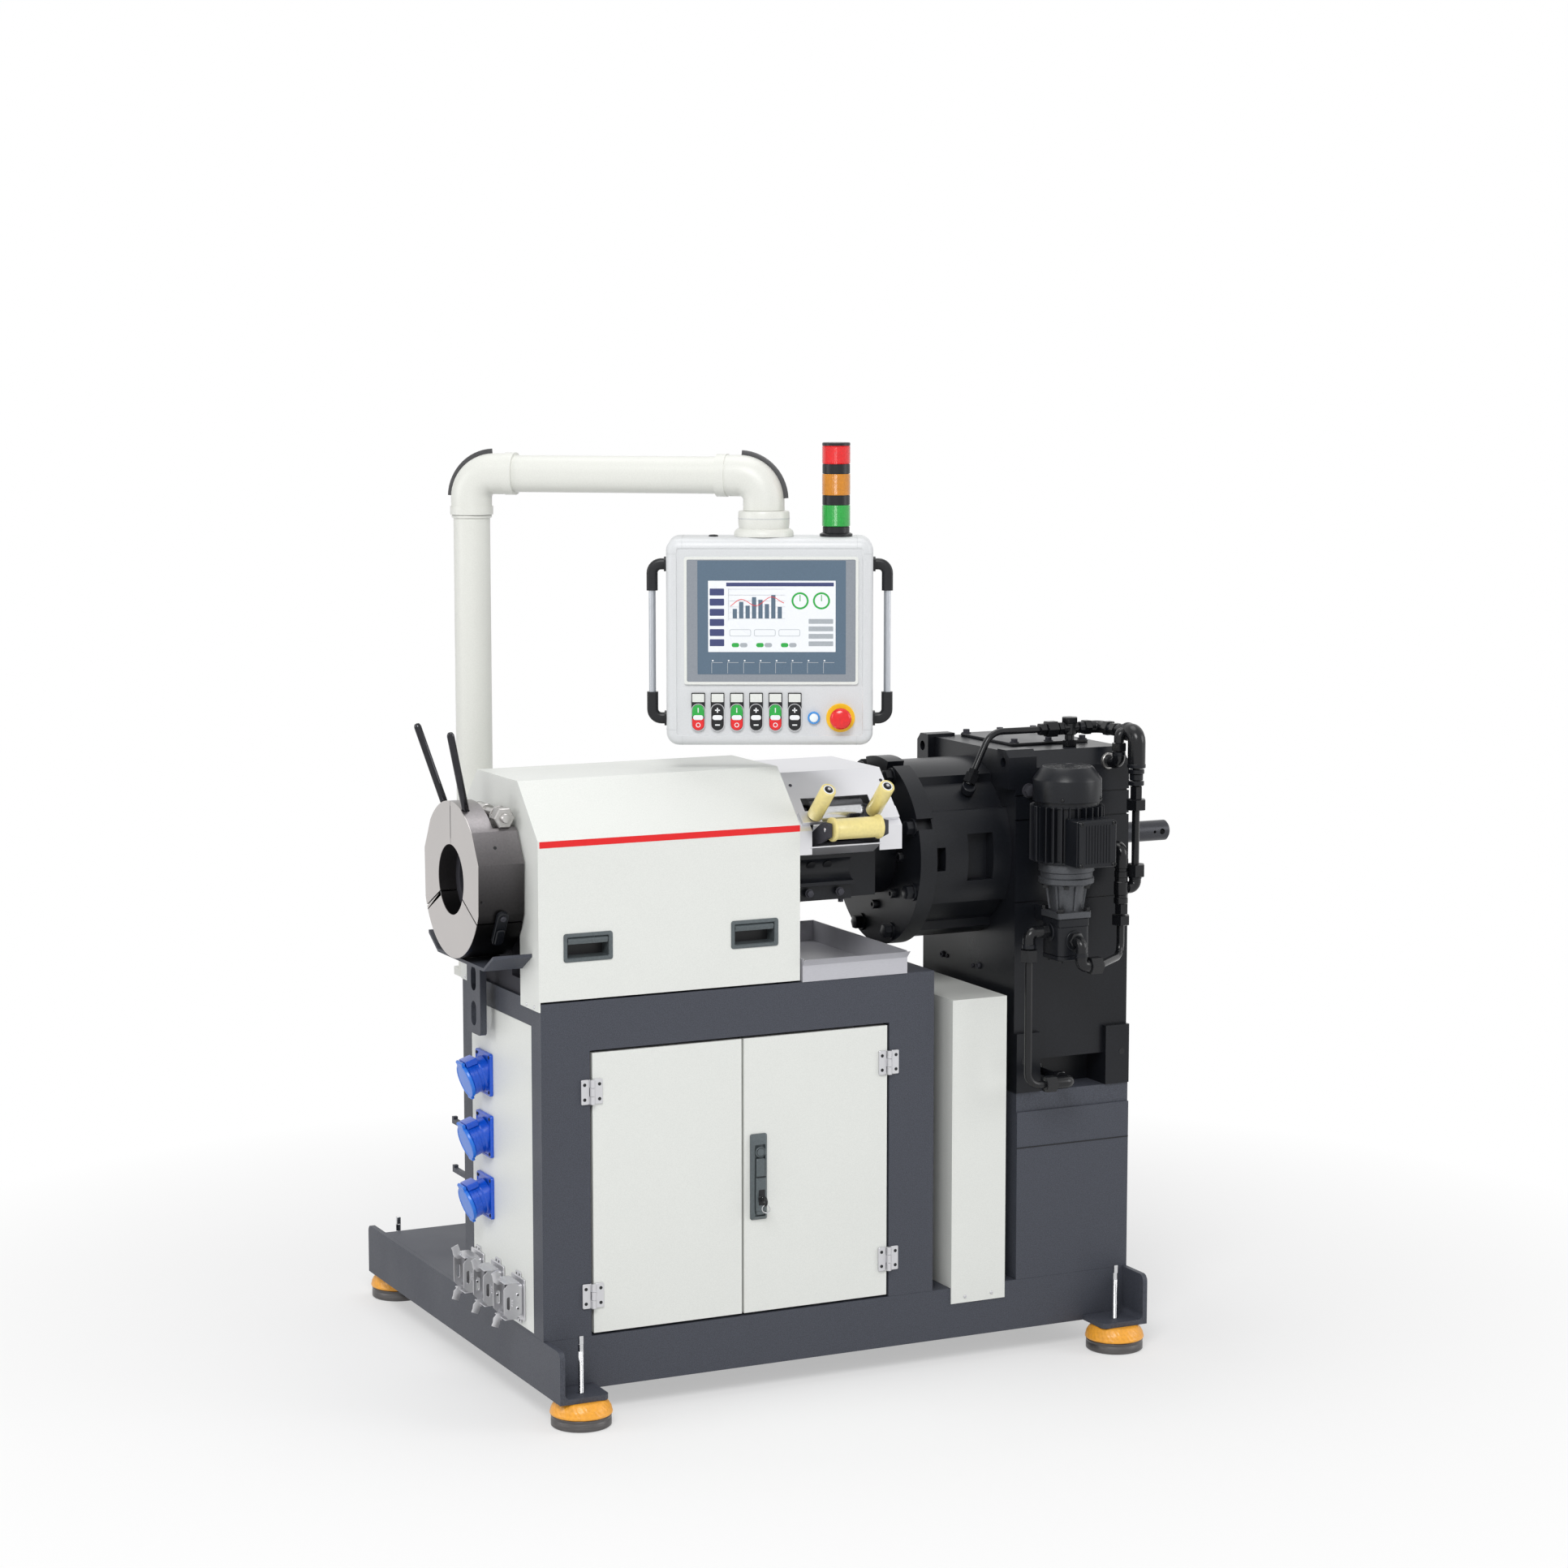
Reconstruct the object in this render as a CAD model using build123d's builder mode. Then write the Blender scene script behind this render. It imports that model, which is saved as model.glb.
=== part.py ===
# Silicone extruder: skid, control cabinet, covered barrel, head clamp, feed, gearbox, operator arm
import os
from math import atan2, cos, hypot, radians, sin, tan
from build123d import *

os.makedirs("parts", exist_ok=True)

# Clearance between neighbouring pieces
fit_gap = 0.3

# Skid, cross angles and levelling feet
skid_depth = 900.0
skid_height = 100.0
skid_lift = 50.0
skid_web = 8.0
skid_deck = 10.0
skid_lip = 50.0
angle_leg = 100.0
angle_thick = 10.0
angle_reach = 80.0
angle_round = 14.0
foot_inset = 55.0
foot_reach = 47.0
foot_base_dia = 113.0
foot_base_high = 22.0
foot_cap_dia = 117.0
foot_cap_top_dia = 96.0
foot_cap_crown = 10.0
stud_dia = 11.0
stud_above = 118.0
stud_hole_gap = 1.0

# Control cabinet with two doors
cab_length = 818.0
cab_depth = 402.0
cab_high = 634.5
cab_wall = 4.0
cab_front = 26.0
rail = 47.0
door_gap = 5.0
door_from_left = 101.7
door_from_right = 102.2
door_drop = 98.5
door_thick = 20.0
door_skin = 2.0
panel_thick = 4.0
hinge_high = 47.0
hinge_leaf = 21.5
hinge_leaf_thick = 4.0
knuckle_dia = 10.0
knuckle_out = 6.0
knuckle_share = 1 / 3
hinge_from_end = 72.0
lock_wide = 35.0
lock_high = 166.0
lock_thick = 3.0
lock_up = 179.7
lock_from_split = 32.0
lever_wide = 14.0
lever_long = 122.0
lever_thick = 9.0
lever_out = 12.0
lever_pivot_up = 132.0
boss_high = 12.0
pin_dia = 5.0

# Sockets, connectors and hooks on the end and back of the cabinet
socket_count = 3
socket_wide = 78.0
socket_high = 82.0
socket_flange = 6.0
socket_from_back = 119.0
socket_drop = 177.5
socket_pitch = 119.7
socket_body_dia = 62.0
socket_body_long = 38.0
socket_tilt = 18.0
lid_dia = 66.0
lid_thick = 7.0
lid_gap = 0.6
lid_pin_dia = 7.0
lid_pin_up = 36.0
lid_pin_long = 31.0
plug_count = 3
plug_from_front = 119.0
plug_pitch = 105.5
plug_up = 58.0
plug_flange_wide = 72.0
plug_flange_high = 78.0
plug_flange_thick = 4.0
plug_wide = 44.0
plug_high = 66.0
plug_long = 26.0
hook_up = 223.0
hook_pitch = 97.0
hook_long = 68.0
hook_bar = 9.0
hook_lip = 14.0

# Barrel, cover over it and the cover's end arch
axis_up = 211.5
barrel_dia = 150.0
bore_dia = 91.0
screw_gap = 0.5
rest_from_end = 8.0
rest_long = 34.0
rest_foot_wide = 250.0
rest_foot_high = 29.0
rest_post_wide = 80.0
feed_room = 289.0
cover_gap = 4.0
cover_side = 297.5
cover_rise = 100.7
cover_slope = 98.3
cover_sheet = 3.0
arch_wide = 218.0
arch_drop = 14.5
arch_thick = 3.0
cup_wide = 98.0
cup_high = 53.5
cup_up = 70.5
cup_from_left = 46.0
cup_from_right = 46.0
cup_lip = 1.5
cup_deep = 38.0
cup_wall = 2.0
cup_edge = 6.0

# Head clamp in three segments with levers, links, swing bolt, tray and slotted bar
clamp_dia = 294.0
clamp_depth = 90.4
clamp_behind = 6.0
clamp_split = 1.6
clamp_fall_angle = 27.0
head_bore = 132.0
clamp_step = 34.0
upper_flat_angle = 30.0
upper_flat_half_angle = 13.0
side_flat_angle = -1.5
side_flat_half_angle = 18.5
jaw_notch_long = 46.0
bolt_dia = 18.0
bolt_back = 33.0
bolt_from_wall = 30.0
bolt_below_rim = 23.0
bolt_long = 150.0
nut_dia = 42.0
nut_high = 26.0
nut_sides = 6
handle_dia = 14.0
handle_base_y = 53.0
handle_tip_y = 88.0
handle_base_x = 84.0
handle_below_rim = 21.0
handle_rise = 155.0
handle_hole_gap = 0.3
handle_seat = 60.0
nose_reach = 134.0
link_wide = 22.0
link_high = 74.0
link_thick = 14.0
link_fall_angle = 30.0
tray_gap = 3.0
tray_sheet = 6.0
tray_half = 120.0
tray_wing = 49.0
tray_wing_rise = 29.0
tray_front = 80.0
bar_wide = 69.0
bar_thick = 13.0
bar_long = 152.0
bar_out = 30.0
bar_from_axis = 64.0
bar_round = 8.0
slot_wide = 26.0
slot_high = 47.0
slot_first_up = 39.0
slot_second_up = 106.0

# Feed zone: block, hood, feed roll, guide rollers and drip tray
feed_gap = 5.0
block_long = 130.0
block_back_long = 62.0
block_back_front = 72.0
block_front = 52.0
block_drop = 66.0
block_high = 98.0
block_lip = 14.0
block_lip_low = 30.0
block_lip_high = 37.0
block_under = 27.0
block_hollow = 10.0
block_hollow_mid = 55.0
block_hollow_top = 80.0
neck_dia = 168.0
hood_gap = 48.0
hood_sheet = 3.0
hood_drop = 13.0
hood_skirt = 46.0
window_from_left = 26.7
window_from_right = 48.0
window_rise = 55.0
roll_dia = 84.0
roll_from_left = 28.0
roll_from_right = 4.0
roll_forward = 105.0
roll_up = 86.0
roll_pin_dia = 22.0
roll_pin_gap = 0.3
guide_dia = 30.0
guide_long = 82.0
guide_lift = 12.0
guide_from_left = 36.7
guide_from_right = 58.0
guide_y = 21.0
guide_pin_dia = 10.0
guide_pin_proud = 2.0
cross_dia = 40.0
cross_rim_dia = 46.0
cross_rim = 8.0
cross_from_left = 25.0
cross_from_right = 15.0
cross_y = -26.0
cross_up = 81.0
arm_thick = 8.0
arm_gap = 4.0
arm_half = 13.0
seat_front = 53.0
seat_deep = 28.0
seat_high = 9.0
clip_margin = 9.0
clip_wide = 26.0
clip_thick = 8.0
clip_end_margin = 4.0
bearing_thick = 12.0
bearing_half = 24.0
bearing_gap = 6.0
pan_margin = 60.0
pan_high = 44.2
pan_sheet = 2.5
pan_front = 2.0
pan_lip = 13.0

# Lantern, gearbox, pedestal, drive guard and drive motor
lantern_over = 22.0
flange_dia = 372.0
flange_thick = 36.0
flange_slot_wide = 22.0
flange_slot_deep = 22.0
flange_slot_angles = (22.5, 72.0, 108.0, 157.5)
lantern_dia = 352.0
lantern_step = 14.0
lantern_pad = 180.0
pocket_long = 24.0
pocket_high = 46.0
pocket_deep = 30.0
window_gap = 74.0
window_long = 56.0
window_high = 92.0
gear_long = 257.0
gear_inset = 12.0
gear_drop = 471.0
gear_foot_high = 118.0
gear_up = 200.0
gear_foot_wide = 54.0
gear_chamfer = 30.0
gear_arch_high = 63.0
gear_arch_deep = 60.0
gear_seam = 3.0
gear_seam_ups = (115.0, 67.0, -95.0)
lug_thick = 16.0
lug_wide = 46.0
lug_high = 76.0
lug_rise = 6.0
lug_chamfer = 14.0
lug_hole_dia = 20.0
shaft_dia = 42.0
inner_shaft_dia = 38.0
shaft_gap = 0.6
stub_long = 205.0
stub_hole_dia = 12.0
stub_hole_back = 20.0
stub_pin_dia = 6.0
stub_pin_back = 38.0
stub_chamfer = 4.0
pedestal_gap = 27.0
pedestal_shift = 2.0
pedestal_neck = 38.2
pedestal_inset = 4.0
guard_gap = 40.0
guard_wide = 120.0
guard_lower = 61.5
guard_sheet = 3.0
guard_drop = 31.0
guard_behind = 140.0
motor_dia = 250.0
motor_core_dia = 222.0
motor_fin_count = 24
motor_fin_thick = 6.0
motor_long = 430.0
motor_cowl_long = 96.0
motor_shield_long = 40.0
motor_shield_dia = 236.0
motor_stand_off = 98.0
motor_behind = 248.0
motor_axis_up = 160.0
motor_foot_wide = 230.0
motor_foot_long = 240.0
motor_foot_high = 46.0
motor_box = 120.0
motor_shaft_dia = 48.0

# Lubrication pump and its pipes on the front of the gearbox
pump_from_left = 64.0
pump_y = 75.0
pump_drop = 193.0
pump_wide = 70.0
pump_round = 12.0
pump_high = 65.0
pump_pad = 40.0
square_side = 74.0
square_high = 29.0
square_step = 5.0
square_step_share = 0.55
bell_dia = 74.0
bell_low_dia = 60.0
bell_high = 53.0
bell_top_dia = 108.0
bell_top_high = 42.0
fin_dia = 144.0
core_dia = 112.0
fin_high = 120.0
fin_count = 20
fin_thick = 4.0
cowl_dia = 134.0
cowl_top_dia = 98.0
cowl_high = 42.0
cowl_crown = 24.0
box_wide = 84.0
box_high = 92.0
box_deep = 36.0
box_shift = 6.0
pipe_dia = 15.0
pipe_bend = 26.0
pipe_bend_tight = 16.0
suction_side = 82.0
suction_up = 55.0
suction_down = 247.0
suction_in = 15.0
port_up = 39.0
port_reach = 60.0
port_bend = 10.0
outlet_drop = 8.0
outlet_side = 43.0
riser_side = 133.0
riser_y = 60.0
valve_up = 53.0
valve_high = 165.0
valve_wide = 28.0
branch_up = 73.0
return_side = 165.0
run_up = 36.0
run_y = 82.0
run_side = 97.0
drop_y = 30.0
drop_side = 143.0
drop_down = 24.0
hose_dia = 13.0
hose_bend = 40.0
hose_side = 82.0
hose_reach = 131.0
hose_up = 136.0
tee_dia = 28.0

# Operator arm: post, boom, swivelling panel, light tower
post_x = 46.0
post_behind = 44.0
tube_dia = 70.0
post_drop = 12.5
post_long = 889.0
plate_thick = 8.0
plate_high = 75.0
boom_up = 79.0
elbow_dia = 77.0
elbow_bend = 46.0
elbow_leg = 79.0
swivel_x = 496.0
swivel_y = 88.0
swivel_gap = 0.5
neck_drop = 65.0
disc_dia = 97.0
disc_high = 34.5
skirt_dia = 113.0
skirt_high = 13.7
panel_shift = 11.0
panel_wide = 388.0
panel_deep = 130.0
panel_high = 390.0
panel_round = 22.0
panel_yaw = 26.0
display_wide = 316.0
display_shift = 14.0
display_up = 121.0
display_high = 229.0
display_thick = 6.0
button_first = -123.0
button_pitch = 36.2
button_count = 6
button_wide = 26.0
button_up = 29.0
button_high = 71.0
button_out = 11.0
switch_up = 53.0
lamp_u = 94.0
lamp_dia = 23.0
stop_u = 144.0
stop_dia = 54.0
stop_plate = 3.0
stop_neck_dia = 26.0
stop_neck = 14.0
stop_head_dia = 40.0
stop_head = 16.0
grip_u = 222.0
grip_dia = 13.0
grip_elbow_dia = 20.0
grip_up = 46.0
grip_high = 292.0
tower_u = 136.0
tower_dia = 53.0
tower_core_dia = 49.0
tower_base_dia = 62.0
tower_base_high = 6.0
tower_first = 18.7
lens_high = 40.0
lens_pitch = 58.5
lens_count = 3

# Places along the machine, from the cabinet's left end
cover_length = cab_length - feed_room
feed_start = cover_length + feed_gap
guard_start = cab_length + guard_gap
guard_end = guard_start + guard_wide
pedestal_start = guard_end + pedestal_gap
gear_start = pedestal_start - pedestal_shift
gear_end = gear_start + gear_long
skid_length = gear_end
stub_end = gear_end + stub_long
lantern_start = cab_length - lantern_over
pump_x = gear_start + pump_from_left
motor_start = guard_start - motor_stand_off - motor_long

# Heights above the floor
deck_z = skid_lift + skid_height
cab_low = deck_z + fit_gap
cab_top = deck_z + cab_high
axis_z = cab_top + axis_up
cover_low = cab_top + cover_gap
cover_bend = cover_low + cover_side
cover_top = cover_bend + cover_rise
gear_low = axis_z - gear_drop
gear_top = axis_z + gear_up
post_low = cab_top - post_drop
post_top = post_low + post_long
boom_z = post_top + boom_up
neck_low = boom_z - neck_drop
disc_low = neck_low - swivel_gap - disc_high
panel_top = disc_low - skirt_high - fit_gap
panel_low = panel_top - panel_high

# Reach of the outline to each side, and the origin in the middle of the box on the floor
front_reach = pump_y + fin_dia / 2 + fit_gap + box_deep
back_reach = foot_reach + foot_cap_dia / 2
x0 = -(stub_end - nose_reach) / 2
y0 = -(skid_depth + back_reach - front_reach) / 2
axis_y = y0 + cab_depth / 2
post_y = cab_depth + post_behind
motor_y = cab_depth + motor_behind

# Ways to place and turn pieces
half_turn = 180.0
quarter_turn = 90.0
corner = (Align.MIN, Align.MIN, Align.MIN)
stand = (Align.CENTER, Align.CENTER, Align.MIN)
front_stand = (Align.CENTER, Align.MIN, Align.MIN)
left_mid = (Align.MAX, Align.CENTER, Align.CENTER)
right_mid = (Align.MIN, Align.CENTER, Align.CENTER)
along_x = (0, quarter_turn, 0)
along_y = (-quarter_turn, 0, 0)


def across(x, y, z):
    """Plane across the machine at x: its first axis runs to the back, its second up."""
    return Plane(origin=(x0 + x, y0 + y, z), x_dir=(0, 1, 0), z_dir=(1, 0, 0))


screw_plane = across(0, cab_depth / 2, axis_z)

# Skid: two channels and a deck, notched at its ends for the cross angles
skid_run = skid_length - 2 * (angle_thick + fit_gap)
notch_long = angle_leg - angle_thick
with BuildPart() as base_frame:
    with BuildSketch(across(angle_thick + fit_gap, 0, skid_lift)):
        with Locations((skid_depth / 2, skid_height / 2)):
            Rectangle(skid_depth, skid_height)
        with Locations((skid_depth / 2, (skid_height - skid_deck + skid_web) / 2)):
            Rectangle(skid_depth - 2 * skid_web, skid_height - skid_deck - skid_web, mode=Mode.SUBTRACT)
        with Locations((skid_depth / 2, skid_web / 2)):
            Rectangle(skid_depth - 2 * skid_lip, skid_web, mode=Mode.SUBTRACT)
    extrude(amount=skid_run)
    for notch_x in (x0 + angle_thick + fit_gap, x0 + skid_length - angle_leg - fit_gap):
        with Locations((notch_x, y0, skid_lift)):
            Box(notch_long, skid_depth, angle_thick + fit_gap, align=corner, mode=Mode.SUBTRACT)

# Cross angles at both ends, drilled for the levelling studs
angle_long = skid_depth + 2 * angle_reach
far_wall = skid_length - angle_thick
far_ledge = skid_length - angle_leg
flush = (Align.MIN, Align.MIN)
foot_xs = (x0 + foot_inset, x0 + skid_length - foot_inset)
foot_ys = (y0 - foot_reach, y0 + skid_depth + foot_reach)
foot_spots = [(foot_x, foot_y) for foot_x in foot_xs for foot_y in foot_ys]
with BuildPart() as cross_angles:
    for wall_start, ledge_start, free_side in ((0, 0, -1), (far_wall, far_ledge, 0)):
        with BuildSketch(across(wall_start, -angle_reach, skid_lift)) as wall_face:
            Rectangle(angle_long, skid_height, align=flush)
            fillet(wall_face.vertices().group_by(Axis.Y)[-1], angle_round)
        extrude(amount=angle_thick)
        with BuildSketch(Plane.XY.offset(skid_lift)) as ledge_face:
            with Locations((x0 + ledge_start, y0 - angle_reach)):
                Rectangle(angle_leg, angle_long, align=flush)
            fillet(ledge_face.vertices().group_by(Axis.X)[free_side], angle_round)
        extrude(amount=angle_thick)
    for foot_x, foot_y in foot_spots:
        with Locations((foot_x, foot_y, skid_lift)):
            Cylinder(stud_dia / 2 + stud_hole_gap, angle_thick, align=stand, mode=Mode.SUBTRACT)

with BuildPart() as foot_bases:
    for foot_x, foot_y in foot_spots:
        with Locations((foot_x, foot_y, 0)):
            Cylinder(foot_base_dia / 2, foot_base_high, align=stand)

cap_low = foot_base_high + fit_gap
foot_cap_side = skid_lift - fit_gap - foot_cap_crown - cap_low
with BuildPart() as foot_caps:
    for foot_x, foot_y in foot_spots:
        with Locations((foot_x, foot_y, cap_low)):
            Cylinder(foot_cap_dia / 2, foot_cap_side, align=stand)
        with Locations((foot_x, foot_y, cap_low + foot_cap_side)):
            Cone(foot_cap_dia / 2, foot_cap_top_dia / 2, foot_cap_crown, align=stand)

with BuildPart() as foot_studs:
    for foot_x, foot_y in foot_spots:
        with Locations((foot_x, foot_y, skid_lift)):
            Cylinder(stud_dia / 2, stud_above, align=stand)

# Cabinet: hollow box with a door opening in front, a panel opening in its end and two hooks behind
cab_tall = cab_top - cab_low
door_left = x0 + door_from_left
door_right = x0 + cab_length - door_from_right
door_low = cab_low + door_gap
door_top = cab_top - door_drop
open_wide = door_right - door_left + 2 * door_gap
side_low = cab_low + cab_wall
side_wide = cab_depth - 2 * rail
side_high = cab_top - rail - side_low
inside_long = cab_length - 2 * cab_wall
inside_deep = cab_depth - cab_front - cab_wall
inside_high = cab_tall - 2 * cab_wall
with BuildPart() as cabinet:
    with Locations((x0, y0, cab_low)):
        Box(cab_length, cab_depth, cab_tall, align=corner)
    with Locations((x0 + cab_wall, y0 + cab_front, cab_low + cab_wall)):
        Box(inside_long, inside_deep, inside_high, align=corner, mode=Mode.SUBTRACT)
    with Locations((door_left - door_gap, y0, cab_low)):
        Box(open_wide, cab_front, door_top + door_gap - cab_low, align=corner, mode=Mode.SUBTRACT)
    with Locations((x0, y0 + rail, side_low)):
        Box(cab_wall, side_wide, side_high, align=corner, mode=Mode.SUBTRACT)
    for hook_z in (deck_z + hook_up, deck_z + hook_up + hook_pitch):
        with Locations((x0, y0 + cab_depth, hook_z)):
            Box(hook_bar, hook_long, hook_bar, align=corner)
        with Locations((x0, y0 + cab_depth + hook_long - hook_bar, hook_z)):
            Box(hook_bar, hook_bar, hook_lip, align=corner)

with BuildPart() as side_panel:
    with Locations((x0, y0 + rail + fit_gap, side_low + fit_gap)):
        Box(panel_thick, side_wide - 2 * fit_gap, side_high - 2 * fit_gap, align=corner)

# Doors: folded sheet pans
door_high = door_top - door_low
split_x = (door_left + door_right) / 2
leaf_wide = (door_right - door_left - door_gap) / 2
pan_wide = leaf_wide - 2 * door_skin
pan_tall = door_high - 2 * door_skin
door_rim = door_thick - door_skin
with BuildPart() as left_door:
    with Locations((door_left, y0, door_low)):
        Box(leaf_wide, door_thick, door_high, align=corner)
    with Locations((door_left + door_skin, y0 + door_skin, door_low + door_skin)):
        Box(pan_wide, door_rim, pan_tall, align=corner, mode=Mode.SUBTRACT)

right_leaf_x = split_x + door_gap / 2
with BuildPart() as right_door:
    with Locations((right_leaf_x, y0, door_low)):
        Box(leaf_wide, door_thick, door_high, align=corner)
    with Locations((right_leaf_x + door_skin, y0 + door_skin, door_low + door_skin)):
        Box(pan_wide, door_rim, pan_tall, align=corner, mode=Mode.SUBTRACT)

# Hinges: outer knuckles on the frame leaf, the middle knuckle on the door leaf
left_pin_x = door_left - door_gap / 2
right_pin_x = door_right + door_gap / 2
hinge_y = y0 - knuckle_out
hinge_half = hinge_high / 2
hinge_zs = (door_low + hinge_from_end - hinge_half, door_top - hinge_from_end - hinge_half)
knuckle = hinge_high * knuckle_share
leaf_y = y0 - fit_gap - hinge_leaf_thick
leaf_in = knuckle_dia / 2 + fit_gap
leaf_mid = (leaf_in + hinge_leaf) / 2
leaf_plate = hinge_leaf - leaf_in
with BuildPart() as frame_hinges:
    for hinge_x, side in ((left_pin_x, -1), (right_pin_x, 1)):
        for hinge_z in hinge_zs:
            with Locations((hinge_x + side * leaf_mid, leaf_y, hinge_z)):
                Box(leaf_plate, hinge_leaf_thick, hinge_high, align=front_stand)
            for knuckle_z in (hinge_z, hinge_z + 2 * knuckle + fit_gap):
                with Locations((hinge_x, hinge_y, knuckle_z)):
                    Cylinder(knuckle_dia / 2, knuckle - fit_gap, align=stand)
                with Locations((hinge_x + side * leaf_in / 2, leaf_y, knuckle_z)):
                    Box(leaf_in, hinge_leaf_thick, knuckle - fit_gap, align=front_stand)

with BuildPart() as left_door_hinges:
    for hinge_z in hinge_zs:
        with Locations((left_pin_x + leaf_mid, leaf_y, hinge_z)):
            Box(leaf_plate, hinge_leaf_thick, hinge_high, align=front_stand)
        with Locations((left_pin_x, hinge_y, hinge_z + knuckle)):
            Cylinder(knuckle_dia / 2, knuckle, align=stand)
        with Locations((left_pin_x + leaf_in / 2, leaf_y, hinge_z + knuckle)):
            Box(leaf_in, hinge_leaf_thick, knuckle, align=front_stand)

with BuildPart() as right_door_hinges:
    for hinge_z in hinge_zs:
        with Locations((right_pin_x - leaf_mid, leaf_y, hinge_z)):
            Box(leaf_plate, hinge_leaf_thick, hinge_high, align=front_stand)
        with Locations((right_pin_x, hinge_y, hinge_z + knuckle)):
            Cylinder(knuckle_dia / 2, knuckle, align=stand)
        with Locations((right_pin_x - leaf_in / 2, leaf_y, hinge_z + knuckle)):
            Box(leaf_in, hinge_leaf_thick, knuckle, align=front_stand)

# Lock dish on the right door and its tilting lever
lock_x = split_x + lock_from_split
lock_low = door_low + lock_up
lock_face = y0 - fit_gap - lock_thick
pivot_z = lock_low + lever_pivot_up
ear_x = lever_wide / 2 + fit_gap + pin_dia / 2
with BuildPart() as lock_dish:
    with Locations((lock_x, lock_face, lock_low)):
        Box(lock_wide, lock_thick, lock_high, align=front_stand)
    for side in (-1, 1):
        with Locations((lock_x + side * ear_x, lock_face, pivot_z)):
            Box(pin_dia, lever_out, boss_high, align=(Align.CENTER, Align.MAX, Align.CENTER))

lever_y = lock_face - lever_out / 2
with BuildPart() as lock_lever:
    with Locations((lock_x, lever_y, pivot_z)):
        Cylinder(lever_thick / 2, lever_wide, rotation=along_x)
    with Locations((lock_x, lever_y, pivot_z - lever_long)):
        Box(lever_wide, lever_thick, lever_long, align=stand)

# Sockets on the cabinet's end, their bodies tilted down, with sprung lids
socket_zs = [cab_top - socket_drop - socket_pitch * row for row in range(socket_count)]
socket_y = y0 + cab_depth - socket_from_back
socket_face = x0 - fit_gap
socket_way = (-cos(radians(socket_tilt)), 0, -sin(radians(socket_tilt)))
with BuildPart() as socket_bodies:
    for socket_z in socket_zs:
        with Locations((socket_face, socket_y, socket_z)):
            Box(socket_flange, socket_wide, socket_high, align=left_mid)
        with BuildSketch(Plane(origin=(socket_face, socket_y, socket_z), x_dir=(0, 1, 0), z_dir=socket_way)):
            Circle(socket_body_dia / 2)
        extrude(amount=socket_body_long)
        with Locations((socket_face, socket_y, socket_z)):
            Box(socket_high, socket_wide, socket_high, align=right_mid, mode=Mode.SUBTRACT)

lids = []
for socket_z in socket_zs:
    lid_mouth = Plane(origin=(socket_face, socket_y, socket_z), x_dir=(0, -1, 0), z_dir=socket_way)
    lid_plane = lid_mouth.offset(socket_body_long + lid_gap)
    lid_top = lid_plane.from_local_coords((0, lid_pin_up, lid_thick / 2))
    with BuildPart() as socket_lid:
        with BuildSketch(lid_plane):
            Circle(lid_dia / 2)
            with Locations((0, lid_pin_up / 2)):
                Rectangle(lid_pin_long, lid_pin_up)
        extrude(amount=lid_thick)
        with Locations(lid_top):
            Cylinder(lid_pin_dia / 2, lid_pin_long, rotation=along_y)
    lids.append(socket_lid.part)

plug_ys = [y0 + plug_from_front + plug_pitch * row for row in range(plug_count)]
plug_z = deck_z + plug_up
with BuildPart() as connectors:
    for plug_y in plug_ys:
        with Locations((socket_face, plug_y, plug_z)):
            Box(plug_flange_thick, plug_flange_wide, plug_flange_high, align=left_mid)
        with Locations((socket_face - plug_flange_thick, plug_y, plug_z)):
            Box(plug_long, plug_wide, plug_high, align=left_mid)

# Barrel cover: bent sheet with an arch in its left end and a closed right end
half = cab_depth / 2
top_half = half - cover_slope
roof = [(half, cover_bend), (top_half, cover_top), (-top_half, cover_top), (-half, cover_bend)]
outline = [(-half, cover_low), (half, cover_low)] + roof
arch_foot = cab_top - arch_drop
arch_outline = [(-half, arch_foot), (half, arch_foot)] + roof
inner_half = half - cover_sheet
inner_top = cover_top - cover_sheet
inner_slope_half = top_half - cover_sheet / 2
inner = [
    (-inner_half, cover_low), (inner_half, cover_low), (inner_half, cover_bend),
    (inner_slope_half, inner_top), (-inner_slope_half, inner_top), (-inner_half, cover_bend),
]
cover_plane = across(0, cab_depth / 2, 0)
cup_xs = (x0 + cup_from_left, x0 + cover_length - cup_from_right - cup_wide)
cup_z = cover_low + cup_up
hole_wide = cup_wide - 2 * cup_edge
hole_high = cup_high - 2 * cup_edge
with BuildPart() as barrel_cover:
    with BuildSketch(cover_plane):
        Polygon(*outline, align=None)
        Polygon(*inner, align=None, mode=Mode.SUBTRACT)
    extrude(amount=cover_length)
    with BuildSketch(cover_plane.offset(-arch_thick)):
        Polygon(*arch_outline, align=None)
        with Locations((0, axis_z)):
            Circle(arch_wide / 2, mode=Mode.SUBTRACT)
        with Locations((0, arch_foot)):
            Rectangle(arch_wide, axis_z - arch_foot, align=(Align.CENTER, Align.MIN), mode=Mode.SUBTRACT)
    extrude(amount=arch_thick - fit_gap)
    with BuildSketch(cover_plane.offset(-fit_gap)):
        Polygon(*outline, align=None)
        Polygon(*inner, align=None, mode=Mode.SUBTRACT)
    extrude(amount=fit_gap)
    with BuildSketch(cover_plane.offset(cover_length - cover_sheet)):
        Polygon(*outline, align=None)
        with Locations((0, axis_z)):
            Circle(neck_dia / 2, mode=Mode.SUBTRACT)
    extrude(amount=cover_sheet)
    for cup_x in cup_xs:
        with Locations((cup_x + cup_edge, y0, cup_z + cup_edge)):
            Box(hole_wide, cover_sheet, hole_high, align=corner, mode=Mode.SUBTRACT)

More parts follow.
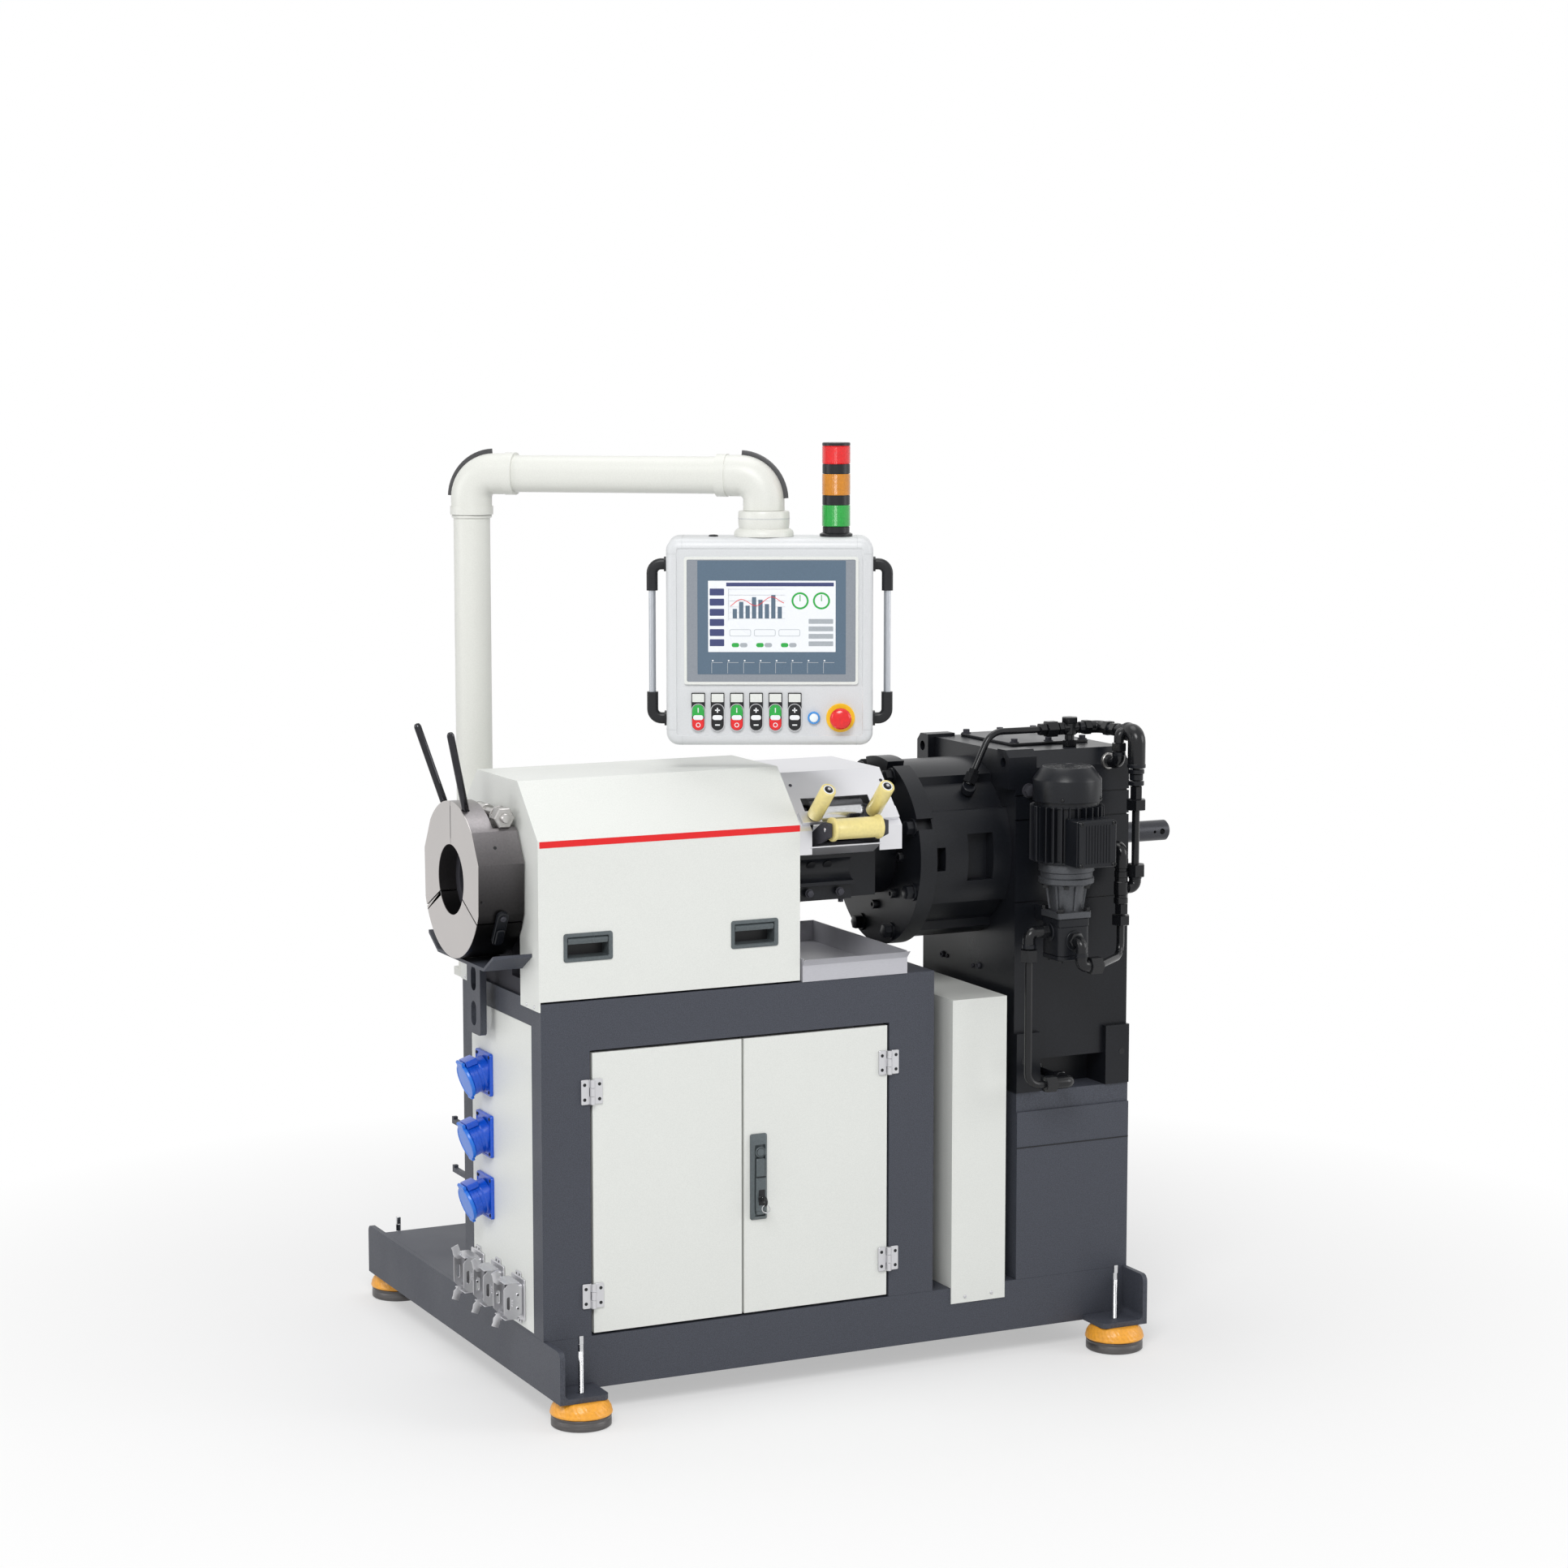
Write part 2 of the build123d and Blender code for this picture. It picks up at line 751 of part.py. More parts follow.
cup_body_wide = hole_wide - 2 * fit_gap
cup_body_high = hole_high - 2 * fit_gap
cup_in_wide = hole_wide - 2 * cup_wall
cup_in_high = hole_high - 2 * cup_wall
cup_front = y0 - fit_gap - cup_lip
with BuildPart() as cover_cups:
    for cup_x in cup_xs:
        with Locations((cup_x, cup_front, cup_z)):
            Box(cup_wide, cup_lip, cup_high, align=corner)
        with Locations((cup_x + cup_edge + fit_gap, y0 - fit_gap, cup_z + cup_edge + fit_gap)):
            Box(cup_body_wide, cup_deep, cup_body_high, align=corner)
        with Locations((cup_x + cup_edge + cup_wall, cup_front, cup_z + cup_edge + cup_wall)):
            Box(cup_in_wide, cup_deep, cup_in_high, align=corner, mode=Mode.SUBTRACT)

# Barrel tube from the head clamp to the feed block, and the rest that carries it on the cabinet
clamp_start = -clamp_behind - clamp_depth
barrel_start = clamp_start + clamp_step + fit_gap
with BuildPart() as barrel:
    with BuildSketch(screw_plane.offset(barrel_start)):
        Circle(barrel_dia / 2)
        Circle(bore_dia / 2, mode=Mode.SUBTRACT)
    extrude(amount=feed_start - fit_gap - barrel_start)

rest_low = cab_top + fit_gap
rest_high = axis_z - barrel_dia / 2 - fit_gap - rest_low
with BuildPart() as barrel_rest:
    with Locations((x0 + rest_from_end, axis_y, rest_low)):
        Box(rest_long, rest_foot_wide, rest_foot_high, align=(Align.MIN, Align.CENTER, Align.MIN))
        Box(rest_long, rest_post_wide, rest_high, align=(Align.MIN, Align.CENTER, Align.MIN))

# Head clamp: three segments of a ring with flats, the upper two notched for the swing bolt
clamp_plane = screw_plane.offset(clamp_start)
seat_bore = barrel_dia + 2 * fit_gap
far = clamp_dia
split = clamp_split / 2
fall = far * tan(radians(clamp_fall_angle))
front_sector = [(-split, clamp_split), (-split, far), (-far, far), (-far, clamp_split - fall)]
back_sector = [(split, clamp_split), (split, far), (far, far), (far, clamp_split - fall)]
base_side = -clamp_split - fall
base_sector = [(0, -clamp_split), (far, base_side), (far, -far), (-far, -far), (-far, base_side)]
flats = ((upper_flat_angle, upper_flat_half_angle), (side_flat_angle, side_flat_half_angle))
front_flats = [(half_turn - angle, clamp_dia / 2 * cos(radians(span))) for angle, span in flats]
back_flats = [(angle, clamp_dia / 2 * cos(radians(span))) for angle, span in flats]
notch_x = x0 - clamp_behind - jaw_notch_long / 2
bolt_up = clamp_dia / 2 - bolt_below_rim
handle_up = clamp_dia / 2 - handle_below_rim
jaw_notch_up = bolt_up - nut_dia / 2 * cos(radians(half_turn / nut_sides)) - fit_gap
handle_z = axis_z + handle_up
handle_tip_x = x0 - nose_reach + handle_dia / 2
handle_feet = [(x0 - handle_base_x, axis_y + side * handle_base_y, handle_z) for side in (-1, 1)]
handle_tips = [(handle_tip_x, axis_y + side * handle_tip_y, handle_z + handle_rise) for side in (-1, 1)]
handle_dirs = [Vector(*tip) - Vector(*foot) for foot, tip in zip(handle_feet, handle_tips)]
with BuildPart() as clamp_front_jaw:
    with BuildSketch(clamp_plane):
        Circle(clamp_dia / 2)
        Polygon(*front_sector, align=None, mode=Mode.INTERSECT)
        for way, reach in front_flats:
            with Locations(Location((reach * cos(radians(way)), reach * sin(radians(way)), 0), (0, 0, way))):
                Rectangle(far, far, align=(Align.MIN, Align.CENTER), mode=Mode.SUBTRACT)
    extrude(amount=clamp_depth)
    with BuildSketch(clamp_plane):
        Circle(head_bore / 2)
    extrude(amount=clamp_step, mode=Mode.SUBTRACT)
    with BuildSketch(clamp_plane.offset(clamp_step)):
        Circle(seat_bore / 2)
    extrude(amount=clamp_depth - clamp_step, mode=Mode.SUBTRACT)
    with Locations((notch_x, axis_y, axis_z + jaw_notch_up)):
        Box(jaw_notch_long, clamp_dia, clamp_dia, align=stand, mode=Mode.SUBTRACT)
    with BuildSketch(Plane(origin=handle_feet[0], z_dir=handle_dirs[0])):
        Circle(handle_dia / 2 + handle_hole_gap)
    extrude(amount=handle_seat, mode=Mode.SUBTRACT)

with BuildPart() as clamp_back_jaw:
    with BuildSketch(clamp_plane):
        Circle(clamp_dia / 2)
        Polygon(*back_sector, align=None, mode=Mode.INTERSECT)
        for way, reach in back_flats:
            with Locations(Location((reach * cos(radians(way)), reach * sin(radians(way)), 0), (0, 0, way))):
                Rectangle(far, far, align=(Align.MIN, Align.CENTER), mode=Mode.SUBTRACT)
    extrude(amount=clamp_depth)
    with BuildSketch(clamp_plane):
        Circle(head_bore / 2)
    extrude(amount=clamp_step, mode=Mode.SUBTRACT)
    with BuildSketch(clamp_plane.offset(clamp_step)):
        Circle(seat_bore / 2)
    extrude(amount=clamp_depth - clamp_step, mode=Mode.SUBTRACT)
    with Locations((notch_x, axis_y, axis_z + jaw_notch_up)):
        Box(jaw_notch_long, clamp_dia, clamp_dia, align=stand, mode=Mode.SUBTRACT)
    with BuildSketch(Plane(origin=handle_feet[1], z_dir=handle_dirs[1])):
        Circle(handle_dia / 2 + handle_hole_gap)
    extrude(amount=handle_seat, mode=Mode.SUBTRACT)

with BuildPart() as clamp_base:
    with BuildSketch(clamp_plane):
        Circle(clamp_dia / 2)
        Polygon(*base_sector, align=None, mode=Mode.INTERSECT)
    extrude(amount=clamp_depth)
    with BuildSketch(clamp_plane):
        Circle(head_bore / 2)
    extrude(amount=clamp_step, mode=Mode.SUBTRACT)
    with BuildSketch(clamp_plane.offset(clamp_step)):
        Circle(seat_bore / 2)
    extrude(amount=clamp_depth - clamp_step, mode=Mode.SUBTRACT)

bolt_x = x0 - bolt_from_wall
bolt_y = axis_y + bolt_back - bolt_long
bolt_z = axis_z + bolt_up
nut_plane = Plane(origin=(bolt_x, bolt_y + bolt_dia / 2, bolt_z), x_dir=(1, 0, 0), z_dir=(0, 1, 0))
with BuildPart() as swing_bolt:
    with Locations((bolt_x, bolt_y, bolt_z)):
        Cylinder(bolt_dia / 2, bolt_long, rotation=along_y, align=stand)
    with BuildSketch(nut_plane):
        RegularPolygon(nut_dia / 2, nut_sides)
    extrude(amount=nut_high)

with BuildPart() as clamp_handles:
    for foot, tip, way in zip(handle_feet, handle_tips, handle_dirs):
        with BuildSketch(Plane(origin=foot, z_dir=way)):
            Circle(handle_dia / 2)
        extrude(amount=way.length)
        with Locations(tip):
            Sphere(handle_dia / 2)

link_out = clamp_dia / 2 + fit_gap
link_sin = sin(radians(link_fall_angle))
link_cos = cos(radians(link_fall_angle))
link_mid = (x0 - clamp_behind - clamp_depth / 2, axis_y, axis_z)
with BuildPart() as clamp_links:
    for side in (-1, 1):
        link_up = (0, side * link_sin, link_cos)
        link_way = (0, side * link_cos, -link_sin)
        with BuildSketch(Plane(origin=link_mid, x_dir=link_up, z_dir=link_way).offset(link_out)):
            Rectangle(link_high, link_wide)
        extrude(amount=link_thick)

tray_top = axis_z - clamp_dia / 2 - tray_gap
tray_low = tray_top - tray_sheet
wing_y = tray_half + tray_wing
tray_shape = [
    (-tray_half, tray_low), (tray_half, tray_low), (wing_y, tray_low + tray_wing_rise),
    (wing_y, tray_top + tray_wing_rise), (tray_half, tray_top), (-tray_half, tray_top),
    (-wing_y, tray_top + tray_wing_rise), (-wing_y, tray_low + tray_wing_rise),
]
with BuildPart() as catch_tray:
    with BuildSketch(cover_plane.offset(-tray_front)):
        Polygon(*tray_shape, align=None)
    extrude(amount=tray_front - arch_thick - fit_gap)

bar_top = tray_low - fit_gap
bar_low = bar_top - bar_long
with BuildPart() as slotted_bar:
    with BuildSketch(across(-bar_out, cab_depth / 2 + bar_from_axis, bar_low)):
        with Locations((0, bar_long / 2)):
            RectangleRounded(bar_wide, bar_long, bar_round)
        with Locations((0, slot_first_up), (0, slot_second_up)):
            SlotOverall(slot_high, slot_wide, rotation=half_turn / 2, mode=Mode.SUBTRACT)
    extrude(amount=bar_thick)

# Feed block with a hollowed front and a lip, bored for the screw, and the neck that reaches the lantern
block_low = axis_z - block_drop
block_top = block_low + block_high
block_back = cab_depth - block_front
block_end = feed_start + block_long
lip_y = block_front - block_lip
with BuildPart() as feed_block:
    with BuildSketch(across(feed_start, 0, block_low)):
        with BuildLine():
            Polyline(
                (lip_y, block_lip_high), (lip_y, block_lip_low), (block_front, block_under), (block_front, 0),
                (block_back, 0), (block_back, block_high), (block_front, block_high),
                (block_front, block_hollow_top),
            )
            hollow_mid = (block_front + block_hollow, block_hollow_mid)
            ThreePointArc((block_front, block_hollow_top), hollow_mid, (lip_y, block_lip_high))
        make_face()
    extrude(amount=block_long)
    with Locations((x0 + block_end, y0 + block_back_front, block_low)):
        Box(block_back_long, cab_depth - 2 * block_back_front, block_high, align=corner)
    with BuildSketch(screw_plane.offset(block_end)):
        Circle(neck_dia / 2)
    extrude(amount=lantern_start - fit_gap - block_end)
    with BuildSketch(screw_plane.offset(feed_start)):
        Circle(bore_dia / 2)
    extrude(amount=lantern_start - feed_start, mode=Mode.SUBTRACT)

# Feed hood: slanted sheet like the cover, open where the strip runs in
hood_start = cover_length + fit_gap
hood_end = lantern_start - hood_gap
hood_top = cover_top - hood_drop
hood_bend = cover_bend - hood_drop
hood_low = hood_bend - hood_skirt
hood_half = half - hood_sheet
hood_outer = [
    (-hood_half, hood_low), (-hood_half, hood_bend), (-top_half, hood_top),
    (top_half, hood_top), (hood_half, hood_bend), (hood_half, hood_low),
]
shrunk = hood_half - hood_sheet
under_top = hood_top - hood_sheet
hood_inner = [
    (-shrunk, hood_low), (-shrunk, hood_bend), (-top_half, under_top),
    (top_half, under_top), (shrunk, hood_bend), (shrunk, hood_low),
]
window_start = hood_start + window_from_left
window_end = hood_end - window_from_right
with BuildPart() as feed_hood:
    with BuildSketch(cover_plane.offset(hood_start)):
        Polygon(*hood_outer, align=None)
        Polygon(*hood_inner, align=None, mode=Mode.SUBTRACT)
    extrude(amount=hood_end - hood_start)
    with Locations((x0 + window_start, y0 - hood_sheet, hood_low)):
        Box(window_end - window_start, half, window_rise + hood_skirt, align=corner, mode=Mode.SUBTRACT)

roll_start = window_start + roll_from_left
roll_y = cab_depth / 2 - roll_forward
roll_long = window_end - roll_from_right - roll_start
roll_z = axis_z + roll_up
with BuildPart() as feed_roll:
    with BuildSketch(across(roll_start, roll_y, roll_z)):
        Circle(roll_dia / 2)
    extrude(amount=roll_long)
    with BuildSketch(across(roll_start - roll_pin_dia, roll_y, roll_z)):
        Circle(roll_pin_dia / 2)
    extrude(amount=roll_long + 2 * roll_pin_dia)

# Guide rollers: two square to the slanted hood, one along the machine
slant = atan2(cover_rise, cover_slope - hood_sheet)
guide_dir = (0, -sin(slant), cos(slant))
guide_z = hood_bend + (guide_y - hood_sheet) * tan(slant)
guide_first_x = hood_start + guide_from_left
guide_second_x = hood_end - guide_from_right
first_spot = (x0 + guide_first_x, y0 + guide_y, guide_z)
second_spot = (x0 + guide_second_x, y0 + guide_y, guide_z)
with BuildPart() as guide_roller_a:
    with BuildSketch(Plane(origin=first_spot, x_dir=(1, 0, 0), z_dir=guide_dir).offset(guide_lift)):
        Circle(guide_dia / 2)
        Circle(guide_pin_dia / 2 + fit_gap, mode=Mode.SUBTRACT)
    extrude(amount=guide_long)

with BuildPart() as guide_roller_b:
    with BuildSketch(Plane(origin=second_spot, x_dir=(1, 0, 0), z_dir=guide_dir).offset(guide_lift)):
        Circle(guide_dia / 2)
        Circle(guide_pin_dia / 2 + fit_gap, mode=Mode.SUBTRACT)
    extrude(amount=guide_long)

cross_start = window_start + cross_from_left
cross_long = window_end - cross_from_right - cross_start
cross_z = axis_z + cross_up
with BuildPart() as cross_roller:
    with BuildSketch(across(cross_start, cross_y, cross_z)):
        Circle(cross_dia / 2)
        Circle(guide_pin_dia / 2 + fit_gap, mode=Mode.SUBTRACT)
    extrude(amount=cross_long)
    for rim_x in (cross_start, cross_start + cross_long - cross_rim):
        with BuildSketch(across(rim_x, cross_y, cross_z)):
            Circle(cross_rim_dia / 2)
            Circle(guide_pin_dia / 2 + fit_gap, mode=Mode.SUBTRACT)
        extrude(amount=cross_rim)

# Brackets: clips with pins for the slanted rollers, arms for the cross roller, bearings for the feed roll
clip_plane = Plane(origin=(x0, y0 + guide_y, guide_z), x_dir=(1, 0, 0), z_dir=guide_dir).offset(fit_gap)
clips = (
    (hood_start + clip_margin, guide_first_x + clip_wide / 2, guide_first_x),
    (guide_second_x - clip_wide / 2, hood_end - clip_end_margin, guide_second_x),
)
arm_xs = (cross_start - arm_gap - arm_thick, cross_start + cross_long + arm_gap)
arms_wide = arm_xs[1] - arm_xs[0] + arm_thick
seat_z = block_top + fit_gap
arm_shape = [
    (seat_front, seat_z), (seat_front + seat_deep, seat_z), (seat_front + seat_deep, seat_z + seat_high),
    (cross_y + arm_half, cross_z + arm_half), (cross_y - arm_half, cross_z + arm_half),
    (cross_y - arm_half, cross_z - arm_half),
]
bearing_xs = (roll_start - bearing_gap - bearing_thick, roll_start + roll_long + bearing_gap)
bearing_high = roll_z + bearing_half - seat_z
bearing_bore = roll_pin_dia / 2 + roll_pin_gap
with BuildPart() as roller_brackets:
    for clip_low, clip_high, pin_x in clips:
        with BuildSketch(clip_plane):
            with Locations(((clip_low + clip_high) / 2, 0)):
                Rectangle(clip_high - clip_low, clip_wide)
        extrude(amount=clip_thick)
        with BuildSketch(clip_plane):
            with Locations((pin_x, 0)):
                Circle(guide_pin_dia / 2)
        extrude(amount=guide_lift + guide_long + guide_pin_proud)
    for arm_x in arm_xs:
        with BuildSketch(across(arm_x, 0, 0)):
            Polygon(*arm_shape, align=None)
        extrude(amount=arm_thick)
    with Locations((x0 + arm_xs[0], y0 + seat_front, seat_z)):
        Box(arms_wide, seat_deep, seat_high, align=corner)
    with BuildSketch(across(arm_xs[0], cross_y, cross_z)):
        Circle(guide_pin_dia / 2)
    extrude(amount=arms_wide)
    for bearing_x in bearing_xs:
        with Locations((x0 + bearing_x, y0 + roll_y, seat_z)):
            Box(bearing_thick, 2 * bearing_half, bearing_high, align=(Align.MIN, Align.CENTER, Align.MIN))
        with Locations((x0 + bearing_x, y0 + roll_y, roll_z)):
            Cylinder(bearing_bore, bearing_thick, rotation=along_x, align=stand, mode=Mode.SUBTRACT)

# Drip tray on the cabinet under the feed zone, with lips turned outwards
pan_low = cab_top + fit_gap
pan_rim = pan_low + pan_high
pan_long = cab_length - pan_margin - feed_start
pan_deep = cab_depth + 2 * pan_front
lip_shape = [
    (-pan_front, pan_rim - pan_lip), (-pan_front - pan_lip, pan_rim),
    (-pan_front - pan_lip + pan_sheet, pan_rim), (-pan_front + pan_sheet, pan_rim - pan_lip),
]
with BuildPart() as drip_pan:
    with Locations((x0 + feed_start, y0 - pan_front, pan_low)):
        Box(pan_long, pan_deep, pan_high - pan_lip, align=corner)
    with Locations((x0 + feed_start, y0 + cab_depth + pan_front - pan_sheet, pan_low)):
        Box(pan_long, pan_sheet, pan_high, align=corner)
    for wall_x in (feed_start, feed_start + pan_long - pan_sheet):
        with Locations((x0 + wall_x, y0 - pan_front, pan_low)):
            Box(pan_sheet, pan_deep, pan_high, align=corner)
    with Locations((x0 + feed_start + pan_sheet, y0 - pan_front + pan_sheet, pan_low + pan_sheet)):
        Box(pan_long - 2 * pan_sheet, pan_deep - 2 * pan_sheet, pan_high, align=corner, mode=Mode.SUBTRACT)
    with BuildSketch(across(feed_start, 0, 0)):
        Polygon(*lip_shape, align=None)
    extrude(amount=pan_long)

# Lantern: slotted flange and a round housing with four pads, pockets and windows
lantern_low = lantern_start + flange_thick
lantern_long = gear_start - fit_gap - lantern_low
slot_reach = flange_dia / 2 - flange_slot_deep
pocket_x = x0 + lantern_low
window_x = x0 + lantern_low + window_gap
with BuildPart() as lantern:
    with BuildSketch(screw_plane.offset(lantern_start)):
        Circle(flange_dia / 2)
        for angle in flange_slot_angles:
            way = half_turn - angle
            slot_spot = (slot_reach * cos(radians(way)), slot_reach * sin(radians(way)), 0)
            with Locations(Location(slot_spot, (0, 0, way))):
                Rectangle(flange_dia, flange_slot_wide, align=(Align.MIN, Align.CENTER), mode=Mode.SUBTRACT)
    extrude(amount=flange_thick)
    with BuildSketch(screw_plane.offset(lantern_low)):
        Circle(lantern_dia / 2 - lantern_step)
    extrude(amount=lantern_long)
    with BuildSketch(screw_plane.offset(lantern_low)):
        Circle(lantern_dia / 2)
        Rectangle(lantern_pad, lantern_dia, mode=Mode.INTERSECT)
    extrude(amount=lantern_long)
    with BuildSketch(screw_plane.offset(lantern_low)):
        Circle(lantern_dia / 2)
        Rectangle(lantern_dia, lantern_pad, mode=Mode.INTERSECT)
    extrude(amount=lantern_long)
    for side in (-1, 1):
        side_y = axis_y + side * (lantern_dia / 2 - pocket_deep / 2)
        with Locations((pocket_x, side_y, axis_z)):
            Box(pocket_long, pocket_deep, pocket_high, align=right_mid, mode=Mode.SUBTRACT)
        with Locations((window_x, side_y, axis_z)):
            Box(window_long, pocket_deep, window_high, align=right_mid, mode=Mode.SUBTRACT)
    with BuildSketch(screw_plane.offset(lantern_start)):
        Circle(bore_dia / 2)
    extrude(amount=gear_start - lantern_start, mode=Mode.SUBTRACT)

# Gearbox: cast box with chamfered top edges, feet with an arch between them, seams and lifting lugs
gear_front = gear_inset
gear_back = cab_depth - gear_inset
gear_deep = gear_back - gear_front
gear_core = gear_deep - 2 * gear_seam
arch_long = gear_long - 2 * gear_foot_wide
gear_shape = [
    (gear_front, gear_low), (gear_back, gear_low), (gear_back, gear_top - gear_chamfer),
    (gear_back - gear_chamfer, gear_top), (gear_front + gear_chamfer, gear_top),
    (gear_front, gear_top - gear_chamfer),
]
lug_top = gear_top + lug_rise
lug_low = lug_top - lug_high
lug_shapes = [
    [
        (edge, lug_low), (edge + side * lug_wide, lug_low), (edge + side * lug_wide, lug_top),
        (edge + side * lug_chamfer, lug_top), (edge, lug_top - lug_chamfer),
    ]
    for edge, side in ((gear_front, 1), (gear_back, -1))
]
lug_hole_z = gear_top - lug_high / 4
with BuildPart() as gearbox:
    with BuildSketch(across(gear_start, 0, 0)):
        Polygon(*gear_shape, align=None)
    extrude(amount=gear_long)
    for foot_x in (gear_start, gear_end - gear_foot_wide):
        with Locations((x0 + foot_x, y0, gear_low)):
            Box(gear_foot_wide, cab_depth, gear_foot_high, align=corner)
    for arch_y in (gear_front, gear_back - gear_arch_deep):
        with Locations((x0 + gear_start + gear_foot_wide, y0 + arch_y, gear_low)):
            Box(arch_long, gear_arch_deep, gear_arch_high, align=corner, mode=Mode.SUBTRACT)
    for lug_shape in lug_shapes:
        with BuildSketch(across(gear_start - lug_thick, 0, 0)):
            Polygon(*lug_shape, align=None)
        extrude(amount=lug_thick + lug_wide)
    for lug_y in (gear_front + lug_wide / 2, gear_back - lug_wide / 2):
        with Locations((x0 + gear_start - lug_thick, y0 + lug_y, lug_hole_z)):
            Cylinder(lug_hole_dia / 2, lug_thick, rotation=along_x, align=stand, mode=Mode.SUBTRACT)
    for seam_up in gear_seam_ups:
        with BuildSketch(Plane(origin=(x0 + gear_start, axis_y, axis_z + seam_up))):
            Rectangle(gear_long, gear_deep, align=(Align.MIN, Align.CENTER))
            Rectangle(gear_long - gear_seam, gear_core, align=(Align.MIN, Align.CENTER), mode=Mode.SUBTRACT)
        extrude(amount=gear_seam, mode=Mode.SUBTRACT)
    with BuildSketch(screw_plane.offset(gear_start)):
        Circle(shaft_dia / 2 + shaft_gap)
    extrude(amount=gear_long, mode=Mode.SUBTRACT)

# Screw with its drive shaft through the gearbox, ending in a drilled stub
screw_start = barrel_start + clamp_step
screw_end = lantern_low
with BuildPart() as screw:
    with BuildSketch(screw_plane.offset(screw_start)):
        Circle(bore_dia / 2 - screw_gap)
    extrude(amount=screw_end - screw_start)
    with BuildSketch(screw_plane.offset(screw_end)):
        Circle(inner_shaft_dia / 2)
    extrude(amount=gear_end - screw_end)
    with BuildSketch(screw_plane.offset(gear_end)):
        Circle(shaft_dia / 2)
    extrude(amount=stub_long - stub_chamfer)
    with Locations((x0 + stub_end - stub_chamfer, axis_y, axis_z)):
        Cone(shaft_dia / 2, shaft_dia / 2 - stub_chamfer, stub_chamfer, rotation=along_x, align=stand)
    for hole_dia, hole_back in ((stub_hole_dia, stub_hole_back), (stub_pin_dia, stub_pin_back)):
        with Locations((x0 + stub_end - hole_back, axis_y, axis_z)):
            Cylinder(hole_dia / 2, shaft_dia, rotation=along_y, mode=Mode.SUBTRACT)

pedestal_low = deck_z + fit_gap
pedestal_body = gear_low - fit_gap - pedestal_neck - pedestal_low
pedestal_long = gear_end - pedestal_start
with BuildPart() as pedestal:
    with Locations((x0 + pedestal_start, y0, pedestal_low)):
        Box(pedestal_long, cab_depth, pedestal_body, align=corner)
    with Locations((x0 + pedestal_start, y0 + pedestal_inset, pedestal_low + pedestal_body)):
        Box(pedestal_long, cab_depth - 2 * pedestal_inset, pedestal_neck, align=corner)

# Drive guard between cabinet and pedestal, and the drive motor behind the cabinet
guard_low = deck_z + fit_gap
guard_deep = motor_y + guard_behind
with BuildPart() as drive_guard:
    with Locations((x0 + guard_start, y0 - guard_sheet, guard_low)):
        Box(guard_wide, guard_deep + guard_sheet, cab_top - guard_lower - guard_low, align=corner)
    with Locations((x0 + guard_start, y0 - guard_sheet, deck_z - guard_drop)):
        Box(guard_wide, guard_sheet - fit_gap, guard_drop + guard_sheet, align=corner)

motor_z = guard_low + motor_axis_up
motor_fin_start = motor_start + motor_cowl_long
motor_fin_end = motor_start + motor_long - motor_shield_long
motor_mid = (motor_fin_start + motor_fin_end) / 2
motor_foot_top = motor_foot_high + motor_dia / 4
with BuildPart() as drive_motor:
    with BuildSketch(across(motor_start, motor_y, motor_z)):
        Circle(motor_dia / 2)
    extrude(amount=motor_cowl_long)
    with BuildSketch(across(motor_fin_start, motor_y, motor_z)):
        Circle(motor_core_dia / 2)
        with PolarLocations(motor_core_dia / 2, motor_fin_count):
            Rectangle(motor_dia - motor_core_dia, motor_fin_thick)
    extrude(amount=motor_fin_end - motor_fin_start)
    with BuildSketch(across(motor_fin_end, motor_y, motor_z)):
        Circle(motor_shield_dia / 2)
    extrude(amount=motor_shield_long)
    with BuildSketch(across(motor_start, motor_y, motor_z)):
        Circle(motor_shaft_dia / 2)
    extrude(amount=guard_start - fit_gap - motor_start)
    with Locations((x0 + motor_mid, y0 + motor_y, guard_low)):
        Box(motor_foot_long, motor_foot_wide, motor_foot_top, align=stand)
    with Locations((x0 + motor_mid, y0 + motor_y, motor_z)):
        Box(motor_box, motor_box, motor_dia / 2 + motor_foot_high, align=stand)

# Lubrication pump: pump body, square flange, bell, finned motor and cowl, stacked upwards
pump_low = axis_z - pump_drop
square_low = pump_low + pump_high
bell_low = square_low + square_high
bell_top_low = bell_low + bell_high
fin_low = bell_top_low + bell_top_high
cowl_low = fin_low + fin_high
pump_px = x0 + pump_x
pump_py = y0 - pump_y
with BuildPart() as pump_motor:
    with BuildSketch(Plane.XY.offset(fin_low)):
        with Locations((pump_px, pump_py)):
            Circle(core_dia / 2)
            with PolarLocations(core_dia / 2, fin_count):
                Rectangle(fin_dia - core_dia, fin_thick)
    extrude(amount=fin_high)
    with Locations((pump_px, pump_py, cowl_low)):
        Cylinder(cowl_dia / 2, cowl_high, align=stand)
    with Locations((pump_px, pump_py, cowl_low + cowl_high)):
        Cone(cowl_dia / 2, cowl_top_dia / 2, cowl_crown, align=stand)

with BuildPart() as terminal_box:
    with Locations((pump_px + box_shift, pump_py - fin_dia / 2 - fit_gap, fin_low)):
        Box(box_wide, box_deep, box_high, align=(Align.CENTER, Align.MAX, Align.MIN))

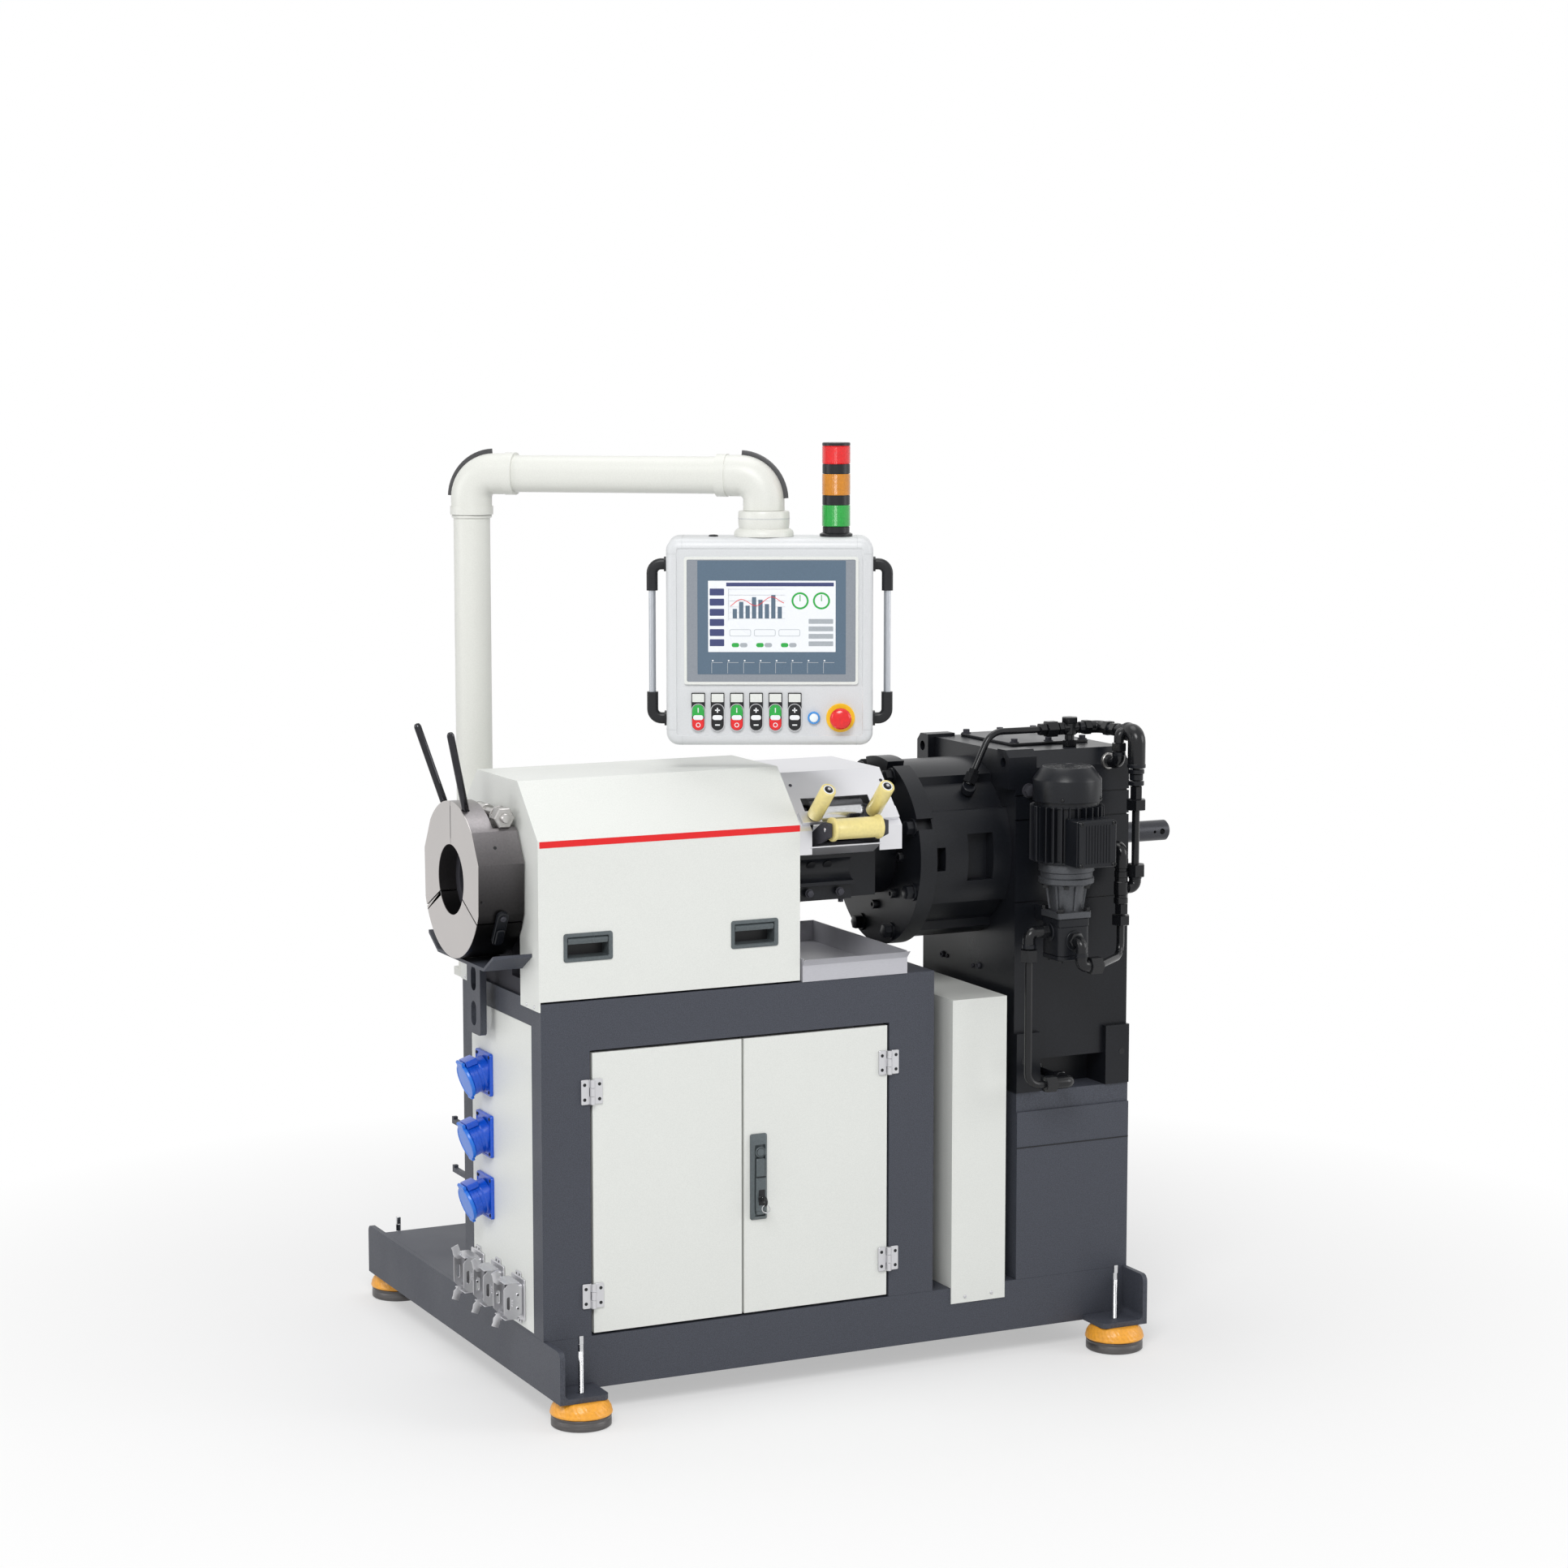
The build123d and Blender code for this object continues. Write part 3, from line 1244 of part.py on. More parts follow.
with BuildPart() as lube_pump:
    with Locations((pump_px, pump_py, bell_top_low)):
        Cylinder(bell_top_dia / 2, bell_top_high - fit_gap, align=stand)
    with Locations((pump_px, pump_py, bell_low)):
        Cone(bell_low_dia / 2, bell_dia / 2, bell_high, align=stand)
    with Locations((pump_px, pump_py, square_low)):
        Box(square_side - square_step, square_side - square_step, square_high, align=stand)
        Box(pump_pad, pump_y + gear_inset - fit_gap, square_high, align=front_stand)
    with Locations((pump_px, pump_py, square_low + square_high * square_step_share)):
        Box(square_side, square_side, square_high * (1 - square_step_share), align=stand)
    with BuildSketch(Plane.XY.offset(pump_low)):
        with Locations((pump_px, pump_py)):
            RectangleRounded(pump_wide, pump_wide, pump_round)
    extrude(amount=pump_high)

# Lubrication pipes: suction, riser with valve, return run over the gearbox, drop and hose
front_y = y0 + gear_inset - fit_gap
arch_py = front_y + gear_arch_deep
pump_side = pump_wide / 2 + fit_gap
suction_x = pump_px - suction_side
suction_z = pump_low + suction_up
suction_low = pump_low - suction_down
suction_end = pump_px + suction_in
port_z = pump_low + port_up
port_py = pump_py - port_reach
outlet_z = pump_low - outlet_drop
outlet_x = pump_px + outlet_side
riser_x = pump_px + riser_side
riser_py = y0 - riser_y
valve_low = pump_low + valve_up
branch_z = valve_low + branch_up
return_x = pump_px + return_side
run_z = gear_top + run_up
run_py = y0 + run_y
run_x = pump_px + run_side
drop_py = y0 - drop_y
drop_x = pump_px + drop_side
drop_z = gear_top - drop_down
hose_z = axis_z + hose_up
suction_run = [
    (pump_px - pump_side, pump_py, suction_z), (suction_x, pump_py, suction_z),
    (suction_x, pump_py, suction_low), (suction_end, pump_py, suction_low),
    (suction_end, arch_py, suction_low),
]
outlet_run = [
    (pump_px, pump_py - pump_side, port_z), (pump_px, port_py, port_z), (pump_px, port_py, outlet_z),
    (outlet_x, port_py, outlet_z), (riser_x, riser_py, outlet_z), (riser_x, riser_py, valve_low - fit_gap),
]
return_run = [
    (riser_x + valve_wide / 2 + fit_gap, riser_py, branch_z), (return_x, riser_py, branch_z),
    (return_x, riser_py, run_z), (return_x, run_py, run_z), (run_x + tee_dia / 2 + fit_gap, run_py, run_z),
]
drop_run = [
    (return_x - pipe_dia / 2 - fit_gap, drop_py, run_z), (drop_x, drop_py, run_z),
    (drop_x, drop_py, drop_z), (drop_x, front_y, drop_z),
]
hose_run = [
    (run_x - tee_dia / 2 - fit_gap, run_py, run_z), (pump_px - hose_side, run_py, run_z),
    (pump_px - hose_reach, run_py, hose_z),
]
outlet_bends = (port_bend, pipe_bend_tight, pipe_bend, pipe_bend)
pipe_runs = (
    (suction_run, pipe_bend, pipe_dia), (outlet_run, outlet_bends, pipe_dia),
    (return_run, pipe_bend_tight, pipe_dia), (drop_run, (port_bend, pipe_bend_tight), pipe_dia),
    (hose_run, hose_bend, hose_dia),
)
with BuildPart() as lube_pipes:
    for run, bend, bore in pipe_runs:
        with BuildLine():
            pipe_path = FilletPolyline(*run, radius=bend)
        with BuildSketch(Plane(origin=pipe_path @ 0, z_dir=pipe_path % 0)):
            Circle(bore / 2)
        sweep(path=pipe_path)

valve_leg = riser_y - valve_wide / 2 + gear_inset - fit_gap
with BuildPart() as lube_fittings:
    with Locations((riser_x, riser_py, valve_low)):
        Box(valve_wide, valve_wide, valve_high, align=stand)
    with Locations((riser_x, riser_py + valve_wide / 2, valve_low + valve_high - valve_wide)):
        Box(valve_wide / 2, valve_leg, valve_wide, align=front_stand)
    with Locations((run_x, run_py, gear_top + fit_gap)):
        Cylinder(tee_dia / 2, run_z + tee_dia / 2 - gear_top - fit_gap, align=stand)

# Operator arm: post on a back plate, swivelling elbow and boom, swivelling panel
plate_y = y0 + cab_depth + fit_gap
with BuildPart() as post:
    with Locations((x0 + post_x, y0 + post_y, post_low)):
        Cylinder(tube_dia / 2, post_long, align=stand)
    with Locations((x0 + post_x, plate_y, post_low - plate_high)):
        Box(tube_dia, plate_thick, plate_high + plate_thick, align=front_stand)
    with Locations((x0 + post_x, plate_y, post_low - plate_thick)):
        Box(tube_dia, post_behind + tube_dia / 2, 2 * plate_thick, align=front_stand)

boom_run = hypot(swivel_x - post_x, swivel_y - post_y)
boom_turn = atan2(swivel_y - post_y, swivel_x - post_x)
boom_way = (cos(boom_turn), sin(boom_turn), 0)
arm_plane = Plane(origin=(x0 + post_x, y0 + post_y, 0), x_dir=boom_way, z_dir=(boom_way[1], -boom_way[0], 0))
arm_foot = (0, post_top + swivel_gap)
arm_corner = (0, boom_z)
arm_tip = (boom_run, boom_z)
arm_neck = (boom_run, neck_low)
arm_runs = (
    ((arm_foot, arm_corner, arm_tip, arm_neck), tube_dia),
    ((arm_foot, arm_corner, (elbow_leg, boom_z)), elbow_dia),
    (((boom_run - elbow_leg, boom_z), arm_tip, arm_neck), elbow_dia),
)
with BuildPart() as arm:
    for run, width in arm_runs:
        with BuildLine(arm_plane):
            arm_path = FilletPolyline(*run, radius=elbow_bend)
        with BuildSketch(Plane(origin=arm_path @ 0, z_dir=arm_path % 0)):
            Circle(width / 2)
        sweep(path=arm_path)

panel_way = (cos(radians(panel_yaw)), -sin(radians(panel_yaw)), 0)
panel_plane = Plane(origin=(x0 + swivel_x, y0 + swivel_y, 0), x_dir=panel_way, z_dir=(0, 0, 1))
with BuildPart() as panel_coupling:
    with BuildSketch(panel_plane.offset(panel_top + fit_gap)):
        Circle(skirt_dia / 2)
    extrude(amount=skirt_high)
    with BuildSketch(panel_plane.offset(disc_low)):
        Circle(disc_dia / 2)
    extrude(amount=disc_high)

with BuildPart() as panel_housing:
    with BuildSketch(panel_plane.offset(panel_low)):
        with Locations((panel_shift, 0)):
            RectangleRounded(panel_wide, panel_deep, panel_round)
    extrude(amount=panel_high)

panel_front = -panel_deep / 2 - fit_gap
face_origin = panel_plane.from_local_coords((0, panel_front, 0))
face_plane = Plane(origin=face_origin, x_dir=panel_plane.x_dir, z_dir=-panel_plane.y_dir)
switch_z = panel_low + switch_up
button_z = panel_low + button_up + button_high / 2
with BuildPart() as display:
    with BuildSketch(face_plane):
        with Locations((display_shift, panel_low + display_up + display_high / 2)):
            Rectangle(display_wide, display_high)
    extrude(amount=display_thick)

with BuildPart() as push_buttons:
    for row in range(button_count):
        with BuildSketch(face_plane):
            with Locations((button_first + row * button_pitch, button_z)):
                Rectangle(button_wide, button_high)
        extrude(amount=button_out)
    with BuildSketch(face_plane):
        with Locations((lamp_u, switch_z)):
            Circle(lamp_dia / 2)
    extrude(amount=button_out)

with BuildPart() as emergency_stop:
    with BuildSketch(face_plane):
        with Locations((stop_u, switch_z)):
            Circle(stop_dia / 2)
    extrude(amount=stop_plate)
    with BuildSketch(face_plane):
        with Locations((stop_u, switch_z)):
            Circle(stop_neck_dia / 2)
    extrude(amount=stop_neck)
    with BuildSketch(face_plane.offset(stop_neck)):
        with Locations((stop_u, switch_z)):
            Circle(stop_head_dia / 2)
    extrude(amount=stop_head)

grip_low = panel_low + grip_up
grip_edge = panel_wide / 2 + fit_gap
grip_out = grip_u + grip_elbow_dia / 2
with BuildPart() as panel_grips:
    for side in (-1, 1):
        with BuildSketch(panel_plane.offset(grip_low)):
            with Locations((panel_shift + side * grip_u, 0)):
                Circle(grip_dia / 2)
        extrude(amount=grip_high)
        for grip_z in (grip_low, grip_low + grip_high):
            with BuildSketch(panel_plane.offset(grip_z - grip_elbow_dia / 2)):
                with Locations((panel_shift + side * (grip_edge + grip_out) / 2, 0)):
                    Rectangle(grip_out - grip_edge, grip_elbow_dia)
            extrude(amount=grip_elbow_dia)

tower_low = panel_top + fit_gap
tower_high = tower_first + lens_pitch * (lens_count - 1) + lens_high
with BuildPart() as light_tower:
    with BuildSketch(panel_plane.offset(tower_low)):
        with Locations((tower_u, 0)):
            Circle(tower_base_dia / 2)
    extrude(amount=tower_base_high)
    with BuildSketch(panel_plane.offset(tower_low)):
        with Locations((tower_u, 0)):
            Circle(tower_core_dia / 2)
    extrude(amount=tower_high)
    for row in range(lens_count):
        with BuildSketch(panel_plane.offset(tower_low + tower_first + row * lens_pitch)):
            with Locations((tower_u, 0)):
                Circle(tower_dia / 2)
        extrude(amount=lens_high)

# Write every sub-part to its own file
solids = {
    "base_frame": base_frame.part, "cross_angles": cross_angles.part, "foot_bases": foot_bases.part,
    "foot_caps": foot_caps.part, "foot_studs": foot_studs.part, "cabinet": cabinet.part,
    "side_panel": side_panel.part, "left_door": left_door.part, "right_door": right_door.part,
    "frame_hinges": frame_hinges.part, "left_door_hinges": left_door_hinges.part,
    "right_door_hinges": right_door_hinges.part, "lock_dish": lock_dish.part, "lock_lever": lock_lever.part,
    "socket_bodies": socket_bodies.part, "socket_lid_top": lids[0], "socket_lid_mid": lids[1],
    "socket_lid_low": lids[2], "connectors": connectors.part, "barrel_cover": barrel_cover.part,
    "cover_cups": cover_cups.part, "barrel": barrel.part, "barrel_rest": barrel_rest.part,
    "clamp_front_jaw": clamp_front_jaw.part, "clamp_back_jaw": clamp_back_jaw.part,
    "clamp_base": clamp_base.part, "swing_bolt": swing_bolt.part, "clamp_handles": clamp_handles.part,
    "clamp_links": clamp_links.part, "catch_tray": catch_tray.part, "slotted_bar": slotted_bar.part,
    "feed_block": feed_block.part, "feed_hood": feed_hood.part, "feed_roll": feed_roll.part,
    "guide_roller_a": guide_roller_a.part, "guide_roller_b": guide_roller_b.part,
    "cross_roller": cross_roller.part, "roller_brackets": roller_brackets.part, "drip_pan": drip_pan.part,
    "lantern": lantern.part, "gearbox": gearbox.part, "screw": screw.part, "pedestal": pedestal.part,
    "drive_guard": drive_guard.part, "drive_motor": drive_motor.part, "pump_motor": pump_motor.part,
    "terminal_box": terminal_box.part, "lube_pump": lube_pump.part, "lube_pipes": lube_pipes.part,
    "lube_fittings": lube_fittings.part, "post": post.part, "arm": arm.part,
    "panel_coupling": panel_coupling.part, "panel_housing": panel_housing.part, "display": display.part,
    "push_buttons": push_buttons.part, "emergency_stop": emergency_stop.part,
    "panel_grips": panel_grips.part, "light_tower": light_tower.part,
}
for name, solid in solids.items():
    solid.label = name
    export_step(solid, "parts/" + name + ".step")
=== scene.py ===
from math import cos, pi, radians, sin

import bmesh
import bpy
import numpy as np
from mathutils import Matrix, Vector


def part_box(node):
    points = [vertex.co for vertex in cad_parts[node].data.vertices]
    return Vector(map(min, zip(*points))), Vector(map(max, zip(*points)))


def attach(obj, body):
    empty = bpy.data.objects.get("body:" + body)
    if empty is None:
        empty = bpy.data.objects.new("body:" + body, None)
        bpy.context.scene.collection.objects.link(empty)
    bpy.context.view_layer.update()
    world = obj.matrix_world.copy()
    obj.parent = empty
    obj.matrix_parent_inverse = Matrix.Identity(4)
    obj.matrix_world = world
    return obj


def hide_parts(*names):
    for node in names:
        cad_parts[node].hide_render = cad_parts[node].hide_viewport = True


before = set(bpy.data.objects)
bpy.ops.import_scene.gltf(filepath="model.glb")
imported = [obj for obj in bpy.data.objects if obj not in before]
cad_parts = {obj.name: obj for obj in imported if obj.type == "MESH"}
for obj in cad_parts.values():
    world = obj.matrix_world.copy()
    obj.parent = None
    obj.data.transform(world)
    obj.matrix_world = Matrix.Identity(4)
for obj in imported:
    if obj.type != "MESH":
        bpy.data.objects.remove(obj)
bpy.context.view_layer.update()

bl_info = {
    "name": "Silicone extruder",
    "version": (1, 0, 0),
    "blender": (4, 5, 0),
    "location": "View3D > Sidebar > Extruder",
    "description": "Dresses the packed extruder: paint, castings, fittings, operator panel and studio",
    "category": "Object",
}

# The machine frame: millimetres from the cabinet's front left corner on the floor; AXIS is the screw's line
MM = 0.001
CORNER = np.array((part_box("side_panel")[0].x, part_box("base_frame")[0].y, 0.0))
AXIS = np.array((0.0, 201.0, 996.0))
AXIS_Y, AXIS_Z = AXIS[1:]
X, Y, Z = np.eye(3)


def srgb(*levels):
    """Screen levels from 0 to 255 as linear colour."""
    share = np.array(levels) / 255
    low, high = share / 12.92, ((share + 0.055) / 1.055) ** 2.4
    return tuple(np.where(share <= 0.04045, low, high))


# Shapes: each is its points and faces, closed, in millimetres
def loft(rings, loop=False):
    """Rows of rings joined by quads: each ring closes on itself, the two end rings are closed by flat faces,
    or with loop the last ring is joined to the first."""
    rows, cols = rings.shape[:2]
    index = np.arange(rows * cols).reshape(rows, cols)
    low, high = (index, np.roll(index, -1, 0)) if loop else (index[:-1], index[1:])
    quads = np.stack((low, np.roll(low, -1, 1), np.roll(high, -1, 1), high), -1)
    faces = quads.reshape(-1, 4).tolist()
    if not loop:
        faces += [index[0, ::-1].tolist(), index[-1].tolist()]
    return rings.reshape(-1, 3), faces


def turned(profile, sides=40, loop=False, wave=None):
    """Profile of radius and height carried round the z axis: (r cos a, r sin a, h).
    With wave, wave(a, h) is added to r."""
    radius, height = np.array(profile, float).T[:, :, None]
    angle = np.linspace(0, 2 * pi, sides, endpoint=False)[None, :]
    radius, height = radius + 0 * angle, height + 0 * angle
    if wave:
        radius = radius + wave(angle, height)
    return loft(np.stack((radius * np.cos(angle), radius * np.sin(angle), height), -1), loop)


def drum(radius, low, high, edge=1.0):
    """Profile of a plain cylinder with its two edges broken by edge."""
    return [(radius - edge, low), (radius, low + edge), (radius, high - edge), (radius - edge, high)]


def pipe_wall(outer, inner, low, high, edge=0.6):
    """Closed profile of a ring: up the outside and down the bore."""
    return [
        (inner, low), (outer - edge, low), (outer, low + edge), (outer, high - edge), (outer - edge, high),
        (inner, high),
    ]


def inset(outline, reach):
    """Outline moved inwards by reach, each corner along its mitre."""
    ahead = np.roll(outline, -1, 0) - outline
    ahead = ahead / np.linalg.norm(ahead, axis=1, keepdims=True)
    normal = np.stack((-ahead[:, 1], ahead[:, 0]), 1)
    before = np.roll(normal, 1, 0)
    mitre = (normal + before) / (1 + np.sum(normal * before, 1, keepdims=True))
    return outline + reach * mitre


def at_height(outline, height):
    """Flat outline lifted to a height."""
    return np.column_stack((outline, np.full(len(outline), float(height))))


def prism(outline, low, high, edge=0.8):
    """Outline carried up from low to high, drawn in by edge at both ends."""
    outline = np.array(outline, float)
    small = inset(outline, edge)
    levels = ((small, low), (outline, low + edge), (outline, high - edge), (small, high))
    return loft(np.stack([at_height(line, level) for line, level in levels]))


def holed(outer, inner, low, high):
    """Plate with one hole: outer and inner outlines of equal count, joined above and below."""
    levels = ((outer, low), (outer, high), (inner, high), (inner, low))
    return loft(np.stack([at_height(np.array(line, float), level) for line, level in levels]), True)


def box_line(wide, high, corner=2.0, steps=5, middle=(0.0, 0.0)):
    """Rounded rectangle, counter-clockwise: four quarter circles of radius corner."""
    quarter = np.linspace(0, pi / 2, steps)
    turn = np.concatenate([quarter + k * pi / 2 for k in range(4)])
    side_x = np.repeat((1, -1, -1, 1), steps) * (wide / 2 - corner)
    side_y = np.repeat((1, 1, -1, -1), steps) * (high / 2 - corner)
    return np.stack((side_x + corner * np.cos(turn), side_y + corner * np.sin(turn)), 1) + np.array(middle)


def circle(radius, count=20, middle=(0.0, 0.0), start=0.0):
    """Points of a circle, counter-clockwise from the start angle."""
    angle = start + np.linspace(0, 2 * pi, count, endpoint=False)
    return np.stack((np.cos(angle), np.sin(angle)), 1) * radius + np.array(middle)


def block(wide, deep, low, high, corner=2.0, edge=0.8):
    """Upright block with rounded corners and broken edges, centred on the z axis."""
    return prism(box_line(wide, deep, corner), low, high, edge)


def bent(points, bend, steps=7):
    """Route with each corner rounded by an arc of its bend radius, centred on the corner's bisector."""
    points = np.array(points, float)
    bend = np.reshape(bend, (-1, 1))
    back = points[:-2] - points[1:-1]
    ahead = points[2:] - points[1:-1]
    back /= np.linalg.norm(back, axis=1, keepdims=True)
    ahead /= np.linalg.norm(ahead, axis=1, keepdims=True)
    half = np.arccos(np.clip(np.sum(back * ahead, 1), -1, 1))[:, None] / 2
    middle = back + ahead
    middle = points[1:-1] + middle / np.linalg.norm(middle, axis=1, keepdims=True) * bend / np.sin(half)
    first = points[1:-1] + back * bend / np.tan(half) - middle
    last = points[1:-1] + ahead * bend / np.tan(half) - middle
    turn = (pi - 2 * half)[:, :, None]
    share = np.linspace(0, 1, steps)[None, :, None]
    arc = np.sin((1 - share) * turn) * first[:, None] + np.sin(share * turn) * last[:, None]
    arcs = middle[:, None] + arc / np.sin(turn)
    return np.concatenate((points[:1], arcs.reshape(-1, 3), points[-1:]))


def carried(path, outline, lean=(0.31, 0.53, 0.79)):
    """Outline carried along a path, square to it: side = lean x direction, top = direction x side."""
    path = np.array(path, float)
    way = np.gradient(path, axis=0)
    way /= np.linalg.norm(way, axis=1, keepdims=True)
    side = np.cross(np.array(lean, float)[None, :], way)
    side /= np.linalg.norm(side, axis=1, keepdims=True)
    top = np.cross(way, side)
    outline = np.asarray(outline, float)
    outline = np.broadcast_to(outline, (len(path),) + outline.shape[-2:])
    rings = side[:, None] * outline[..., :1] + top[:, None] * outline[..., 1:]
    return loft(path[:, None] + rings)


def tube(path, radius, sides=16):
    """Round section carried along a path."""
    return carried(path, circle(radius, sides))


def hexagon(across, low, high):
    """Six-sided nut or head, its corners cut back at both ends."""
    radius = across / 3 ** 0.5
    cut = 0.07 * across
    corners = [(radius - cut, low), (radius, low + cut / 2), (radius, high - cut / 2), (radius - cut, high)]
    return turned(corners, 6)


def thread(radius, low, high, pitch=1.75, sides=20):
    """Screw thread as close rings: the radius falls and rises by a triangle wave along the height."""
    count = max(4, 2 * int(round((high - low) / pitch)))
    height = np.linspace(low, high, count + 1)
    depth = np.where(np.arange(count + 1) % 2, 0.0, 0.6 * pitch * 0.5)
    return turned(np.stack((radius - depth, height), 1), sides)


def cap_screw(radius, high):
    """Round screw head with a sunk socket: up the rim, over the edge and down into the socket."""
    socket = 0.5 * radius
    return turned([
        (radius, 0), (radius, 0.85 * high), (0.9 * radius, high), (socket, high), (socket, 0.45 * high),
        (0.3 * socket, 0.4 * high),
    ], 18)


def dome_screw(radius, high):
    """Pan head with a small round drive recess."""
    return turned([
        (radius, 0), (0.97 * radius, 0.4 * high), (0.75 * radius, 0.85 * high), (0.4 * radius, high),
        (0.36 * radius, 0.6 * high),
    ], 16)


def hex_bolt(across, high):
    """Hexagon head on a washer."""
    washer = turned(drum(0.72 * across, 0, 0.2 * high, 0.2), 24)
    return joined([hexagon(across, 0.18 * high, high), washer])


def joined(shapes):
    """Several shapes as one."""
    points, faces, start = [], [], 0
    for some_points, some_faces in shapes:
        points.append(some_points)
        faces += [[start + corner for corner in face] for face in some_faces]
        start += len(some_points)
    return np.concatenate(points), faces


def moved(shape, origin=(0, 0, 0), up=(0, 0, 1), side=None):
    """Shape set at origin with its z axis along up and its x axis towards side."""
    up = np.array(up, float) / np.linalg.norm(up)
    if side is None:
        side = (1, 0, 0) if abs(up[0]) < 0.9 else (0, 1, 0)
    side = np.array(side, float) - up * np.dot(side, up)
    side /= np.linalg.norm(side)
    turn = np.stack((side, np.cross(up, side), up))
    return shape[0] @ turn + np.array(origin, float), shape[1]


def spread(shape, spots, up=(0, 0, 1), side=None):
    """The same shape set at each of several spots."""
    return joined([moved(shape, spot, up, side) for spot in spots])


def put(name, shapes, body, slot, finish, replaces=(), sharp=35.0):
    """Shapes as one mesh object in the shared frame: it rides on a body and takes a finish; the slot argument
    is not used.
    """
    points, faces = joined(shapes)
    mesh = bpy.data.meshes.new(name)
    mesh.from_pydata((points * MM + CORNER).tolist(), [], faces)
    shell = bmesh.new()
    shell.from_mesh(mesh)
    bmesh.ops.recalc_face_normals(shell, faces=shell.faces)
    shell.to_mesh(mesh)
    shell.free()
    mesh.polygons.foreach_set("use_smooth", np.ones(len(mesh.polygons), bool))
    mesh.set_sharp_from_angle(angle=radians(sharp))
    mesh.materials.append(material(finish))
    piece = bpy.data.objects.new(name, mesh)
    bpy.context.scene.collection.objects.link(piece)
    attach(piece, body)
    if replaces:
        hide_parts(*replaces)
    return piece


def tint(name, description, *levels):
    """Colour property from screen levels."""
    return bpy.props.FloatVectorProperty(
        name=name, description=description, default=srgb(*levels), size=3, min=0.0, max=1.0, subtype="COLOR")


def size(name, description, default):
    """Length property in metres, written in millimetres."""
    return bpy.props.FloatProperty(name=name, description=description, default=default * MM, unit="LENGTH")


class ExtruderFinishes(bpy.types.PropertyGroup):
    """Colours of the machine's paints, metals and plastics."""
    graphite: tint("Graphite paint", "Structured paint of skid, cabinet frame and pedestal", 66, 69, 78)
    white: tint("White powder coat", "Doors, covers and guard", 226, 228, 224)
    case_white: tint("Panel case", "Case of the operator panel", 214, 216, 218)
    warm_white: tint("Warm white paint", "Post and boom of the operator arm", 222, 223, 217)
    casting: tint("Black casting paint", "Gearbox, lantern, pump and fittings", 19, 21, 26)
    bell: tint("Bell grey", "Pump bell and its plate", 74, 76, 80)
    pipe_black: tint("Pipe black", "Lubrication pipes and their nuts", 18, 19, 22)
    stainless: tint("Stainless sheet", "Feed hood, its lip and the roller clips", 150, 149, 154)
    tray: tint("Tray sheet", "Drip tray", 188, 188, 194)
    nickel: tint("Nickel face", "Turned face of the head clamp", 190, 186, 184)
    dark_steel: tint("Dark steel", "Sides of the head clamp, barrel rest and brackets", 74, 72, 73)
    chrome: tint("Bright steel", "Feed roll, studs, pins, post bolts, button rims and key", 205, 206, 208)
    zinc: tint("Zinc", "Hinges, plug housings and small screws", 226, 228, 231)
    roller: tint("Roller plastic", "Guide and cross rollers", 236, 220, 146)
    orange: tint("Foot cap", "Caps of the levelling feet", 246, 170, 52)
    foot: tint("Foot metal", "Bases of the levelling feet", 96, 94, 94)
    blue: tint("Socket blue", "Sockets on the cabinet's end", 4, 78, 196)
    black: tint("Black plastic", "Grips, buttons, tower rings, dark screws and recesses", 24, 25, 28)
    red: tint("Stripe red", "Stripe, red buttons, top lens and stop head", 226, 16, 22)
    yellow: tint("Switch yellow", "Plate behind the stop switch", 246, 196, 30)
    panel_grey: tint("Display frame", "Frame of the display", 138, 144, 152)
    panel_blue: tint("Display band", "Band round the screen", 84, 105, 124)
    green: tint("Green", "Start buttons, lowest lens and dials", 28, 166, 62)
    amber: tint("Amber", "Middle lens", 208, 132, 8)
    seam: tint("Seam", "Thin joint lines on the panel case", 196, 199, 200)
    ink_grey: tint("Grey lines", "Lines and fields on the screen", 168, 174, 180)
    ink_white: tint("White marks", "Marks on buttons and roller faces", 238, 240, 242)
    ink_navy: tint("Navy fields", "Menu fields on the screen", 58, 66, 112)
    screen: tint("Screen", "Lit ground of the screen", 240, 243, 247)
    lamp_blue: tint("Lamp ring", "Ring round the lit button", 62, 150, 226)
    lamp_white: tint("Lamp lens", "Lens of the lit button", 236, 246, 252)
    grip_grey: tint("Grip tube", "Tubes of the side grips", 186, 190, 196)
    strip_grey: tint("Edge strip", "Strips on the arm's elbows", 62, 62, 64)
    # Lighter copy of the socket blue for the lids: painted highlight
    lid_blue_painted_highlight: tint("Lid blue", "Lids of the sockets", 22, 112, 218)
    lock_grey: tint("Lock grey", "Lock and cover pulls", 88, 96, 99)
    bolt_grey: tint("Bolt grey", "Swing bolt of the head clamp, port ring", 188, 186, 184)
    lever_black: tint("Lever steel", "Rods of the head clamp", 58, 58, 61)
    shaft: tint("Shaft steel", "Screw and its drive shaft", 62, 63, 68)


class ExtruderSizes(bpy.types.PropertyGroup):
    """Sizes of details that a user would change."""
    stripe: size("Stripe width", "Width of the red stripe along the cover", 12.0)
    flange_bolt: size("Flange bolt", "Width across flats of the lantern flange bolts", 24.0)
    hinge_screw: size("Hinge screw", "Diameter of the hinge screws", 6.6)
    panel_line: size("Screen line", "Width of the thin lines on the screen", 1.0)


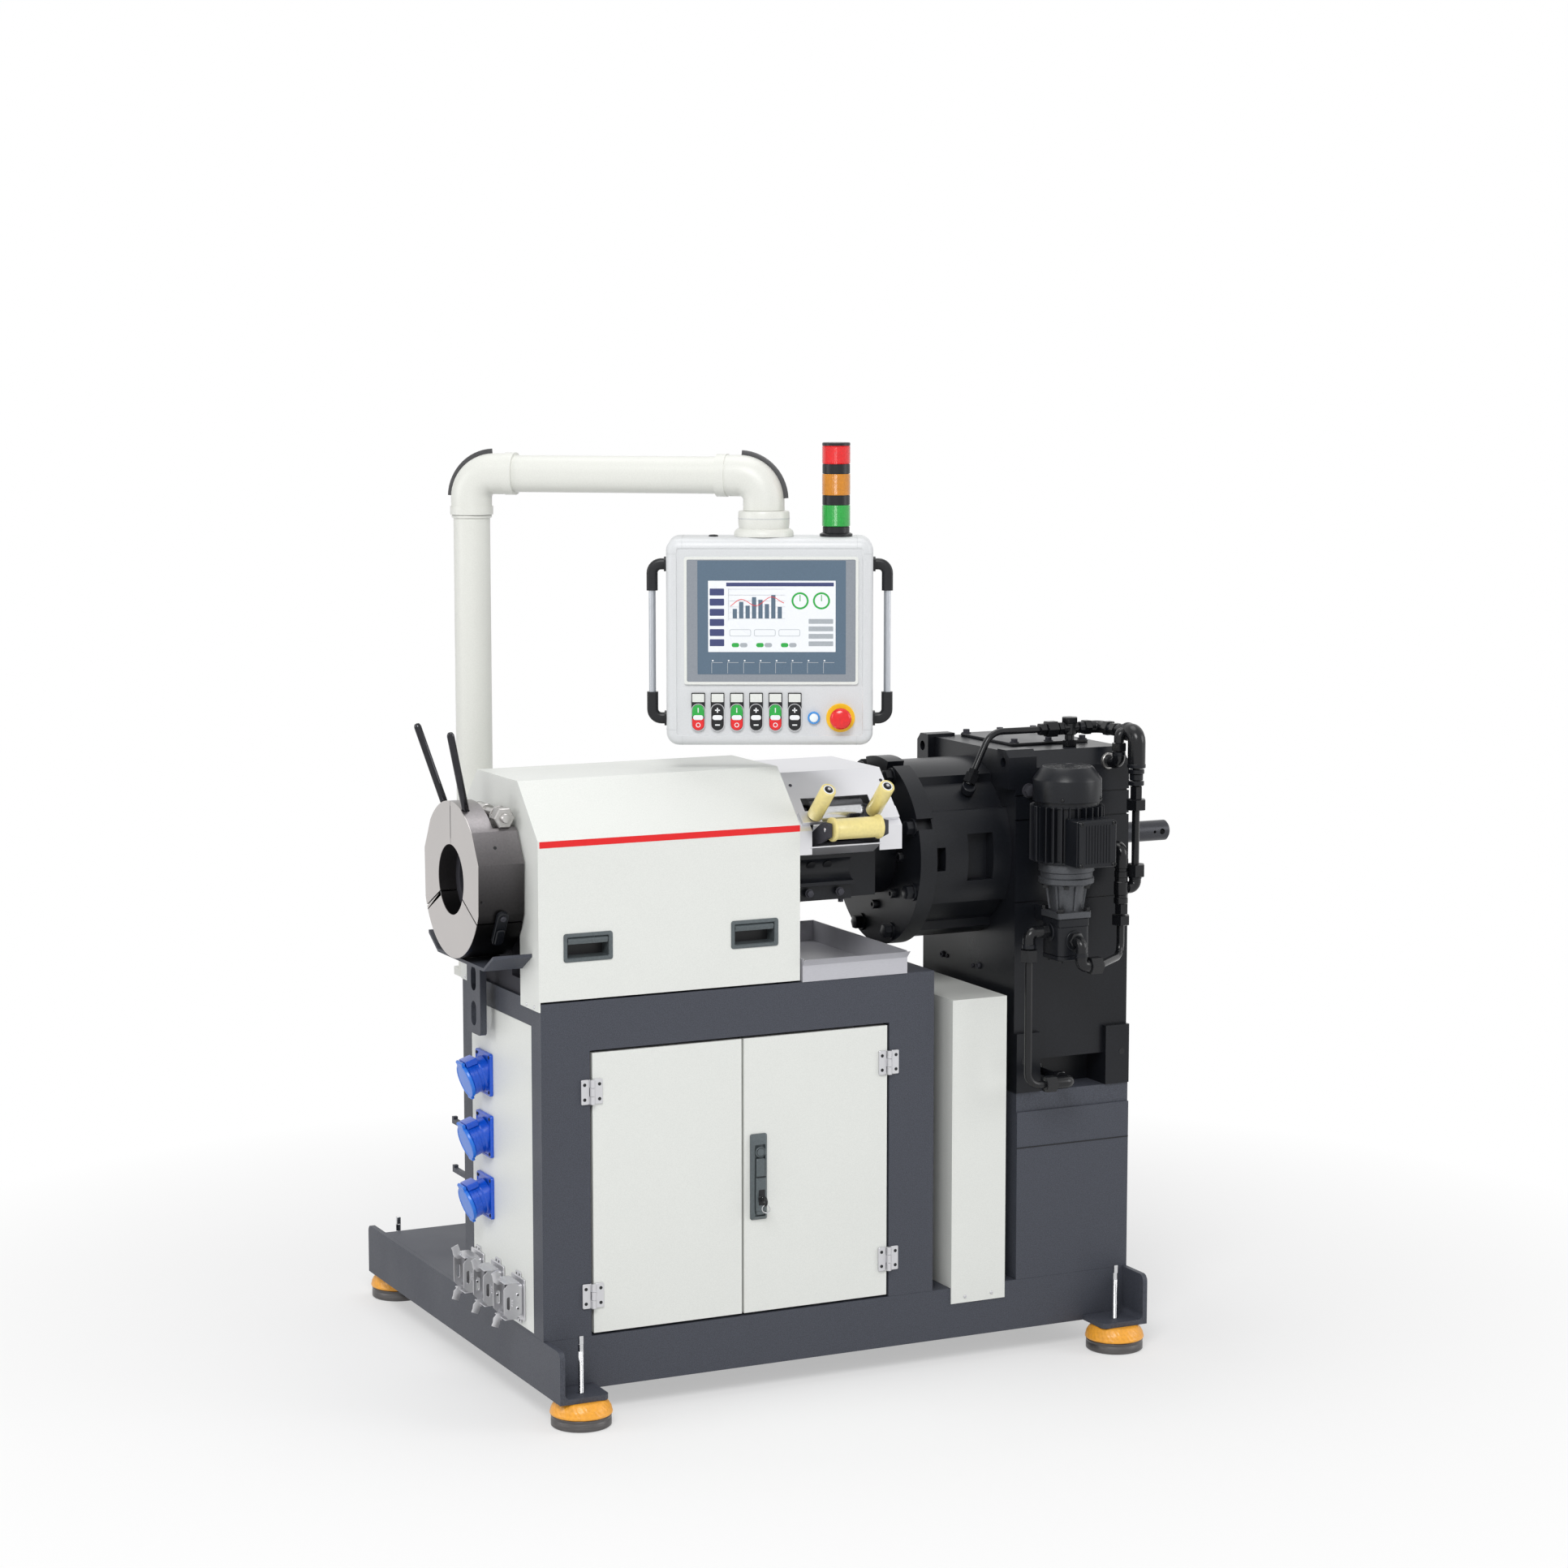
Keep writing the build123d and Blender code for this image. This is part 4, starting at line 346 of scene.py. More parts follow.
# Finishes: roughness, metal, grain per metre, fleck, grain depth, coat
GRAIN = {
    "graphite": (0.5, 0.0, 620, 0.34, 0.3, 0.0),
    "white": (0.42, 0.0, 480, 0.035, 0.1, 0.0),
    "case_white": (0.36, 0.0, 440, 0.03, 0.05, 0.0),
    "warm_white": (0.36, 0.0, 420, 0.03, 0.06, 0.0),
    "casting": (0.32, 0.0, 330, 0.22, 0.16, 0.0),
    "bell": (0.38, 0.5, 300, 0.14, 0.14, 0.0),
    "pipe_black": (0.22, 0.0, 260, 0.18, 0.08, 0.0),
    "stainless": (0.36, 1.0, 34, 0.1, 0.05, 0.0),
    "tray": (0.34, 0.2, 120, 0.05, 0.05, 0.0),
    "dark_steel": (0.34, 0.85, 60, 0.16, 0.06, 0.0),
    "chrome": (0.16, 1.0, 90, 0.08, 0.03, 0.0),
    "zinc": (0.3, 0.4, 180, 0.1, 0.08, 0.0),
    "roller": (0.3, 0.0, 140, 0.05, 0.04, 0.2),
    "orange": (0.36, 0.0, 160, 0.1, 0.06, 0.15),
    "foot": (0.34, 0.9, 40, 0.2, 0.06, 0.0),
    "blue": (0.28, 0.0, 220, 0.08, 0.06, 0.2),
    "black": (0.36, 0.0, 420, 0.2, 0.1, 0.0),
    "red": (0.34, 0.0, 480, 0.04, 0.05, 0.0),
    "yellow": (0.36, 0.0, 300, 0.05, 0.04, 0.0),
    "panel_grey": (0.36, 0.1, 300, 0.05, 0.04, 0.0),
    "panel_blue": (0.3, 0.0, 300, 0.04, 0.02, 0.2),
    "green": (0.26, 0.0, 200, 0.08, 0.04, 0.3),
    "amber": (0.24, 0.0, 200, 0.08, 0.04, 0.3),
    "lens_red": (0.24, 0.0, 200, 0.1, 0.04, 0.3),
    "nickel": (0.3, 0.9, 60, 0.06, 0.05, 0.0),
    "seam": (0.4, 0.0, 400, 0.05, 0.04, 0.0),
    "ink_grey": (0.34, 0.0, 400, 0.05, 0.02, 0.0),
    "ink_white": (0.34, 0.0, 400, 0.03, 0.03, 0.0),
    "ink_navy": (0.3, 0.0, 400, 0.06, 0.02, 0.0),
    "screen": (0.24, 0.0, 500, 0.02, 0.02, 0.2),
    "lamp_blue": (0.24, 0.0, 300, 0.06, 0.03, 0.2),
    "lamp_white": (0.22, 0.0, 300, 0.02, 0.02, 0.3),
    "grip_grey": (0.3, 0.8, 60, 0.06, 0.03, 0.0),
    "strip_grey": (0.34, 0.0, 300, 0.15, 0.06, 0.0),
    "lid_blue_painted_highlight": (0.3, 0.0, 220, 0.07, 0.05, 0.15),
    "lock_grey": (0.3, 0.25, 260, 0.12, 0.06, 0.0),
    "bolt_grey": (0.28, 0.9, 90, 0.1, 0.04, 0.0),
    "shaft": (0.34, 0.6, 120, 0.14, 0.05, 0.0),
    "lever_black": (0.14, 1.0, 60, 0.1, 0.02, 0.0),
}
# Grain drawn out one way on brushed and turned metal
STRETCH = {
    "stainless": (1, 40, 40), "tray": (1, 12, 12), "dark_steel": (1, 18, 18), "chrome": (1, 1, 8),
    "foot": (1, 1, 26), "grip_grey": (12, 12, 1), "shaft": (1, 6, 6),
}
# Finishes that share another's colour
TONE = {"lens_red": "red"}
# Finishes that mirror less than the shader's usual 0.5
SHEEN = {"casting": 0.28, "pipe_black": 0.35, "graphite": 0.35, "black": 0.35}


class Nodes:
    """Node tree of a material or of the surroundings, with short ways to add and join nodes."""

    def __init__(self, owner, shader="Principled BSDF"):
        owner.use_nodes = True
        self.tree = owner.node_tree
        self.shader = self.tree.nodes[shader]

    def add(self, kind, **values):
        """A node with its settings and the values of its inputs; a tuple (node, output) is a link."""
        node = self.tree.nodes.new("ShaderNode" + kind)
        for key, value in values.items():
            if key.startswith("set_"):
                setattr(node, key[4:], value)
                continue
            socket = node.inputs[int(key[1:])] if key[0] == "i" and key[1:].isdigit() else node.inputs[key]
            self.feed(socket, value)
        return node

    def feed(self, socket, value):
        """Links an output to a socket, or sets its value."""
        if isinstance(value, tuple) and len(value) == 2 and hasattr(value[0], "outputs"):
            self.tree.links.new(value[0].outputs[value[1]], socket)
        else:
            socket.default_value = value

    def seen(self):
        """One for rays from the camera, off a mirror or through glass, and nought for all others."""
        path = self.add("LightPath")
        near = self.add(
            "Math", set_operation="MAXIMUM", i0=(path, "Is Camera Ray"), i1=(path, "Is Glossy Ray"))
        return self.add("Math", set_operation="MAXIMUM", i0=(near, 0), i1=(path, "Is Transmission Ray"))


def material(key):
    """Finish from its row: two colours mixed by a fine noise and dulled by a broad one,
    with grain and varied gloss."""
    if key in bpy.data.materials:
        return bpy.data.materials[key]
    rough, metal, scale, fleck, depth, coat = GRAIN[key]
    colour = np.array(getattr(bpy.context.scene.extruder_finishes, TONE.get(key, key)))
    paint = bpy.data.materials.new(key)
    make = Nodes(paint)
    spot = make.add("TexCoord")
    laid = make.add("Mapping", Vector=(spot, "Object"), Scale=STRETCH.get(key, (1, 1, 1)))
    fine = make.add("TexNoise", Vector=(laid, 0), Scale=scale, Detail=4.0, Roughness=0.65)
    broad = make.add("TexNoise", Vector=(spot, "Object"), Scale=5.0, Detail=3.0, Roughness=0.5)
    sharp = make.add("MapRange", i0=(fine, 0), i1=0.34, i2=0.66, i3=0.0, i4=1.0)
    dark = (*np.clip(colour * (1 - fleck), 0, 1), 1.0)
    light = (*np.clip(colour * (1 + fleck), 0, 1), 1.0)
    grain = make.add("Mix", set_data_type="RGBA", i0=(sharp, 0), i6=dark, i7=light)
    dust = make.add("MapRange", i0=(broad, 0), i1=0.35, i2=0.75, i3=0.0, i4=0.10)
    worn = (*np.clip(colour * 0.8 + 0.02, 0, 1), 1.0)
    shade = make.add("Mix", set_data_type="RGBA", i0=(dust, 0), i6=(grain, 2), i7=worn)
    gloss = make.add("MapRange", i0=(broad, 0), i1=0.3, i2=0.7, i3=rough - 0.05, i4=rough + 0.06)
    bump = make.add("Bump", Strength=depth, Distance=0.0006, Height=(fine, 0))
    for name, value in (
        ("Base Color", (shade, 2)), ("Roughness", (gloss, 0)), ("Normal", (bump, 0)), ("Metallic", metal),
        ("Coat Weight", coat), ("Coat Roughness", 0.12), ("Specular IOR Level", SHEEN.get(key, 0.5)),
    ):
        make.feed(make.shader.inputs[name], value)
    return paint


# Which finish each kept solid takes
NODE_FINISH = {
    "graphite": ("base_frame", "cross_angles", "cabinet", "pedestal", "catch_tray", "slotted_bar"),
    "white": ("side_panel", "left_door", "right_door", "barrel_cover", "drive_guard"),
    "case_white": ("panel_housing",),
    "warm_white": ("post", "arm", "panel_coupling"),
    "casting": ("lantern", "gearbox", "drive_motor", "pump_motor", "terminal_box", "lube_pump", "feed_block"),
    "pipe_black": ("lube_pipes", "lube_fittings"),
    "stainless": ("feed_hood",),
    "tray": ("drip_pan",),
    "nickel": ("clamp_front_jaw", "clamp_back_jaw", "clamp_base"),
    "dark_steel": ("barrel_rest", "roller_brackets", "clamp_links", "barrel"),
    "shaft": ("screw",),
    "chrome": ("feed_roll", "swing_bolt", "clamp_handles", "foot_studs"),
    "zinc": ("frame_hinges", "left_door_hinges", "right_door_hinges", "connectors"),
    "roller": ("guide_roller_a", "guide_roller_b", "cross_roller"),
    "orange": ("foot_caps",),
    "foot": ("foot_bases",),
    "blue": ("socket_bodies", "socket_lid_top", "socket_lid_mid", "socket_lid_low"),
    "black": ("lock_dish", "lock_lever", "cover_cups", "push_buttons", "panel_grips", "light_tower"),
    "panel_grey": ("display",),
    "red": ("emergency_stop",),
}


class EXTRUDER_OT_paint(bpy.types.Operator):
    """Gives every kept solid its finish"""
    bl_idname = "extruder.paint"
    bl_label = "Paint the solids"

    def execute(self, context):
        for finish, nodes in NODE_FINISH.items():
            for node in nodes:
                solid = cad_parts[node]
                solid.data.materials.clear()
                solid.data.materials.append(material(finish))
        return {"FINISHED"}


class EXTRUDER_OT_stage(bpy.types.Operator):
    """Pale floor, soft lamps, white surroundings and the camera at the photograph's place"""
    bl_idname = "extruder.stage"
    bl_label = "Studio"

    def execute(self, context):
        scene = context.scene
        scene.view_settings.view_transform = "Standard"
        lens = bpy.data.cameras.new("studio_camera")
        lens.lens, lens.sensor_width = 80.12, 36.0
        camera = bpy.data.objects.new("studio_camera", lens)
        camera.location = (-3.0153, -6.2600, 1.9709)
        camera.rotation_euler = (radians(82.94), 0.0, radians(-25.94))
        scene.collection.objects.link(camera)
        scene.camera = camera
        lamps = (
            ("key", (-2.6, -4.2, 4.6), (0, 0, 0.8), 2.6, 185.0),
            ("fill", (4.6, -3.4, 2.6), (0.2, 0, 0.8), 3.0, 75.0),
            ("left", (-5.0, 0.6, 2.4), (-0.4, 0, 0.8), 2.6, 48.0),
            ("top", (0.2, 0.4, 5.2), (0, 0, 0.8), 3.0, 52.0),
        )
        for name, place, aim, wide, power in lamps:
            glow = bpy.data.lights.new(name, "AREA")
            glow.shape, glow.size, glow.energy = "DISK", wide, power
            lamp = bpy.data.objects.new(name, glow)
            lamp.location = place
            way = np.array(aim) - np.array(place)
            lamp.rotation_euler = (
                float(np.arctan2(np.hypot(way[0], way[1]), -way[2])), 0.0, float(np.arctan2(-way[0], way[1])))
            scene.collection.objects.link(lamp)
        sky = bpy.data.worlds.new("studio_sky")
        scene.world = sky
        make = Nodes(sky, "Background")
        level = make.add("MapRange", i0=(make.seen(), 0), i3=0.36, i4=1.0)
        make.feed(make.shader.inputs["Color"], (1, 1, 1, 1))
        make.feed(make.shader.inputs["Strength"], (level, 0))
        self.floor(scene)
        return {"FINISHED"}

    def floor(self, scene):
        """Flat round floor that keeps the shadow near the machine and fades to white far from it."""
        mesh = bpy.data.meshes.new("studio_floor")
        ring = at_height(circle(14.0, 96), -0.0005)
        mesh.from_pydata(ring.tolist(), [], [list(range(len(ring)))])
        floor = bpy.data.objects.new("studio_floor", mesh)
        scene.collection.objects.link(floor)
        paint = bpy.data.materials.new("studio_floor")
        make = Nodes(paint)
        spot = make.add("TexCoord")
        reach = make.add("VectorMath", set_operation="LENGTH", i0=(spot, "Object"))
        fade = make.add("MapRange", i0=(reach, "Value"), i1=0.9, i2=2.2, i3=0.45, i4=1.0)
        share = make.add("Math", set_operation="MULTIPLY", i0=(make.seen(), 0), i1=(fade, 0))
        glow = make.add("Emission", Color=(1, 1, 1, 1), Strength=1.0)
        mix = make.add("MixShader", i0=(share, 0), i1=(make.shader, 0), i2=(glow, 0))
        make.feed(make.shader.inputs["Base Color"], (0.86, 0.86, 0.86, 1))
        make.feed(make.shader.inputs["Roughness"], 0.85)
        out = make.tree.nodes["Material Output"]
        make.tree.links.new(mix.outputs[0], out.inputs["Surface"])
        mesh.materials.append(paint)


def front(shape, y=0.0):
    """Shape drawn with x along the machine, y up and z out to the front, set on the plane y."""
    return moved(shape, (0, y, 0), -Y, X)


def end(shape):
    """Shape drawn with x to the front, y up and z out of the cabinet's left end."""
    return moved(shape, (0, 0, 0), -X, -Y)


def ring_line(radius, thick, sides=14):
    """Round section of a ring, as a closed profile."""
    return circle(thick, sides, (radius, 0.0))


class EXTRUDER_OT_hinges(bpy.types.Operator):
    """Door hinges: rounded leaves with black screw heads as painted shade of the screw holes, and round
    knuckles, split between frame and doors
    """
    bl_idname = "extruder.hinges"
    bl_label = "Hinges"

    def execute(self, context):
        screw = context.scene.extruder_sizes.hinge_screw / MM / 2
        head = turned([(screw, 4.0), (screw, 4.5), (screw * 0.8, 4.6), (screw * 0.5, 4.4), (0.3, 4.4)], 20)
        leaf_high = 47
        leaves = {"frame": [], "left_door": [], "right_door": []}
        screws = {"frame": [], "left_door": [], "right_door": []}
        for pin, door in ((99.2, "left_door"), (718.3, "right_door")):
            inward = 1 if door == "left_door" else -1
            for low in (203.8, 590.5):
                for body, way in (("frame", -inward), (door, inward)):
                    middle = pin + way * 13.4
                    leaf = box_line(16.2, leaf_high, 2.4, 5, (middle, low + leaf_high / 2))
                    leaves[body].append(front(prism(leaf, 0.3, 4.3, 0.7)))
                    zones = ((0, 15.4), (31.6, leaf_high)) if body == "frame" else ((15.8, 31.2),)
                    for bottom, top in zones:
                        barrel = turned(drum(5.0, low + bottom, low + top, 0.5), 28)
                        leaves[body].append(moved(barrel, (pin, -6, 0)))
                        spot = (pin + way * 2.9, low + (top + bottom) / 2)
                        strap = box_line(5.4, top - bottom, 0.4, 2, spot)
                        leaves[body].append(front(prism(strap, 0.6, 4.3, 0.2)))
                    for up in (9.5, 37.5):
                        screws[body].append(front(moved(head, (middle + way * 1.5, low + up, 0))))
        nodes = {"frame": "frame_hinges", "left_door": "left_door_hinges", "right_door": "right_door_hinges"}
        for body, node in nodes.items():
            put("hinge_leaves_" + body, leaves[body], body, "zinc", "zinc", [node])
            # Screw heads made black: painted shade of the dark screw holes
            put("hinge_screw_shade_" + body, screws[body], body, "zinc", "black")
        return {"FINISHED"}


class EXTRUDER_OT_lock(bpy.types.Operator):
    """Door lock: sloped frame round a channel, fixed boss, tilting lever with its sleeve, key and key ring"""
    bl_idname = "extruder.lock"
    bl_label = "Door lock"

    def execute(self, context):
        across, pivot, key_up = 440.75, 467, 378
        levels = (
            (35, 166, 4, 0.3, 418), (35, 166, 4, 2.6, 418), (25.4, 142, 2.2, 9.0, 412),
            (21.8, 138.6, 1.6, 9.0, 412), (20.9, 138, 1.4, 4.0, 412),
        )
        rings = [at_height(box_line(wide, high, corner, 6, (across, middle)), out)
                 for wide, high, corner, out, middle in levels]
        casing = front(loft(np.stack(rings)))
        put("lock_frame", [casing], "right_door", "black_plastic", "lock_grey", ["lock_dish"], 25)
        bar = front(prism(box_line(18, 108.5, 3, 5, (across, 400.75)), 4.8, 12.6, 1.2))
        put("lock_bar", [bar], "lock_lever", "black_plastic", "lock_grey", ["lock_lever"], 25)
        profile = [
            (10.4, 4.2), (10.4, 11.4), (9.8, 12), (8.6, 12), (8.4, 10), (7.6, 10), (7.5, 12.6), (6.8, 13.4),
            (0.5, 13.6),
        ]
        boss = front(moved(turned(profile, 40), (across, pivot, 0)))
        put("lock_boss", [boss], "right_door", "black_plastic", "lock_grey", (), 25)
        sleeve = front(prism(box_line(20, 66, 2.4, 5, (across, 386)), 5.0, 14.0, 1.4))
        put("lock_sleeve", [sleeve], "lock_lever", "black_plastic", "lock_grey", (), 25)
        # Black plate in the well round the key: painted shade; the thin bar at the sleeve's top end is a dark
        # joint line
        well = [front(prism(box_line(13, 30, 1.4, 4, (442.0, 380)), 13.6, 14.4, 0.2)),
                front(prism(box_line(20.4, 1.2, 0.3, 2, (across, 419.6)), 12.0, 14.3, 0.2))]
        put("lock_well_shade", well, "lock_lever", "black_plastic", "black")
        core = front(moved(turned([(6.2, 13), (6.2, 15.4), (5.4, 16), (0.4, 16)], 30), (across, key_up, 0)))
        blade = front(prism(box_line(2.2, 8, 0.6, 3, (across, key_up)), 15, 21, 0.3))
        bow = moved(turned(ring_line(7.6, 2.4, 10), 28, True), (across, -29.5, key_up - 2), X)
        hoop = moved(turned(ring_line(7.5, 0.9, 8), 28, True), (441.5, -33, 362), (0.5, 0.9, 0))
        put("lock_key", [blade, hoop], "lock_lever", "steel", "chrome")
        put("lock_key_bow", [core, bow], "lock_lever", "black_plastic", "black")
        return {"FINISHED"}


class EXTRUDER_OT_sockets(bpy.types.Operator):
    """Power sockets: bevelled flanges, bodies turned about a tilted axis, and lids on bodies of their own"""
    bl_idname = "extruder.sockets"
    bl_label = "Sockets"

    def execute(self, context):
        tilt = radians(18.0)
        way = np.array((-cos(tilt), 0.0, -sin(tilt)))
        top = np.array((-sin(tilt), 0.0, cos(tilt)))
        flanges, bodies, screws = [], [], []
        profile = [
            (33.5, -2), (33.5, 13), (32, 15.5), (31.2, 16), (31.2, 22), (30.5, 22.4), (30.5, 23.4),
            (31.2, 23.8), (31.2, 30), (31.8, 30.6), (31.8, 37), (31.0, 38), (27, 38), (26, 34), (25, 20),
        ]
        lid = [
            (33.0, 38.7), (33.6, 39.4), (33.6, 44.0), (32.8, 45.2), (29.5, 45.6), (28.6, 44.9), (10, 45.2),
            (0.5, 45.3),
        ]
        screw = turned([(3.6, 0), (3.6, 1.4), (2.6, 2.0), (2.2, 0.6), (0.3, 0.5)], 16)
        for name, height in (("top", 607.0), ("mid", 487.3), ("low", 367.6)):
            origin = np.array((-0.3, 283.0, height))
            line = box_line(78, 82, 5, 6, (-283, height))
            rings = [at_height(inset(line, reach), out) for reach, out in
                     ((0, 0.3), (0, 5.0), (0.9, 6.3), (4.0, 6.3), (4.8, 5.2))]
            flanges.append(end(loft(np.stack(rings))))
            points, faces = moved(turned(profile, 56), origin, way, Y)
            points[:, 0] = np.minimum(points[:, 0], -2.0)
            bodies.append((points, faces))
            bodies.append(moved(block(38, 12, 14, 37.6, 2.5), origin + top * 33, way, Y))
            for side in (-1, 1):
                spots = [origin + np.array((-5.0, side * 32, up)) for up in (-34, 34)]
                screws.append(spread(screw, spots, -X))
            hinge = origin + way * 42.1
            shapes = [
                moved(turned(lid, 60), origin, way, Y),
                moved(block(30, 9, -3.2, 3.2, 2.5), hinge + top * 33.5, way, Y),
                moved(turned(drum(3.6, -15.5, 15.5, 0.5), 20), hinge + top * 36, Y),
                moved(block(20, 7, -2.6, 3.4, 2), hinge - top * 33.6, way, Y),
            ]
            lid_body = "socket_lid_" + name
            # Lids take the lighter blue: painted highlight
            put("socket_cap_" + name, shapes, lid_body, "blue_plastic", "lid_blue_painted_highlight", [lid_body])
        put("socket_flanges", flanges, "frame", "blue_plastic", "blue", ["socket_bodies"])
        put("socket_barrels", bodies, "frame", "blue_plastic", "blue", (), 30)
        put("socket_screws", screws, "frame", "blue_plastic", "black")
        return {"FINISHED"}


class EXTRUDER_OT_plugs(bpy.types.Operator):
    """Plug housings: flange, body and two slotted eight-sided cheeks with bent catch tabs above and below"""
    bl_idname = "extruder.plugs"
    bl_label = "Plug housings"

    def execute(self, context):
        metal, dark = [], []
        cheek = np.array([
            (8, -24), (17, -34), (33, -34), (42, -24), (42, 24), (33, 34), (17, 34), (8, 24),
        ], float)
        share = np.linspace(0, 1, 4, endpoint=False)[None, :, None]
        ahead = np.roll(cheek, -1, 0)
        cheek = (cheek[:, None] * (1 - share) + ahead[:, None] * share).reshape(-1, 2)
        slot = np.roll(box_line(7, 26, 3.2, 8, (33, -4)), 12, 0)
        tab = np.array([(-36, 34.4), (-42, 34.4), (-46, 38), (-47, 46), (-50, 53)])
        flange = (box_line(66, 80, 3, 5) * (-1, 1))[::-1]
        rivet = turned([(3.4, 0), (3.4, 0.8), (2.4, 1.8), (0.3, 2.0)], 16)
        eye = turned([(1.8, 0), (1.8, 2.2), (0.2, 2.3)], 12)
        coil = turned([(2.2, -2), (2.2, 1.2), (1.2, 1.6)], 10)
        hole = turned([(2.2, 0), (2.2, 0.5), (0.3, 0.5)], 14)
        for middle in (119.0, 224.5, 330.0):
            spot = np.array((0, middle, 208.0))
            metal.append(moved(prism(flange, 0.3, 3.6, 0.7), spot, -X, -Y))
            metal.append(moved(block(50, 60, 3.4, 22, 4, 1.5), spot, -X, -Y))
            # Black plate in the housing's face recess: painted shade
            dark.append(moved(block(38, 48, 21.5, 22.6, 3, 0.2), spot, -X, -Y))
            for side in (-1, 1):
                points, faces = holed(cheek, slot, -1.1, 1.1)
                points = np.stack((-points[:, 0], points[:, 2] + side * 27.0, points[:, 1]), 1)
                metal.append((points + spot, faces))
                rivets = [spot + np.array((-15, side * 28.1, up)) for up in (-14, 12)]
                metal.append(spread(rivet, rivets, Y * side))
                # Black eyes in the rivets: painted shade of their holes
                dark.append(spread(eye, rivets, Y * side))
                spring = [spot + np.array((-25, side * 28.4, up)) for up in (-9, -4, 1)]
                metal.append(spread(coil, spring, Y * side))
            for rise in (-1, 1):
                bridge = block(16, 54, -0.9, 0.9, 1.5, 0.3)
                metal.append(moved(bridge, spot + np.array((-18, 0, rise * 34.4))))
                path = np.column_stack((tab[:, 0], np.zeros(len(tab)), rise * tab[:, 1])) + spot
                metal.append(carried(path, box_line(15, 1.8, 0.6, 3), Y))
                tie = block(14, 54, -0.9, 0.9, 1.5, 0.3)
                metal.append(moved(tie, spot + np.array((-33, 0, rise * 34.4))))
                ear = (box_line(26, 18, 2, 4, (0, rise * 40)) * (-1, 1))[::-1]
                metal.append(moved(prism(ear, 0.3, 2.6, 0.4), spot, -X, -Y))
                # Black discs in the ear holes: painted shade
                holes = [spot + np.array((-2.4, side * 7, rise * 44)) for side in (-1, 1)]
                dark.append(spread(hole, holes, -X))
        put("plug_housings", metal, "frame", "zinc", "zinc", ["connectors"], 30)
        put("plug_recess_shade", dark, "frame", "zinc", "black")
        return {"FINISHED"}


class EXTRUDER_OT_cover_trim(bpy.types.Operator):
    """Barrel cover trim: red stripe along the bend, two recessed pulls and the end arch's screws"""
    bl_idname = "extruder.cover_trim"
    bl_label = "Cover trim"

    def execute(self, context):
        wide = context.scene.extruder_sizes.stripe / MM
        stripe = box_line(528.6, wide, 0.3, 2, (264.5, 1085.4 - wide / 2))
        put("cover_stripe", [front(prism(stripe, 0.05, 0.5, 0.1))], "frame", "white_paint", "red")
        frames, wells = [], []
        low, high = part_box("cover_cups")[0].z / MM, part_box("cover_cups")[1].z / MM
        tall = high - low
        levels = (
            (0, 0.05), (0.3, 1.6), (1.6, 2.2), (6.4, 2.2), (7.4, 0.8), (8.0, 0.0), (9.0, -30.0), (7.2, -32.0),
            (6.2, 0.05),
        )

        def pull_line(middle, reach):
            """The pull's outline drawn in by reach, its corners tightening with it."""
            return box_line(98 - 2 * reach, tall - 2 * reach, max(5 - 0.5 * reach, 1.5), 6, middle)

        for left in (46.0, 385.0):
            middle = (left + 49.0, (low + high) / 2)
            rings = [at_height(pull_line(middle, reach), out) for reach, out in levels]
            frames.append(front(loft(np.stack(rings), True)))
            # Black back wall deep in each pull: painted shade of the recess
            wells.append(front(prism(pull_line(middle, 8.6), -32.0, -29.0, 0.3)))
            roof = np.array([(2, 6), (6, 8.5), (9, 13), (9.5, 17), (2, 17.5), (-1, 13)])
            flap = prism(roof + np.array((0, middle[1])), left + 9, left + 89, 0.3)
            frames.append(moved(flap, (0, 0, 0), X, Y))
        put("cover_pulls", frames, "frame", "black_plastic", "lock_grey", ["cover_cups"], 30)
        put("cover_pull_well_shade", wells, "frame", "black_plastic", "black")
        spots = [(-3.1, 61, 776), (-3.1, 23, 777), (-3.1, 341, 776), (-3.1, 379, 777)]
        put("cover_screws", [spread(dome_screw(3.2, 1.6), spots, -X)], "frame", "steel", "zinc")
        return {"FINISHED"}


